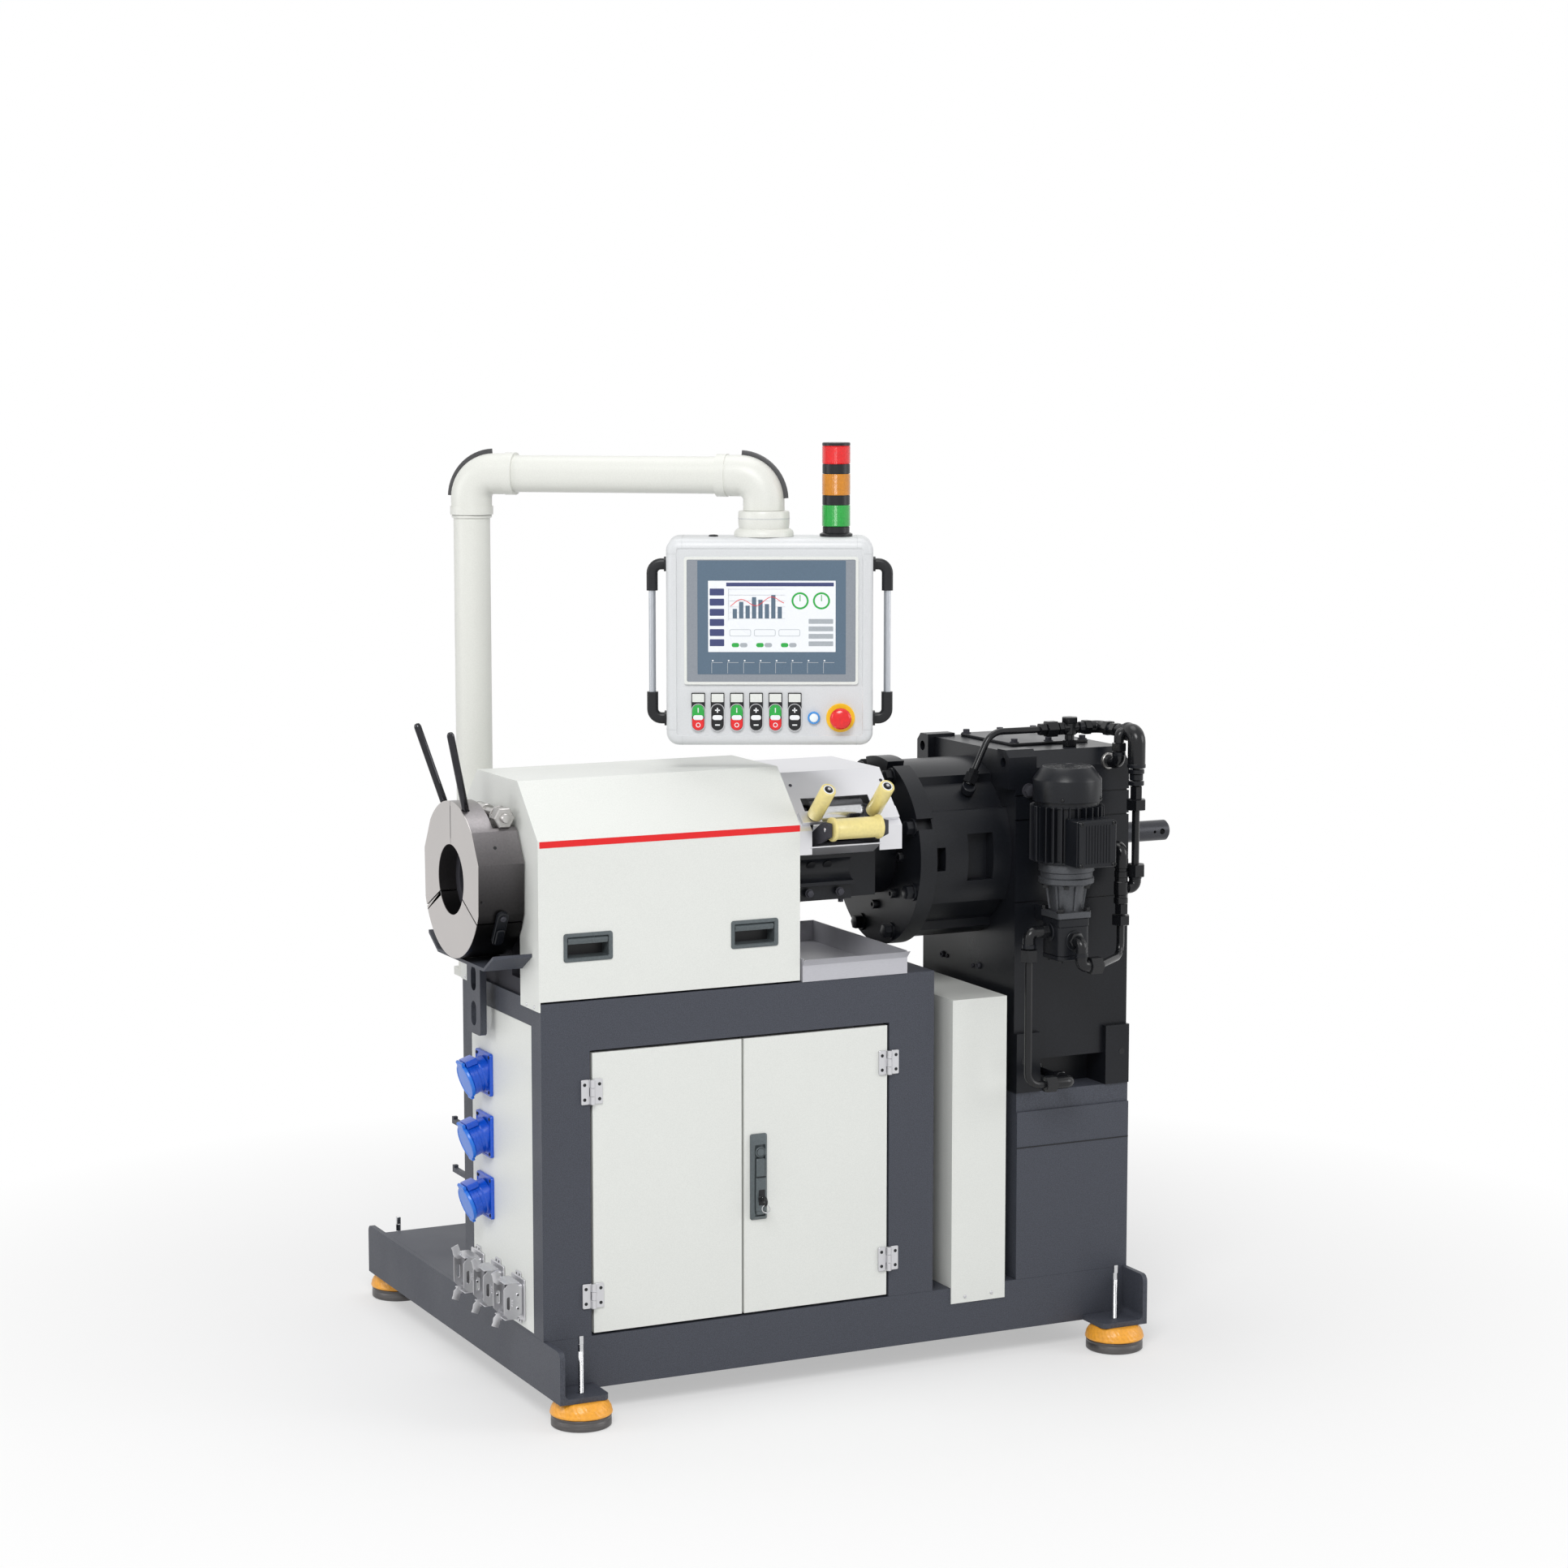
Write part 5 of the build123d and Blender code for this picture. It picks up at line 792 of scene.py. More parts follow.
def clamp_finish():
    """Head clamp: bright turned face in front and satin sides, told apart by their place along the machine.
    On the sides light and shade are painted into the colour: darker towards the bottom, lighter upwards."""
    if "clamp" in bpy.data.materials:
        return bpy.data.materials["clamp"]
    tones = bpy.context.scene.extruder_finishes
    paint = bpy.data.materials.new("clamp")
    make = Nodes(paint)
    spot = make.add("TexCoord")
    parts = make.add("SeparateXYZ", Vector=(spot, "Object"))
    face = make.add(
        "MapRange", i0=(parts, 0), i1=CORNER[0] - 0.0956, i2=CORNER[0] - 0.0952, i3=1.0, i4=0.0)
    fine = make.add("TexNoise", Vector=(spot, "Object"), Scale=240.0, Detail=3.0)
    broad = make.add("TexNoise", Vector=(spot, "Object"), Scale=9.0, Detail=3.0)
    centre = make.add(
        "Mapping", Vector=(spot, "Object"), Location=(0.0, -CORNER[1] - AXIS_Y * MM, -AXIS_Z * MM))
    rings = make.add(
        "TexWave", set_wave_type="RINGS", set_rings_direction="X", Vector=(centre, 0), Scale=160.0,
        Distortion=1.2, Detail=2.0)
    bright, dark = np.array(tones.nickel), np.array(tones.dark_steel)
    nickel = make.add(
        "Mix", set_data_type="RGBA", i0=(broad, 0), i6=(*bright * 0.90, 1), i7=(*bright * 1.08, 1))
    # Painted light and shade: the sides' colour runs from dark below to light above, by height
    height = make.add(
        "MapRange", i0=(parts, 2), i1=AXIS_Z * MM - 0.11, i2=AXIS_Z * MM + 0.14, i3=0.0, i4=1.0)
    steep = make.add("Math", set_operation="POWER", i0=(height, 0), i1=2.4)
    painted_light_by_height = make.add(
        "Mix", set_data_type="RGBA", i0=(steep, 0), i6=(*dark * 0.16, 1), i7=(*dark * 5.0, 1))
    satin = make.add(
        "Mix", set_data_type="RGBA", set_blend_type="MULTIPLY", i0=(fine, 0), i6=(painted_light_by_height, 2),
        i7=(0.7, 0.7, 0.7, 1))
    shade = make.add("Mix", set_data_type="RGBA", i0=(face, 0), i6=(satin, 2), i7=(nickel, 2))
    gloss = make.add("MapRange", i0=(broad, 0), i1=0.3, i2=0.7, i3=0.28, i4=0.40)
    bump = make.add("Bump", Strength=0.06, Distance=0.0004, Height=(rings, 1))
    for name, value in (
        ("Base Color", (shade, 2)), ("Roughness", (gloss, 0)), ("Normal", (bump, 0)), ("Metallic", 0.85),
    ):
        make.feed(make.shader.inputs[name], value)
    return paint


class EXTRUDER_OT_head_clamp(bpy.types.Operator):
    """Head clamp: turned face, swing bolt with thread and nut, lever rods, links, holes and split lines"""
    bl_idname = "extruder.head_clamp"
    bl_label = "Head clamp"

    def execute(self, context):
        for node in ("clamp_front_jaw", "clamp_back_jaw", "clamp_base"):
            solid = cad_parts[node]
            solid.data.materials.clear()
            solid.data.materials.append(clamp_finish())
        bolt = np.array((-30.0, 84.0, 1120.0))
        shank = turned([(10.4, 34), (11.4, 36), (11.4, 100)], 32)
        eye = turned([(14.5, 98), (16.5, 100), (16.5, 140), (14.5, 150), (9, 150.4)], 36)
        parts = [moved(shank, bolt, Y), moved(eye, bolt, Y), moved(thread(8.9, 1.5, 35, 2.0, 24), bolt, Y)]
        parts.append(moved(turned([(5.5, 0), (7.8, 0.4), (8.8, 2.0), (8.8, 6)], 28), bolt, Y))
        nut = turned([(18.5, 9.2), (20.8, 11.2), (20.8, 32.8), (18.5, 34.8)], 6)
        parts.append(moved(nut, bolt, Y, X))
        parts.append(moved(turned(pipe_wall(20, 9.4, 35.2, 39, 0.5), 36, True), bolt, Y))
        put("clamp_bolt", parts, "frame", "steel", "bolt_grey", ["swing_bolt"], 30)
        rods = []
        for side in (-1, 1):
            foot = np.array((-84.0, AXIS_Y + side * 53.0, 1122.0))
            tip = np.array((-127.0, AXIS_Y + side * 88.0, 1277.0))
            way = tip - foot
            long = np.linalg.norm(way)
            rod = [
                (6.6, 0), (6.6, 14), (7.0, 15), (7.0, long - 3), (6.4, long), (4.6, long + 3.4),
                (0.8, long + 4.6),
            ]
            rods.append(moved(turned(rod, 32), foot, way))
        put("clamp_levers", rods, "frame", "steel", "lever_black", ["clamp_handles"])
        self.links()
        # Black hole, dot and slot: painted shade in these openings; the split line is a dark joint
        hole = turned([(3.4, 0), (3.4, 0.35), (0.3, 0.4)], 20)
        dot = turned([(2.2, 0), (2.2, 0.3), (0.3, 0.35)], 16)
        slot = prism(box_line(62, 3.2, 1.2, 3, (108, 0)), 0, 0.5, 0.1)
        split = prism(np.array([(62, -3), (147, -0.8), (147, 1.0), (62, 5)]), 0, 0.5, 0.1)
        face = AXIS - X * 95.9
        marks = [
            moved(hole, AXIS + (-56.0, -123.6, 72.4), (0, -0.866, 0.5)),
            moved(dot, AXIS + (-88.0, -142.3, -25), (0, -0.95, -0.2)),
            moved(slot, face, -X, Z),
            moved(split, face, -X, (0, 0.86, -0.5)),
        ]
        put("clamp_hole_shade_and_split", marks, "frame", "dark_steel", "black")
        return {"FINISHED"}

    def links(self):
        """Side links: flat bars with eyes and pins lying against the ring below its middle."""
        fall = radians(30.0)
        links, pins = [], []
        for side in (-1, 1):
            up = np.array((0, side * sin(fall), cos(fall)))
            out = np.array((0, side * cos(fall), -sin(fall)))
            base = AXIS - X * 51.2 + out * 147.3
            links.append(moved(prism(box_line(22, 74, 9, 8), 0, 9.5, 1.2), base, out, X * side))
            links.append(moved(prism(box_line(16, 34, 5, 6, (0, 16)), 9.0, 13.6, 1.6), base, out, X * side))
            ends = [base + up * 26, base - up * 26]
            pins.append(spread(turned([(5.6, 8), (5.6, 12), (4.6, 13.2), (0.5, 13.4)], 24), ends, out))
        put("clamp_side_links", links, "frame", "dark_steel", "casting", ["clamp_links"], 30)
        put("clamp_link_pins", pins, "frame", "steel", "dark_steel")


# Feed zone: the slant of hood and guide rollers, where the guide rollers stand and the cross roller's line
SLANT = np.array((0.0, -0.7259, 0.6878))
GUIDE_LINE = np.array((0.0, 21.0, 1092.0))
GUIDES = {"a": 566.0, "b": 690.0}
CROSS_LINE = np.array((0.0, -26.0, 1077.0))


class EXTRUDER_OT_feed(bpy.types.Operator):
    """Feed rollers turned on their own bodies, their pins, clips and feet, and the hood's fittings"""
    bl_idname = "extruder.feed"
    bl_label = "Feed zone"

    def execute(self, context):
        sleeve = [
            (12.4, 12.3), (14.2, 12.8), (15, 14.4), (15, 91.0), (14.0, 93.0), (11.2, 93.6), (11.0, 92.2),
            (6.0, 92.0), (5.6, 90), (5.6, 14),
        ]
        hub = pipe_wall(10.6, 8.2, 92.3, 93.4, 0.2)
        bush = [(8.2, 92.3), (8.2, 93.0), (5.8, 93.0), (5.8, 92.3)]
        for name, along in GUIDES.items():
            body = "guide_roller_" + name
            for piece, profile, sides, slot, finish, replaces in (
                ("roller_sleeve_", sleeve, 48, "roller_plastic", "roller", [body]),
                ("roller_face_", hub, 40, "roller_plastic", "ink_white", ()),
                ("roller_bush_", bush, 40, "black_plastic", "black", ()),
            ):
                shape = moved(turned(profile, sides, True), GUIDE_LINE + X * along, SLANT)
                put(piece + name, [shape], body, slot, finish, replaces)
        bases = [GUIDE_LINE + X * along for along in GUIDES.values()]
        pin = turned([(4.9, 84), (4.9, 95.0), (4.0, 96.2), (0.5, 96.6)], 24)
        stop = turned([(4.4, 0), (4.4, 1.2), (3.0, 2.2), (0.4, 2.4)], 20)
        clips = [moved(pin, base, SLANT) for base in bases]
        clips += [moved(stop, CROSS_LINE + X * 568.8, -X), moved(stop, CROSS_LINE + X * 697.2, X)]
        put("roller_pin_ends", clips, "frame", "steel", "chrome")
        covers = []
        for low, high in ((538.0, 579.0), (700.0, 744.0)):
            cover = prism(box_line(high - low + 0.8, 26.8, 1.5, 3), 0.1, 8.8, 0.4)
            covers.append(moved(cover, GUIDE_LINE + X * (low + high) / 2, SLANT, X))
        put("roller_clip_covers", covers, "frame", "stainless", "stainless")
        feet = [moved(turned(drum(10.5, 8.6, 12.0, 0.5), 32), base, SLANT) for base in bases]
        put("roller_feet", feet, "frame", "black_plastic", "black")
        long = 104.0
        spool = [
            (5.4, 0), (20, 0), (22.6, 0.6), (23, 1.6), (23, 6.0), (22.2, 7.4), (20.6, 8.4), (20, 10),
            (20, long - 10), (20.6, long - 8.4), (22.2, long - 7.4), (23, long - 6), (23, long - 1.6),
            (22.6, long - 0.6), (20, long), (5.4, long),
        ]
        roller = moved(turned(spool, 56, True), CROSS_LINE + X * 581.0, X)
        put("roller_cross", [roller], "cross_roller", "roller_plastic", "roller", ["cross_roller"])
        self.hood()
        return {"FINISHED"}

    def hood(self):
        """Hood: a sloping lip under the opening and screws on the slanted sheet.
        Feed block: its bolts, and black discs in its ports as painted shade."""
        lip = np.array([
            (1.2, 1042.0), (1.2, 1039.6), (36.0, 1020.4), (37.0, 1022.0), (5.6, 1039.8), (5.6, 1042.0),
        ])
        edge = moved(prism(lip, 553, 703, 0.2), (0, 0, 0), X, Y)
        put("hood_lip", [edge], "frame", "stainless", "stainless")
        screws = [(546, 77, 1151.2), (546, 26, 1097.6), (740, 77, 1151.2)]
        put("hood_screws", [spread(dome_screw(3.4, 1.8), screws, SLANT)], "frame", "steel", "dark_steel")
        block_bolts = [spread(hex_bolt(12, 8), [(570, 44, 946), (635, 44, 946)], -Y)]
        block_bolts.append(spread(hex_bolt(10, 7), [(552, 61, 929.7), (646, 61, 929.7)], -Z))
        put("feed_block_bolts", block_bolts, "frame", "steel", "dark_steel")
        # Black discs in the ports: painted shade
        moons = [moved(turned([(9, 0), (9, 1.0), (0.4, 1.1)], 24), (along, 60.6, 997), (0, -0.86, -0.5))
                 for along in (582, 617)]
        put("feed_block_port_shade", moons, "frame", "dark_steel", "black")


def round_axis(along, radius, angle):
    """Spots on a circle round the screw's line, at one place along it."""
    across, height = AXIS_Y + radius * np.cos(angle), AXIS_Z + radius * np.sin(angle)
    return np.stack((np.full(len(angle), along), across, height), 1)


class EXTRUDER_OT_lantern_bolts(bpy.types.Operator):
    """Lantern: hexagon bolts round its flange, screws round its hub and the hose's port"""
    bl_idname = "extruder.lantern_bolts"
    bl_label = "Lantern bolts"

    def execute(self, context):
        across = context.scene.extruder_sizes.flange_bolt / MM
        face = 796.0
        turn = 45.0 * np.arange(8)
        spots = round_axis(face, 165, np.radians(22.5 + turn))
        put("lantern_flange_bolts", [spread(hex_bolt(across, 18), spots, -X)], "frame", "steel", "casting")
        ring = round_axis(face, 108, np.radians(turn))
        put("lantern_hub_screws", [spread(cap_screw(9, 10), ring, -X)], "frame", "steel", "casting")
        boss = turned([(14, -6), (14, 7), (12.6, 8.4), (9, 8.4)], 32)
        port = moved(boss, AXIS + (936.0, -118.5, 127.0), (0, -0.68, 0.73))
        put("lantern_port", [port], "frame", "dark_steel", "casting")
        return {"FINISHED"}


# Operator panel: local x runs along its face, y up and z out of the face
SWIVEL = np.array((496.0, 88.0, 0.0))
PANEL_YAW = radians(26.0)
PANEL_SIDE = np.array((cos(PANEL_YAW), -sin(PANEL_YAW), 0.0))
PANEL_OUT = np.array((-sin(PANEL_YAW), -cos(PANEL_YAW), 0.0))
PANEL_MID = (11.0, 1431.0)
PANEL_WIDE, PANEL_HIGH, PANEL_HALF = 388.0, 390.0, 65.0
# Top of the panel, where joint and tower stand, and how far its face is sunk
PANEL_TOP, PANEL_SUNK = 1626.3, -1.8


def on_panel(shape, out=PANEL_HALF):
    """Shape drawn in the panel's own axes, set in the machine."""
    return moved(shape, SWIVEL + PANEL_OUT * out, PANEL_OUT, PANEL_SIDE)


def plate(left, right, low, high, out_low, out_high, corner=1.0, edge=0.2):
    """Rounded flat plate between two heights in front of the panel's face."""
    line = box_line(right - left, high - low, corner, 4, ((left + right) / 2, (low + high) / 2))
    return on_panel(prism(line, out_low, out_high, edge))


def panel_ring(reach, out, corner):
    """The panel's outline drawn in by reach, at a distance in front of its middle."""
    line = box_line(PANEL_WIDE - 2 * reach, PANEL_HIGH - 2 * reach, corner, 9, PANEL_MID)
    return at_height(line, out)


class EXTRUDER_OT_panel_case(bpy.types.Operator):
    """Panel case: rounded rectangle carried from back to front, edges as quarter circles, with a sunk face"""
    bl_idname = "extruder.panel_case"
    bl_label = "Panel case"

    def execute(self, context):
        turn = np.linspace(0, pi / 2, 6)
        back, brim, corner = 10, 17, 24

        def edge(reach, out):
            """The outline drawn in by reach, its corners tightening with it."""
            return panel_ring(reach, out, corner - reach)

        rings = [edge(back * (1 - sin(a)), -PANEL_HALF + back * (1 - cos(a))) for a in turn]
        rings += [edge(brim * (1 - cos(a)), PANEL_HALF - brim + brim * sin(a)) for a in turn]
        rings += [panel_ring(19.0, PANEL_HALF, 5.0), panel_ring(20.5, PANEL_HALF + PANEL_SUNK, 4.0)]
        case = on_panel(loft(np.stack(rings)), 0.0)
        put("panel_case", [case], "panel", "white_paint", "case_white", ["panel_housing"], 40)
        lines = []
        bow = [(brim * (1 - cos(a)), 48 + brim * sin(a) + 0.15) for a in turn[::-1]]
        over = np.array([(19.0, 65.15)] + bow + [(-0.15, -50)])
        square = box_line(0.9, 0.5, 0.1, 2)
        for side in (-1, 1):
            for rise in (-1, 1):
                across = np.stack((
                    np.full(len(over), PANEL_MID[0] + side * (PANEL_WIDE / 2 - 30)),
                    PANEL_MID[1] + rise * (PANEL_HIGH / 2 - over[:, 0]), over[:, 1]), 1)
                lines.append(on_panel(carried(across, square, X), 0.0))
                down = np.stack((
                    PANEL_MID[0] + side * (PANEL_WIDE / 2 - over[:, 0]),
                    np.full(len(over), PANEL_MID[1] + rise * (PANEL_HIGH / 2 - 30)), over[:, 1]), 1)
                lines.append(on_panel(carried(down, square, Y), 0.0))
        put("panel_case_joints", lines, "panel", "white_paint", "seam")
        plug = turned([(9, 0), (9, 2.0), (7, 3.2), (3, 3.6)], 24)
        spot = SWIVEL + PANEL_SIDE * -95 + PANEL_OUT * 5 + Z * (PANEL_MID[1] + PANEL_HIGH / 2)
        put("panel_plug", [moved(plug, spot)], "panel", "black_plastic", "black")
        return {"FINISHED"}


def show(name, shapes, finish, replaces=()):
    """Shapes as one piece of the panel's display."""
    put(name, shapes, "panel", "display_front", finish, replaces)


class EXTRUDER_OT_display(bpy.types.Operator):
    """Display: bevelled frame, band and screen with plain charts, bars and switches as thin plates"""
    bl_idname = "extruder.display"
    bl_label = "Display"

    def execute(self, context):
        line = context.scene.extruder_sizes.panel_line / MM
        middle = (14, 1471.5)
        rim = holed(box_line(326, 239, 5, 5, middle), box_line(316, 229, 3, 5, middle), PANEL_SUNK, 3.4)
        show("display_rim", [on_panel(rim)], "white")
        ground = plate(-144, 172, 1357, 1586, PANEL_SUNK, 2.6, 3)
        show("display_frame", [ground], "panel_grey", ["display"])
        band = plate(-124, 153.5, 1371, 1584, 2.4, 3.0, 1)
        show("display_band", [band], "panel_blue")
        glass = plate(-104, 134.5, 1413, 1546.5, 2.8, 3.4, 0.8)
        show("display_screen", [glass], "screen")
        keys, marks = [], []
        for left in -98.0 + 29.9 * np.arange(8):
            keys += [plate(left, left + 21, 1392.6, 1393.6, 2.8, 3.2, 0.3, 0.1),
                     plate(left, left + line, 1373, 1392.6, 2.8, 3.2, 0.3, 0.1)]
            marks.append(plate(left + 1, left + 4, 1395.5, 1398, 2.8, 3.2, 0.4, 0.1))
        show("display_key_lines", keys, "ink_grey")
        show("display_key_marks", marks, "ink_white")
        self.screen()
        return {"FINISHED"}

    def screen(self):
        """Plain graphics: a menu down the left side, bars, a curve, two dials and a row of switches."""
        low, high = 3.2, 3.6
        switches = (-60, -14, 32)
        menu = [plate(-101, -74, base, base + 13, low, high, 1.5, 0.1) for base in 1424 + 19.0 * np.arange(6)]
        menu.append(plate(-70, 131, 1536, 1543, low, high, 0.6, 0.1))
        show("screen_menu", menu, "ink_navy")
        columns = [plate(-58 + 12 * k, -50 + 12 * k, 1476, 1476 + tall, low, high, 0.5, 0.1)
                   for k, tall in enumerate((18, 31, 24, 40, 35, 27, 44, 22))]
        show("screen_bars", columns, "panel_blue")
        grid = [plate(-64, 40, base, base + 0.6, low, high - 0.2, 0.2, 0.05)
                for base in 1475.4 + 11.0 * np.arange(6)]
        grid += [plate(-66, -65.2, 1472, 1532, low, high - 0.2, 0.2, 0.05)]
        for left in (-64, -18, 28):
            middle = (left + 20, 1449)
            field = holed(box_line(40, 13, 3, 4, middle), box_line(38.4, 11.4, 2.4, 4, middle), low, high)
            grid.append(on_panel(field))
        show("screen_grid", grid, "ink_grey")
        across = np.linspace(-62, 38, 40)
        wave = np.stack((across, 1508 + 7 * np.sin(across / 9) + 0.08 * across, np.full(40, high)), 1)
        curve = carried(wave, box_line(1.1, 0.4, 0.1, 2), Z)
        show("screen_curve", [on_panel(curve)], "red")
        dials = []
        for middle in ((68, 1509), (108, 1509)):
            dials.append(on_panel(holed(circle(16, 40, middle), circle(12.5, 40, middle), low, high)))
            hand = box_line(1.6, 12, 0.5, 3, (middle[0], middle[1] + 5))
            dials.append(on_panel(prism(hand, low, high, 0.1)))
        dials += [plate(left, left + 14, 1422, 1430, low, high, 3.6, 0.1) for left in switches]
        show("screen_dials", dials, "green")
        rests = [plate(left + 15.5, left + 29.5, 1422, 1430, low, high, 3.6, 0.1) for left in switches]
        rests += [plate(84, 130, base, base + 9, low, high, 1, 0.1) for base in (1424, 1438, 1452, 1466)]
        show("screen_fields", rests, "ink_grey")


def pill(wide, high, middle, top):
    """Half of an upright pill: a half circle closed by a straight edge, above or below its middle."""
    angle = np.linspace(0, pi, 14)
    radius = wide / 2
    arc = np.stack((radius * np.cos(angle), high / 2 - radius + radius * np.sin(angle)), 1)
    line = np.concatenate((arc, [(-radius, 0.0), (radius, 0.0)]))
    if not top:
        line = -line
    return line + np.array(middle)


class EXTRUDER_OT_buttons(bpy.types.Operator):
    """Twin push buttons with label holders, a lit push button and the stop switch on its plate"""
    bl_idname = "extruder.buttons"
    bl_label = "Push buttons"

    def execute(self, context):
        spots = -123.0 + 36.2 * np.arange(6)
        holders = [plate(u - 12.8, u + 12.8, 1296, 1336, PANEL_SUNK, 1.2, 1.5) for u in spots]
        put("button_holders", holders, "panel", "button_plastic", "black", ["push_buttons"])
        labels = [plate(u - 11.2, u + 11.2, 1318.5, 1334, 0.8, 1.8, 0.8) for u in spots]
        put("button_labels", labels, "panel", "button_plastic", "white")
        rims = []
        for u in spots:
            outer, inner = box_line(26, 52, 12.9, 9, (u, 1290)), box_line(23.4, 49.4, 11.6, 9, (u, 1290))
            rims.append(on_panel(holed(outer, inner, PANEL_SUNK, 4.6)))
        put("button_rims", rims, "panel", "button_plastic", "chrome")
        wells = [plate(u - 12.2, u + 12.2, 1265, 1315, PANEL_SUNK, 2.4, 12.0) for u in spots]
        put("button_wells", wells, "panel", "button_plastic", "black")
        tops = {"green": [], "lens_red": [], "black": []}
        for row, u in enumerate(spots):
            upper = prism(pill(22.4, 44, (u, 1292.2), True), 2.0, 8.5, 1.4)
            lower = prism(pill(22.4, 44, (u, 1287.8), False), 2.0, 7.4, 1.4)
            tops["black" if row % 2 else "green"].append(on_panel(upper))
            tops["black" if row % 2 else "lens_red"].append(on_panel(lower))
        for finish, shapes in tops.items():
            put("button_caps_" + finish, shapes, "panel", "button_plastic", finish)
        lenses = [plate(u - 9.6, u + 9.6, 1285.4, 1294.6, 2.0, 9.4, 4.4, 0.9) for u in spots]
        put("button_lenses", lenses, "panel", "button_plastic", "ink_white")
        marks = []
        for row, u in enumerate(spots):
            if row % 2:
                marks += [plate(u - 4.6, u + 4.6, 1302.7, 1305.1, 8.3, 8.8, 0.4, 0.1),
                          plate(u - 1.2, u + 1.2, 1299.3, 1308.5, 8.3, 8.8, 0.4, 0.1),
                          plate(u - 4.6, u + 4.6, 1274.8, 1277.2, 7.2, 7.7, 0.4, 0.1)]
            else:
                marks += [plate(u - 0.9, u + 0.9, 1299.3, 1308.5, 8.3, 8.8, 0.4, 0.1),
                          on_panel(holed(circle(4.4, 24, (u, 1276)), circle(3.1, 24, (u, 1276)), 7.2, 7.7))]
        put("button_marks", marks, "panel", "button_plastic", "ink_white")
        lamp = (94.0, 1289.0, 0.0)
        rim = [(8.4, PANEL_SUNK), (11.6, PANEL_SUNK), (11.6, 4.0), (10.4, 5.4), (8.8, 5.4), (8.4, 4.0)]
        ring = turned(rim, 40, True)
        put("lamp_ring", [on_panel(moved(ring, lamp))], "panel", "button_plastic", "lamp_blue")
        lens = turned([(8.5, PANEL_SUNK), (8.5, 4.6), (7.6, 6.2), (5, 7.2), (1, 7.6)], 40)
        put("lamp_lens", [on_panel(moved(lens, lamp))], "panel", "button_plastic", "lamp_white")
        self.stop_switch()
        return {"FINISHED"}

    def stop_switch(self):
        """Yellow plate, black collar and the red mushroom head, all turned profiles."""
        spot = (144.0, 1289.0, 0.0)
        disc = turned([(26.5, PANEL_SUNK), (27, 0.5), (27, 2.4), (26.2, 3.0), (13, 3.0)], 64)
        put("stop_plate", [on_panel(moved(disc, spot))], "panel", "stop_red", "yellow", ["emergency_stop"])
        collar = turned([(14.5, 2.8), (14.5, 6), (13.6, 7), (13, 15)], 48)
        put("stop_collar", [on_panel(moved(collar, spot))], "panel", "stop_red", "black")
        angle = np.linspace(0.0, 0.5 * pi, 9)[:-1]
        head = [(12.5, 12.5), (15.5, 13.0), (19.4, 16.5), (20.2, 19.5), (20.0, 22.5)]
        head += [(18.4 * cos(a), 24.0 + 5.6 * sin(a)) for a in angle] + [(0.8, 29.7)]
        put("stop_head", [on_panel(moved(turned(head, 64), spot))], "panel", "stop_red", "lens_red")


class EXTRUDER_OT_grips(bpy.types.Operator):
    """Side grips: black elbows carried round a corner, grey tubes between them"""
    bl_idname = "extruder.grips"
    bl_label = "Side grips"

    def execute(self, context):
        low, high = 1282, 1574
        elbows, tubes = [], []
        for side in (-1, 1):
            edge, reach = PANEL_MID[0] + side * 194.3, PANEL_MID[0] + side * 222
            for height, way in ((high, -1), (low, 1)):
                route = bent([(edge, height, 0), (reach, height, 0), (reach, height + way * 50, 0)], 17, 9)
                elbows.append(on_panel(carried(route, box_line(21, 20, 6), Z), 0.0))
                foot = [(edge, height, 0), (edge + side * 5, height, 0)]
                elbows.append(on_panel(carried(foot, box_line(27, 30, 5), Z), 0.0))
            tubes.append(on_panel(tube([(reach, low + 30, 0), (reach, high - 30, 0)], 6.5, 24), 0.0))
        put("grip_elbows", elbows, "panel", "black_plastic", "black", ["panel_grips"])
        put("grip_tubes", tubes, "panel", "steel", "grip_grey")
        return {"FINISHED"}


class EXTRUDER_OT_tower(bpy.types.Operator):
    """Light tower: black stack and three ribbed lenses, turned with a ripple round and up each lens"""
    bl_idname = "extruder.tower"
    bl_label = "Light tower"

    def execute(self, context):
        foot = SWIVEL + PANEL_SIDE * 136.0 + Z * PANEL_TOP
        pitch = 58.5
        stack = [(30, 0), (31, 1), (31, 4.4), (28, 6), (25.4, 7), (25.4, 17.6)]
        for base in 18.7 + pitch * np.arange(3):
            stack += [(23.5, base - 0.4), (23.5, base + 40.4), (26.0, base + 40.6), (26.0, base + 57.9)]
        stack = stack[:-3] + [(23.5, 169.8), (26.4, 170.0), (26.4, 174.6), (25, 175.7)]
        tower = moved(turned(stack, 64), foot)
        put("tower_stack", [tower], "panel", "tower_plastic", "black", ["light_tower"], 30)

        def ripple(angle, height):
            """Fine upright ribs: the radius swells by a cosine of 32 crests."""
            return 0.22 * np.cos(32 * angle)

        for base, name in zip(18.9 + pitch * np.arange(3), ("green", "amber", "lens_red")):
            high = 34.0 if name == "lens_red" else 39.6
            height = np.linspace(0, high, 45)
            radius = 26.4 - 0.35 * (np.arange(45) % 2) - 0.8 * (np.abs(height - high / 2) > high / 2 - 0.8)
            lens = turned(np.stack((radius, base + height), 1), 96, wave=ripple)
            put("tower_lens_" + name, [moved(lens, foot)], "panel", "tower_plastic", name)
        return {"FINISHED"}


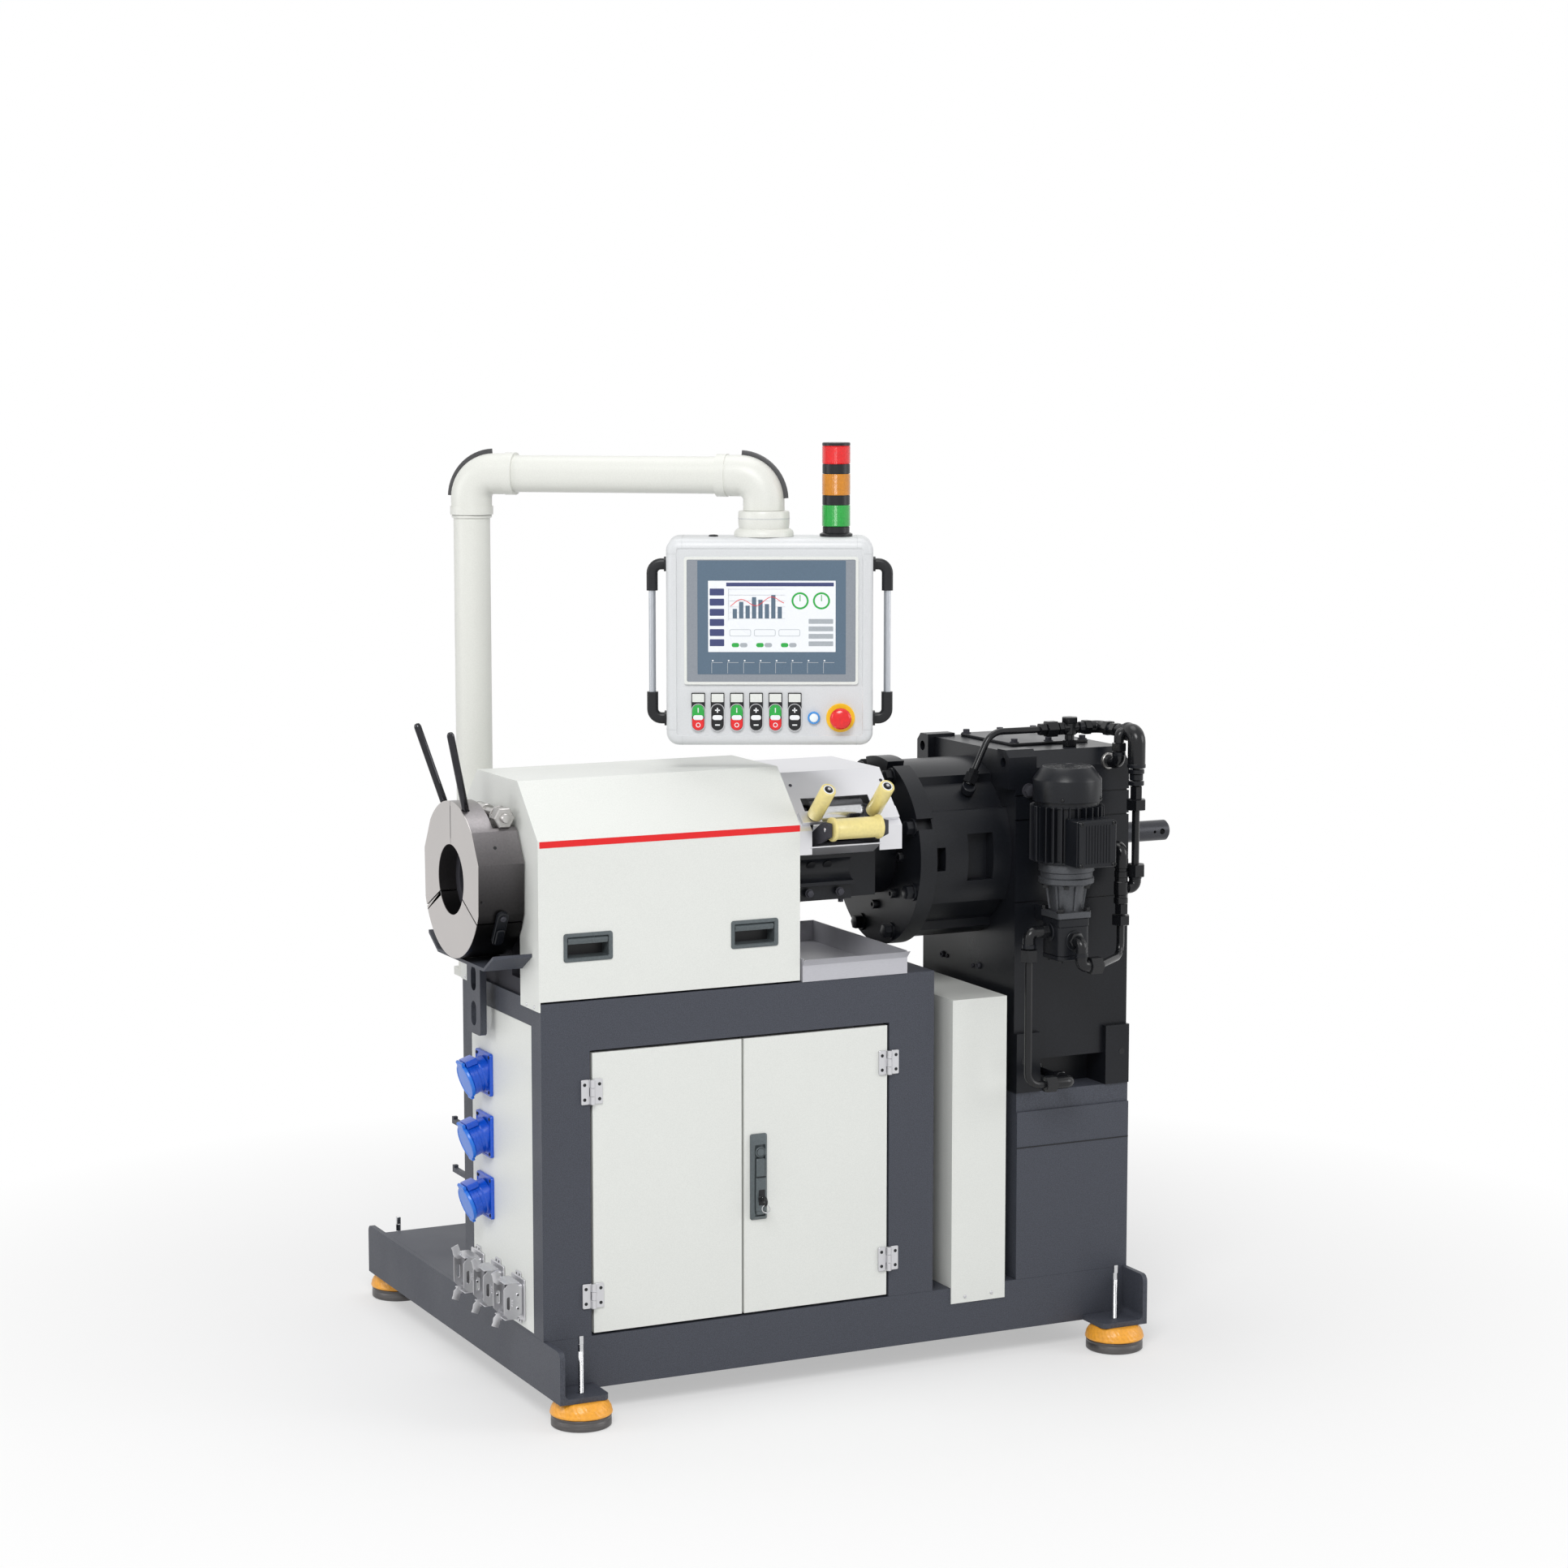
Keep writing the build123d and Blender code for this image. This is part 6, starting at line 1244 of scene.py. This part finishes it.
class EXTRUDER_OT_arm(bpy.types.Operator):
    """Operator arm: tubes and elbows carried along their routes, collars, gussets and dark edge strips"""
    bl_idname = "extruder.arm"
    bl_label = "Operator arm"

    def execute(self, context):
        post = np.array((46.0, 446.0, 0.0))
        run = SWIVEL - post
        reach = np.linalg.norm(run)
        way = run / reach
        boom, neck, foot = 1740.0, 1675.0, 1661.5

        def spot(along, height):
            """Place along the boom's line at a height."""
            return post + way * along + Z * height

        column = turned([
            (34, 772.0), (35, 773), (35, 1655), (37.6, 1655.4), (38.4, 1656), (38.4, 1660), (37.6, 1661),
        ], 56)
        seat = moved(block(70, 79, 0, 16, 4), post + np.array((0, -4.2, 764)))
        apron = moved(block(70, 8, 0, 83, 3), post + np.array((0, -39.7, 697)))
        put("post_column", [moved(column, post), seat, apron], "frame", "white_paint", "warm_white", ["post"])
        spots = [post + np.array((u, -35.7, v)) for u in (-22, 22) for v in (712, 742)]
        put("post_bolts", [spread(cap_screw(6.5, 7), spots, Y)], "frame", "steel", "chrome")
        flat = np.cross(Z, way)
        section = box_line(70, 70, 31, 9)
        elbow = box_line(77, 77, 35.5, 9)
        shapes = [carried([spot(70, boom), spot(reach - 70, boom)], section, Z)]
        first = bent([spot(0, foot), spot(0, boom), spot(86, boom)], 46, 15)
        last = bent([spot(reach - 86, boom), spot(reach, boom), spot(reach, neck)], 46, 15)
        shapes += [carried(first, elbow, flat), carried(last, elbow, flat)]
        collars = [[spot(70, boom), spot(89, boom)], [spot(reach - 89, boom), spot(reach - 70, boom)],
                   [spot(0, foot), spot(0, foot + 16)]]
        shapes += [carried(route, box_line(80.5, 80.5, 36, 9), flat) for route in collars]
        gusset = np.array([(0.0, 0.0), (30.0, 0.0), (0.0, 30.0)])
        for place, turn in ((spot(37, boom - 37), 1), (spot(reach - 37, boom - 37), -1)):
            web = prism(gusset - np.array((2, 2)), -9, 9, 1.0)
            points = web[0] * np.array((1, -1, 1))
            shapes.append(moved((points, web[1]), place, flat * turn, way * turn))
        put("arm_tube", shapes, "arm", "white_paint", "warm_white", ["arm"])
        strips = []
        for middle, start in ((spot(46, boom - 46), pi), (spot(reach - 46, boom - 46), 0.0)):
            angle = np.linspace(0.04, pi / 2 - 0.04, 16)
            angle = start - angle if start else start + angle
            arc = middle + np.outer(np.cos(angle), way) * 85.0 + np.outer(np.sin(angle), Z) * 85.0
            strips.append(carried(arc, box_line(17, 3.4, 1.2, 3), flat))
        put("arm_edge_strips", strips, "arm", "black_plastic", "strip_grey")
        cup = [
            (48, 0), (56.0, 0.0), (56.2, 6), (54, 11), (50, 14.4), (47, 15), (47.6, 18), (48.4, 24),
            (48.4, 44), (47, 47.4), (42, 48.2),
        ]
        joint = SWIVEL + Z * PANEL_TOP
        shell = moved(turned(cup, 72), joint)
        put("panel_joint", [shell], "panel", "white_paint", "warm_white", ["panel_coupling"])
        ring = turned(pipe_wall(49.0, 46, 33.0, 34.4, 0.3), 72, True)
        put("panel_joint_ring", [moved(ring, joint)], "panel", "white_paint", "seam")
        return {"FINISHED"}


# The pump's upright line, and the routes of the lubrication lines with the radius of each bend
PUMP = np.array((1067.0, -75.0, 0.0))
SUCTION = (((1031.7, -75, 858), (985, -75, 858), (985, -75, 556), (1082, -75, 556), (1082, 71.7, 556)), 26)
OUTLET = (((1067, -110.3, 842), (1067, -135, 842), (1067, -135, 795), (1110, -135, 795), (1200, -60, 795),
           (1200, -60, 855.7)), (10, 16, 26, 26))
RETURN = (((1214.3, -60, 929), (1232, -60, 929), (1232, -60, 1232), (1232, 82, 1232), (1178.3, 82, 1232)), 16)
DROP = (((1224.2, -30, 1232), (1210, -30, 1232), (1210, -30, 1172), (1210, 11.7, 1172)), (10, 16))
HOSE = (((1149.7, 82, 1232), (985, 82, 1232), (936, 82, 1132)), 40)


def round_spots(middle, radius, count, height, start=0.0):
    """Spots on a circle round an upright axis at one height."""
    return at_height(circle(radius, count, middle, start), height)


def outward(turn):
    """Level direction at an angle round an upright axis."""
    return np.array((cos(turn), sin(turn), 0))


def corner_spots(middle, wide, deep):
    """Four spots about a middle, wide and deep to either side of it."""
    return [np.array(middle) + (side * wide, rise * deep, 0) for side in (-1, 1) for rise in (-1, 1)]


def fitting(spot, way, across, long):
    """Hexagon nut set on a pipe, its middle at the spot."""
    return moved(hexagon(across, -long / 2, long / 2), spot, way)


def collar(spot, way, radius, long, edge=1.0):
    """Round sleeve set on a pipe, its middle at the spot."""
    return moved(turned(drum(radius, -long / 2, long / 2, edge), 32), spot, way)


class EXTRUDER_OT_pump(bpy.types.Operator):
    """Lubrication pump: finned motor with fan cowl, terminal box, ribbed bell, bolted plates and pump body"""
    bl_idname = "extruder.pump"
    bl_label = "Lubrication pump"

    def execute(self, context):
        self.motor()
        self.terminal()
        self.body()
        return {"FINISHED"}

    def motor(self):
        """Motor: star of fins carried upwards; cowl turned from its side, cone and sunk grille."""
        count, core, tip = 28, 57.0, 72.0
        low, high = 996, 1104
        middle = np.linspace(0, 2 * pi, count, endpoint=False)[:, None]
        reach = np.array((core, tip, tip, core))[None, :]
        angle = middle + np.array((-2.3, -1.3, 1.3, 2.3))[None, :] / reach
        star = np.stack((reach * np.cos(angle), reach * np.sin(angle)), -1).reshape(-1, 2)
        parts = [moved(prism(star, low, high, 1.0), PUMP)]
        parts.append(moved(turned(drum(62, 992, 998, 1.5), 56), PUMP))
        parts.append(moved(turned(drum(62, 1100, 1113, 1.2), 56), PUMP))
        for out in map(outward, np.radians((180.0, 0.0, 90.0))):
            parts.append(moved(block(9, 12, low, high, 2, 1), PUMP + out * 67.0, Z, out))
        cowl = [
            (63, 1112), (66.4, 1112), (67, 1112.8), (67, 1152.4), (66.4, 1155), (50.5, 1176.4), (48.4, 1178),
            (45.5, 1178), (44.8, 1176.6), (9, 1176.2), (8, 1177.6), (0.6, 1177.8),
        ]
        parts.append(moved(turned(cowl, 64), PUMP))
        put("pump_motor_case", parts, "frame", "black_cast", "casting", ["pump_motor"], 30)
        # Black plates in the cowl's grille slots: painted shade
        slots = []
        for turn in np.linspace(0, 2 * pi, 18, endpoint=False):
            for slot in (box_line(13, 3.8, 1.8, 4, (18.5, 0)), box_line(14, 5.8, 2.2, 4, (34.5, 0))):
                slots.append(moved(prism(slot, 1176.0, 1176.9, 0.1), PUMP, Z, outward(turn)))
        put("pump_cowl_slot_shade", slots, "frame", "black_plastic", "black")
        screws = []
        for out in map(outward, np.radians((-128.0, -46.0, 52.0, 134.0))):
            screws.append(moved(dome_screw(3.8, 2.6), PUMP + out * 66.8 + Z * 1119, out))
        put("pump_cowl_screws", screws, "frame", "black_cast", "pipe_black")

    def terminal(self):
        """Terminal box: rounded base, cover with upright ribs and a screw in each corner."""
        across, height, back = 1073.0, 1038.0, -147.3
        middle = (across, height)
        parts = [front(prism(box_line(84, 92, 5, 6, middle), -18, 27, 1.2), back)]
        parts.append(front(prism(box_line(82, 90, 4, 6, middle), 27.6, 34.6, 1.4), back))
        for rib in 1049.0 + 6.4 * np.arange(9):
            parts.append(front(prism(box_line(3.6, 74, 1.4, 3, (rib, height)), 34, 36.2, 0.6), back))
        put("pump_terminal_box", parts, "frame", "black_cast", "casting", ["terminal_box"], 30)
        heads = spread(cap_screw(4.4, 2.6), corner_spots((across, height, 34), 36, 40))
        put("pump_box_screws", [front(heads, back)], "frame", "black_cast", "pipe_black")

    def body(self):
        """Bell turned in a taper with slanted ribs, square plates with corner bolts, and the pump's block."""
        bell = [
            (30, 896.5), (30.4, 903), (32, 908), (36, 944), (38.6, 950), (51, 950), (54, 952.6), (54, 962),
            (50.8, 964), (50.8, 973), (54, 975.4), (54, 989), (53, 991.6), (20, 991.7),
        ]
        cast = [moved(turned(bell, 56), PUMP)]
        for out in map(outward, np.radians(30.0 + 60.0 * np.arange(6))):
            rib = prism(np.array([(25, 899), (33.5, 899), (41.5, 950.4), (25, 950.4)]), -2.4, 2.4, 0.7)
            cast.append(moved(rib, PUMP, np.cross(out, Z), out))
        cast.append(moved(block(74, 74, 884.4, 897, 7, 1.0), PUMP))
        put("pump_bell", cast, "frame", "black_cast", "bell", sharp=30)
        dark = [moved(block(69, 69, 868, 884, 7, 1.0), PUMP)]
        dark.append(moved(block(70, 70, 812, 868.2, 12, 0.6), PUMP))
        dark.append(moved(block(71, 71, 803, 811.4, 12, 1.2), PUMP))
        dark.append(moved(block(40, 47.4, 868.2, 896.6, 3, 1.0), PUMP + Y * 63))
        dark.append(moved(turned(drum(20, 0, 3, 0.8), 36), (1067, -109.6, 842), -Y))
        dark.append(moved(turned(drum(18, 0, 4, 0.8), 36), (1032.4, -75, 856), -X))
        put("pump_block", dark, "frame", "black_cast", "casting", ["lube_pump"], 30)
        bolts = [spread(hex_bolt(11, 8), corner_spots(PUMP + Z * 897, 29.5, 29.5))]
        bolts.append(spread(hex_bolt(11, 7), round_spots(PUMP[:2], 45.5, 6, 950.2), -Z))
        bolts.append(spread(hex_bolt(9, 6), corner_spots(PUMP + Z * 803.2, 25, 25), -Z))
        put("pump_bolts", bolts, "frame", "steel", "pipe_black")


class EXTRUDER_OT_lube(bpy.types.Operator):
    """Lubrication lines: bent pipes, elbows, nuts and sleeves, valve column and tee over the gearbox"""
    bl_idname = "extruder.lube"
    bl_label = "Lubrication lines"

    def execute(self, context):
        lines = [tube(bent(*route), 7.5, 24) for route in (SUCTION, OUTLET, RETURN, DROP)]
        lines.append(tube(bent(HOSE[0], HOSE[1], 14), 6.5, 24))
        put("lube_lines", lines, "frame", "dark_steel", "pipe_black", ["lube_pipes"], 50)
        elbows = (
            ((1012, -75, 858), (985, -75, 858), (985, -75, 828), 13.0, 12.0),
            ((1047, -75, 556), (1082, -75, 556), (1082, -40, 556), 14.0, 12.0),
            ((1067, -122, 842), (1067, -135, 842), (1067, -135, 812), 11.5, 11.0),
            ((1067, -135, 814), (1067, -135, 795), (1084, -135, 795), 13.0, 12.2),
            ((1214, -60, 929), (1232, -60, 929), (1232, -60, 950), 12.5, 12.0),
            ((1200, -60, 984), (1200, -60, 1007), (1200, -26, 1007), 14.0, 13.0),
            ((1232, -60, 1168), (1232, -60, 1232), (1232, -24, 1232), 18.0, 17.4),
            ((1232, 56, 1232), (1232, 82, 1232), (1210, 82, 1232), 14.0, 12.5),
            ((1221, -30, 1232), (1210, -30, 1232), (1210, -30, 1212), 10.5, 10.0),
            ((1210, -30, 1190), (1210, -30, 1172), (1210, -6, 1172), 13.5, 12.5),
        )
        bends = [tube(bent((first, mid, last), bend, 9), radius, 28)
                 for first, mid, last, bend, radius in elbows]
        put("lube_elbows", bends, "frame", "black_cast", "pipe_black", sharp=50)
        nuts = (
            ((1019, -75, 858), X, 24, 14), ((985, -75, 813), Z, 31, 25), ((1034, -75, 556), X, 29, 25),
            ((1082, -31, 556), Y, 24, 16), ((1082, 64, 556), Y, 28, 14), ((1067, -116, 842), Y, 29, 10),
            ((1097, -135, 795), X, 31, 27), ((1200, -60, 866), Z, 33, 20), ((1200, -60, 889), Z, 22, 22),
            ((1232, -60, 962), Z, 35, 25), ((1200, -17, 1007), Y, 25, 18), ((1232, -60, 1092), Z, 36, 22),
            ((1232, -60, 1115), Z, 22, 26), ((1232, -14, 1232), Y, 27, 16), ((1232, 18, 1232), Y, 24, 14),
            ((1232, 46, 1232), Y, 27, 18), ((1202, 82, 1232), X, 27, 15), ((1210, -30, 1203), Z, 27, 16),
            ((1141, 82, 1232), X, 24, 11), ((1121, 82, 1232), X, 30, 24), ((1101, 82, 1232), X, 22, 14),
            ((941.6, 82, 1143.4), (0.44, 0, 0.898), 25, 20), ((947.8, 82, 1156), (0.44, 0, 0.898), 19, 10),
        )
        sleeves = (
            ((985, -75, 831), Z, 13.5, 9), ((1067, -135, 817), Z, 12.6, 8), ((1232, -60, 948), Z, 13, 6),
            ((1232, -60, 1134), Z, 15.4, 9), ((1232, -60, 1146), Z, 13.4, 12),
            ((1232, -60, 1157), Z, 15.8, 9), ((1232, -60, 1168), Z, 18.2, 8),
            ((1232, -27, 1232), Y, 18.2, 8), ((1232, 2, 1232), Y, 11.5, 14),
            ((1232, 32, 1232), Y, 11.5, 12), ((1190, 82, 1232), X, 11.5, 12), ((1210, -30, 1190), Z, 13.2, 8),
            ((1210, 1, 1172), Y, 12, 14),
        )
        put("lube_nuts", [fitting(*row) for row in nuts], "frame", "black_cast", "pipe_black", sharp=30)
        put("lube_sleeves", [collar(*row) for row in sleeves], "frame", "black_cast", "casting")
        self.valves()
        return {"FINISHED"}

    def valves(self):
        """Valve column turned with bands and grooves, its port at the gearbox, the tee and a ring."""
        column = [
            (9, 896), (13, 898), (14, 899.5), (14, 909), (12.4, 910.4), (12.4, 915), (14, 916.5), (14, 941),
            (12.4, 942.5), (12.4, 950), (13.4, 951), (13.4, 962), (12, 963), (12, 968), (14, 969.5),
            (14, 986), (13, 987.5), (8, 988),
        ]
        foot = np.array((1200.0, -60.0, 0.0))
        port = foot + Z * 1007
        parts = [moved(turned(column, 40), foot)]
        parts.append(moved(turned(drum(9.5, 12, 20, 0.8), 28), foot + Z * 929, X))
        parts.append(moved(turned(drum(10.5, 48, 71.7, 0.8), 32), port, Y))
        parts.append(moved(turned([(17, 66.5), (17.6, 67), (17.6, 71), (17, 71.7)], 36), port, Y))
        tee = np.array((1164.0, 82.0, 0.0))
        parts += [moved(hexagon(27, 1196.4, 1209), tee), moved(turned(drum(9.5, 1208, 1222, 0.6), 28), tee)]
        parts += [moved(turned(drum(13.5, 1219, 1243, 1.4), 36), tee), moved(hexagon(30, 1242, 1254), tee)]
        parts.append(moved(turned(drum(12.4, -17, 15, 1.0), 32), tee + Z * 1232, X))
        put("lube_valves", parts, "frame", "dark_steel", "pipe_black", ["lube_fittings"], 30)
        rim = [(12.6, 34), (15, 34), (15.8, 34.8), (15.8, 41.2), (15, 41.9), (12.6, 41.9)]
        ring = moved(turned(rim, 36, True), (1210, -30, 1172), Y)
        put("lube_port_ring", [ring], "frame", "steel", "bolt_grey")


class EXTRUDER_OT_gear(bpy.types.Operator):
    """Gearbox and drive: end cover round the shaft, top plate, bolts, guard screws and motor fittings"""
    bl_idname = "extruder.gear"
    bl_label = "Gearbox and drive"

    def execute(self, context):
        seal = [
            (22.4, 0.3), (61, 0.3), (62, 1.2), (62, 7), (60.6, 8.4), (40, 8.4), (38.6, 9.8), (38.6, 13),
            (36, 14.4), (22.4, 14.4),
        ]
        plates = [moved(turned(seal, 56, True), AXIS + X * 1260, X)]
        plates.append(prism(box_line(176, 222, 10, 6, (1146, 232)), 1196.3, 1202, 1.2))
        put("gear_covers", plates, "frame", "black_cast", "casting", sharp=30)
        ring = round_axis(1268.4, 51, np.radians(60.0 * np.arange(6)))
        screws = [spread(cap_screw(5, 4), ring, X)]
        screws.append(spread(cap_screw(6.5, 5), [(1003, 304, 756), (1003, 154, 756)], -X))
        screws.append(spread(cap_screw(4.2, 3), [(1003, 286, 755), (1003, 179, 752)], -X))
        lid = [(1146 + side * 78, 232 + rise * 98, 1202) for side in (-1, 0, 1) for rise in (-1, 1)]
        screws.append(spread(hex_bolt(13, 8), lid))
        side_bolts = [(1260, across, height) for across in (40, 362) for height in (1090, 1046)]
        screws.append(spread(hex_bolt(16, 10), side_bolts, X))
        screws.append(spread(hex_bolt(20, 12), [(1031, 12, 1122)], -Y))
        put("gear_screws", screws, "frame", "steel", "dark_steel")
        # Black discs for the foot's holes: painted shade
        hole = turned([(6.4, 0), (6.4, 0.5), (5.6, 0.5), (0.4, 0.3)], 28)
        holes = spread(hole, [(1243, 0, 589), (1020, 0, 588)], -Y)
        put("gear_foot_hole_shade", [holes], "frame", "black_plastic", "black")
        guard = spread(dome_screw(3.6, 2.2), [(889, -3, 131), (948, -3, 132)], -Y)
        put("guard_screws", [guard], "frame", "steel", "zinc")
        seam = prism(box_line(255, 2.2, 0.6, 2, (1132.5, -0.1)), 414, 416, 0.3)
        put("pedestal_seam", [seam], "frame", "graphite_paint", "black")
        self.drive()
        return {"FINISHED"}

    def drive(self):
        """Drive motor: lid on the terminal box with its screws, and the slotted end of the fan cowl."""
        lid, lid_top, cowl_end = (561, 650), 490, (330, 650, 310.3)
        disc = turned([(104, -0.4), (104, 2.0), (100, 3.2), (30, 3.2), (28, 2), (0.6, 1.8)], 56)
        covers = [prism(box_line(126, 126, 6, 5, lid), 481.6, lid_top, 1.4), moved(disc, cowl_end, -X)]
        put("drive_motor_covers", covers, "frame", "black_cast", "casting", sharp=30)
        # Black plates in the cowl's slots: painted shade
        slots = []
        for turn in np.linspace(0, 2 * pi, 16, endpoint=False):
            slot = prism(box_line(56, 7, 3.2, 4, (65, 0)), 2.9, 3.8, 0.1)
            slots.append(moved(slot, cowl_end, -X, (0, cos(turn), sin(turn))))
        put("drive_cowl_slot_shade", slots, "frame", "black_plastic", "black")
        heads = corner_spots((*lid, lid_top), 52, 52)
        put("drive_motor_screws", [spread(cap_screw(5, 4), heads)], "frame", "steel", "dark_steel")


class EXTRUDER_OT_feet(bpy.types.Operator):
    """Levelling feet: turned bases, caps with swirling ridges, studs with flats, and coves in the angles"""
    bl_idname = "extruder.feet"
    bl_label = "Levelling feet"

    def execute(self, context):
        spots = [(x, y, 0.0) for x in (55.0, 1205.0) for y in (-47.0, 947.0)]
        base = [
            (50, 0), (54.5, 0.2), (56.5, 2), (56.5, 14), (55.6, 15.4), (55.6, 17), (56.5, 18.4), (56.5, 20.6),
            (55.4, 21.9),
        ]
        put("foot_rounds", [spread(turned(base, 72), spots)], "frame", "foot_metal", "foot", ["foot_bases"])

        def ridges(angle, height):
            """Ridges: radius swells by 36 rounded crests, leaning with the height, fading at rim and top."""
            fade = np.clip((height - 27) / 5, 0, 1) * np.clip((48 - height) / 6, 0, 1)
            crest = np.maximum(0, np.sin(36 * angle + 0.55 * (height - 27)))
            return 1.3 * fade * crest

        cap = [
            (54, 22.4), (57, 22.6), (58.4, 24.2), (58.6, 26), (57.8, 28), (56.6, 30), (55.8, 33), (54.6, 36),
            (52.8, 39), (50.6, 42), (48.6, 45), (46.8, 47.4), (44.4, 49), (40, 49.6), (8, 49.7),
        ]
        domes = spread(turned(cap, 216, wave=ridges), spots)
        put("foot_domes", [domes], "frame", "foot_cap", "orange", ["foot_caps"], 60)
        stud = [thread(5.4, 60, 140, 1.6, 20)]
        stud += [turned(drum(5.5, 49.9, 61, 0.3), 24), turned(drum(5.5, 139, 153, 0.5), 24)]
        stud.append(block(8.2, 8.2, 152, 168, 0.8, 0.6))
        put("foot_pins", [spread(joined(stud), spots)], "frame", "steel", "chrome", ["foot_studs"])
        turn = np.linspace(-pi / 2, -pi, 7)
        arc = np.stack((20 + 10 * np.cos(turn), 70 + 10 * np.sin(turn)), 1)
        cove = np.concatenate((np.array([(9.9, 59.9)]), arc))
        coves = []
        for ends in ((-79.5, -0.4), (900.4, 979.5)):
            rings = [np.column_stack((cove[:, 0], np.full(len(cove), at), cove[:, 1])) for at in ends]
            points, faces = loft(np.stack(rings))
            coves += [(points, faces), (points * (-1, 1, 1) + (1260, 0, 0), faces)]
        put("angle_coves", coves, "frame", "graphite_paint", "graphite")
        return {"FINISHED"}


CLASSES = (
    ExtruderFinishes, ExtruderSizes, EXTRUDER_OT_stage, EXTRUDER_OT_paint, EXTRUDER_OT_hinges,
    EXTRUDER_OT_lock, EXTRUDER_OT_sockets, EXTRUDER_OT_plugs, EXTRUDER_OT_cover_trim,
    EXTRUDER_OT_head_clamp, EXTRUDER_OT_feed, EXTRUDER_OT_lantern_bolts, EXTRUDER_OT_panel_case,
    EXTRUDER_OT_display, EXTRUDER_OT_buttons, EXTRUDER_OT_grips, EXTRUDER_OT_tower, EXTRUDER_OT_arm,
    EXTRUDER_OT_pump, EXTRUDER_OT_lube, EXTRUDER_OT_gear, EXTRUDER_OT_feet,
)
STEPS = (
    "stage", "paint", "hinges", "lock", "sockets", "plugs", "cover_trim", "head_clamp", "feed",
    "lantern_bolts", "panel_case", "display", "buttons", "grips", "tower", "arm", "pump", "lube", "gear",
    "feet",
)


class EXTRUDER_PT_panel(bpy.types.Panel):
    """Lists the machine's pieces and the colours and sizes they take"""
    bl_idname = "EXTRUDER_PT_panel"
    bl_label = "Extruder"
    bl_space_type = "VIEW_3D"
    bl_region_type = "UI"
    bl_category = "Extruder"

    def draw(self, context):
        for step in STEPS:
            self.layout.operator("extruder." + step)
        for group in (context.scene.extruder_finishes, context.scene.extruder_sizes):
            for name in group.__annotations__:
                self.layout.prop(group, name)


def register():
    for cls in CLASSES:
        bpy.utils.register_class(cls)
    bpy.utils.register_class(EXTRUDER_PT_panel)
    bpy.types.Scene.extruder_finishes = bpy.props.PointerProperty(type=ExtruderFinishes)
    bpy.types.Scene.extruder_sizes = bpy.props.PointerProperty(type=ExtruderSizes)


def unregister():
    del bpy.types.Scene.extruder_finishes
    del bpy.types.Scene.extruder_sizes
    bpy.utils.unregister_class(EXTRUDER_PT_panel)
    for cls in reversed(CLASSES):
        bpy.utils.unregister_class(cls)


def main():
    register()
    for step in STEPS:
        getattr(bpy.ops.extruder, step)()


if __name__ == "__main__":
    main()
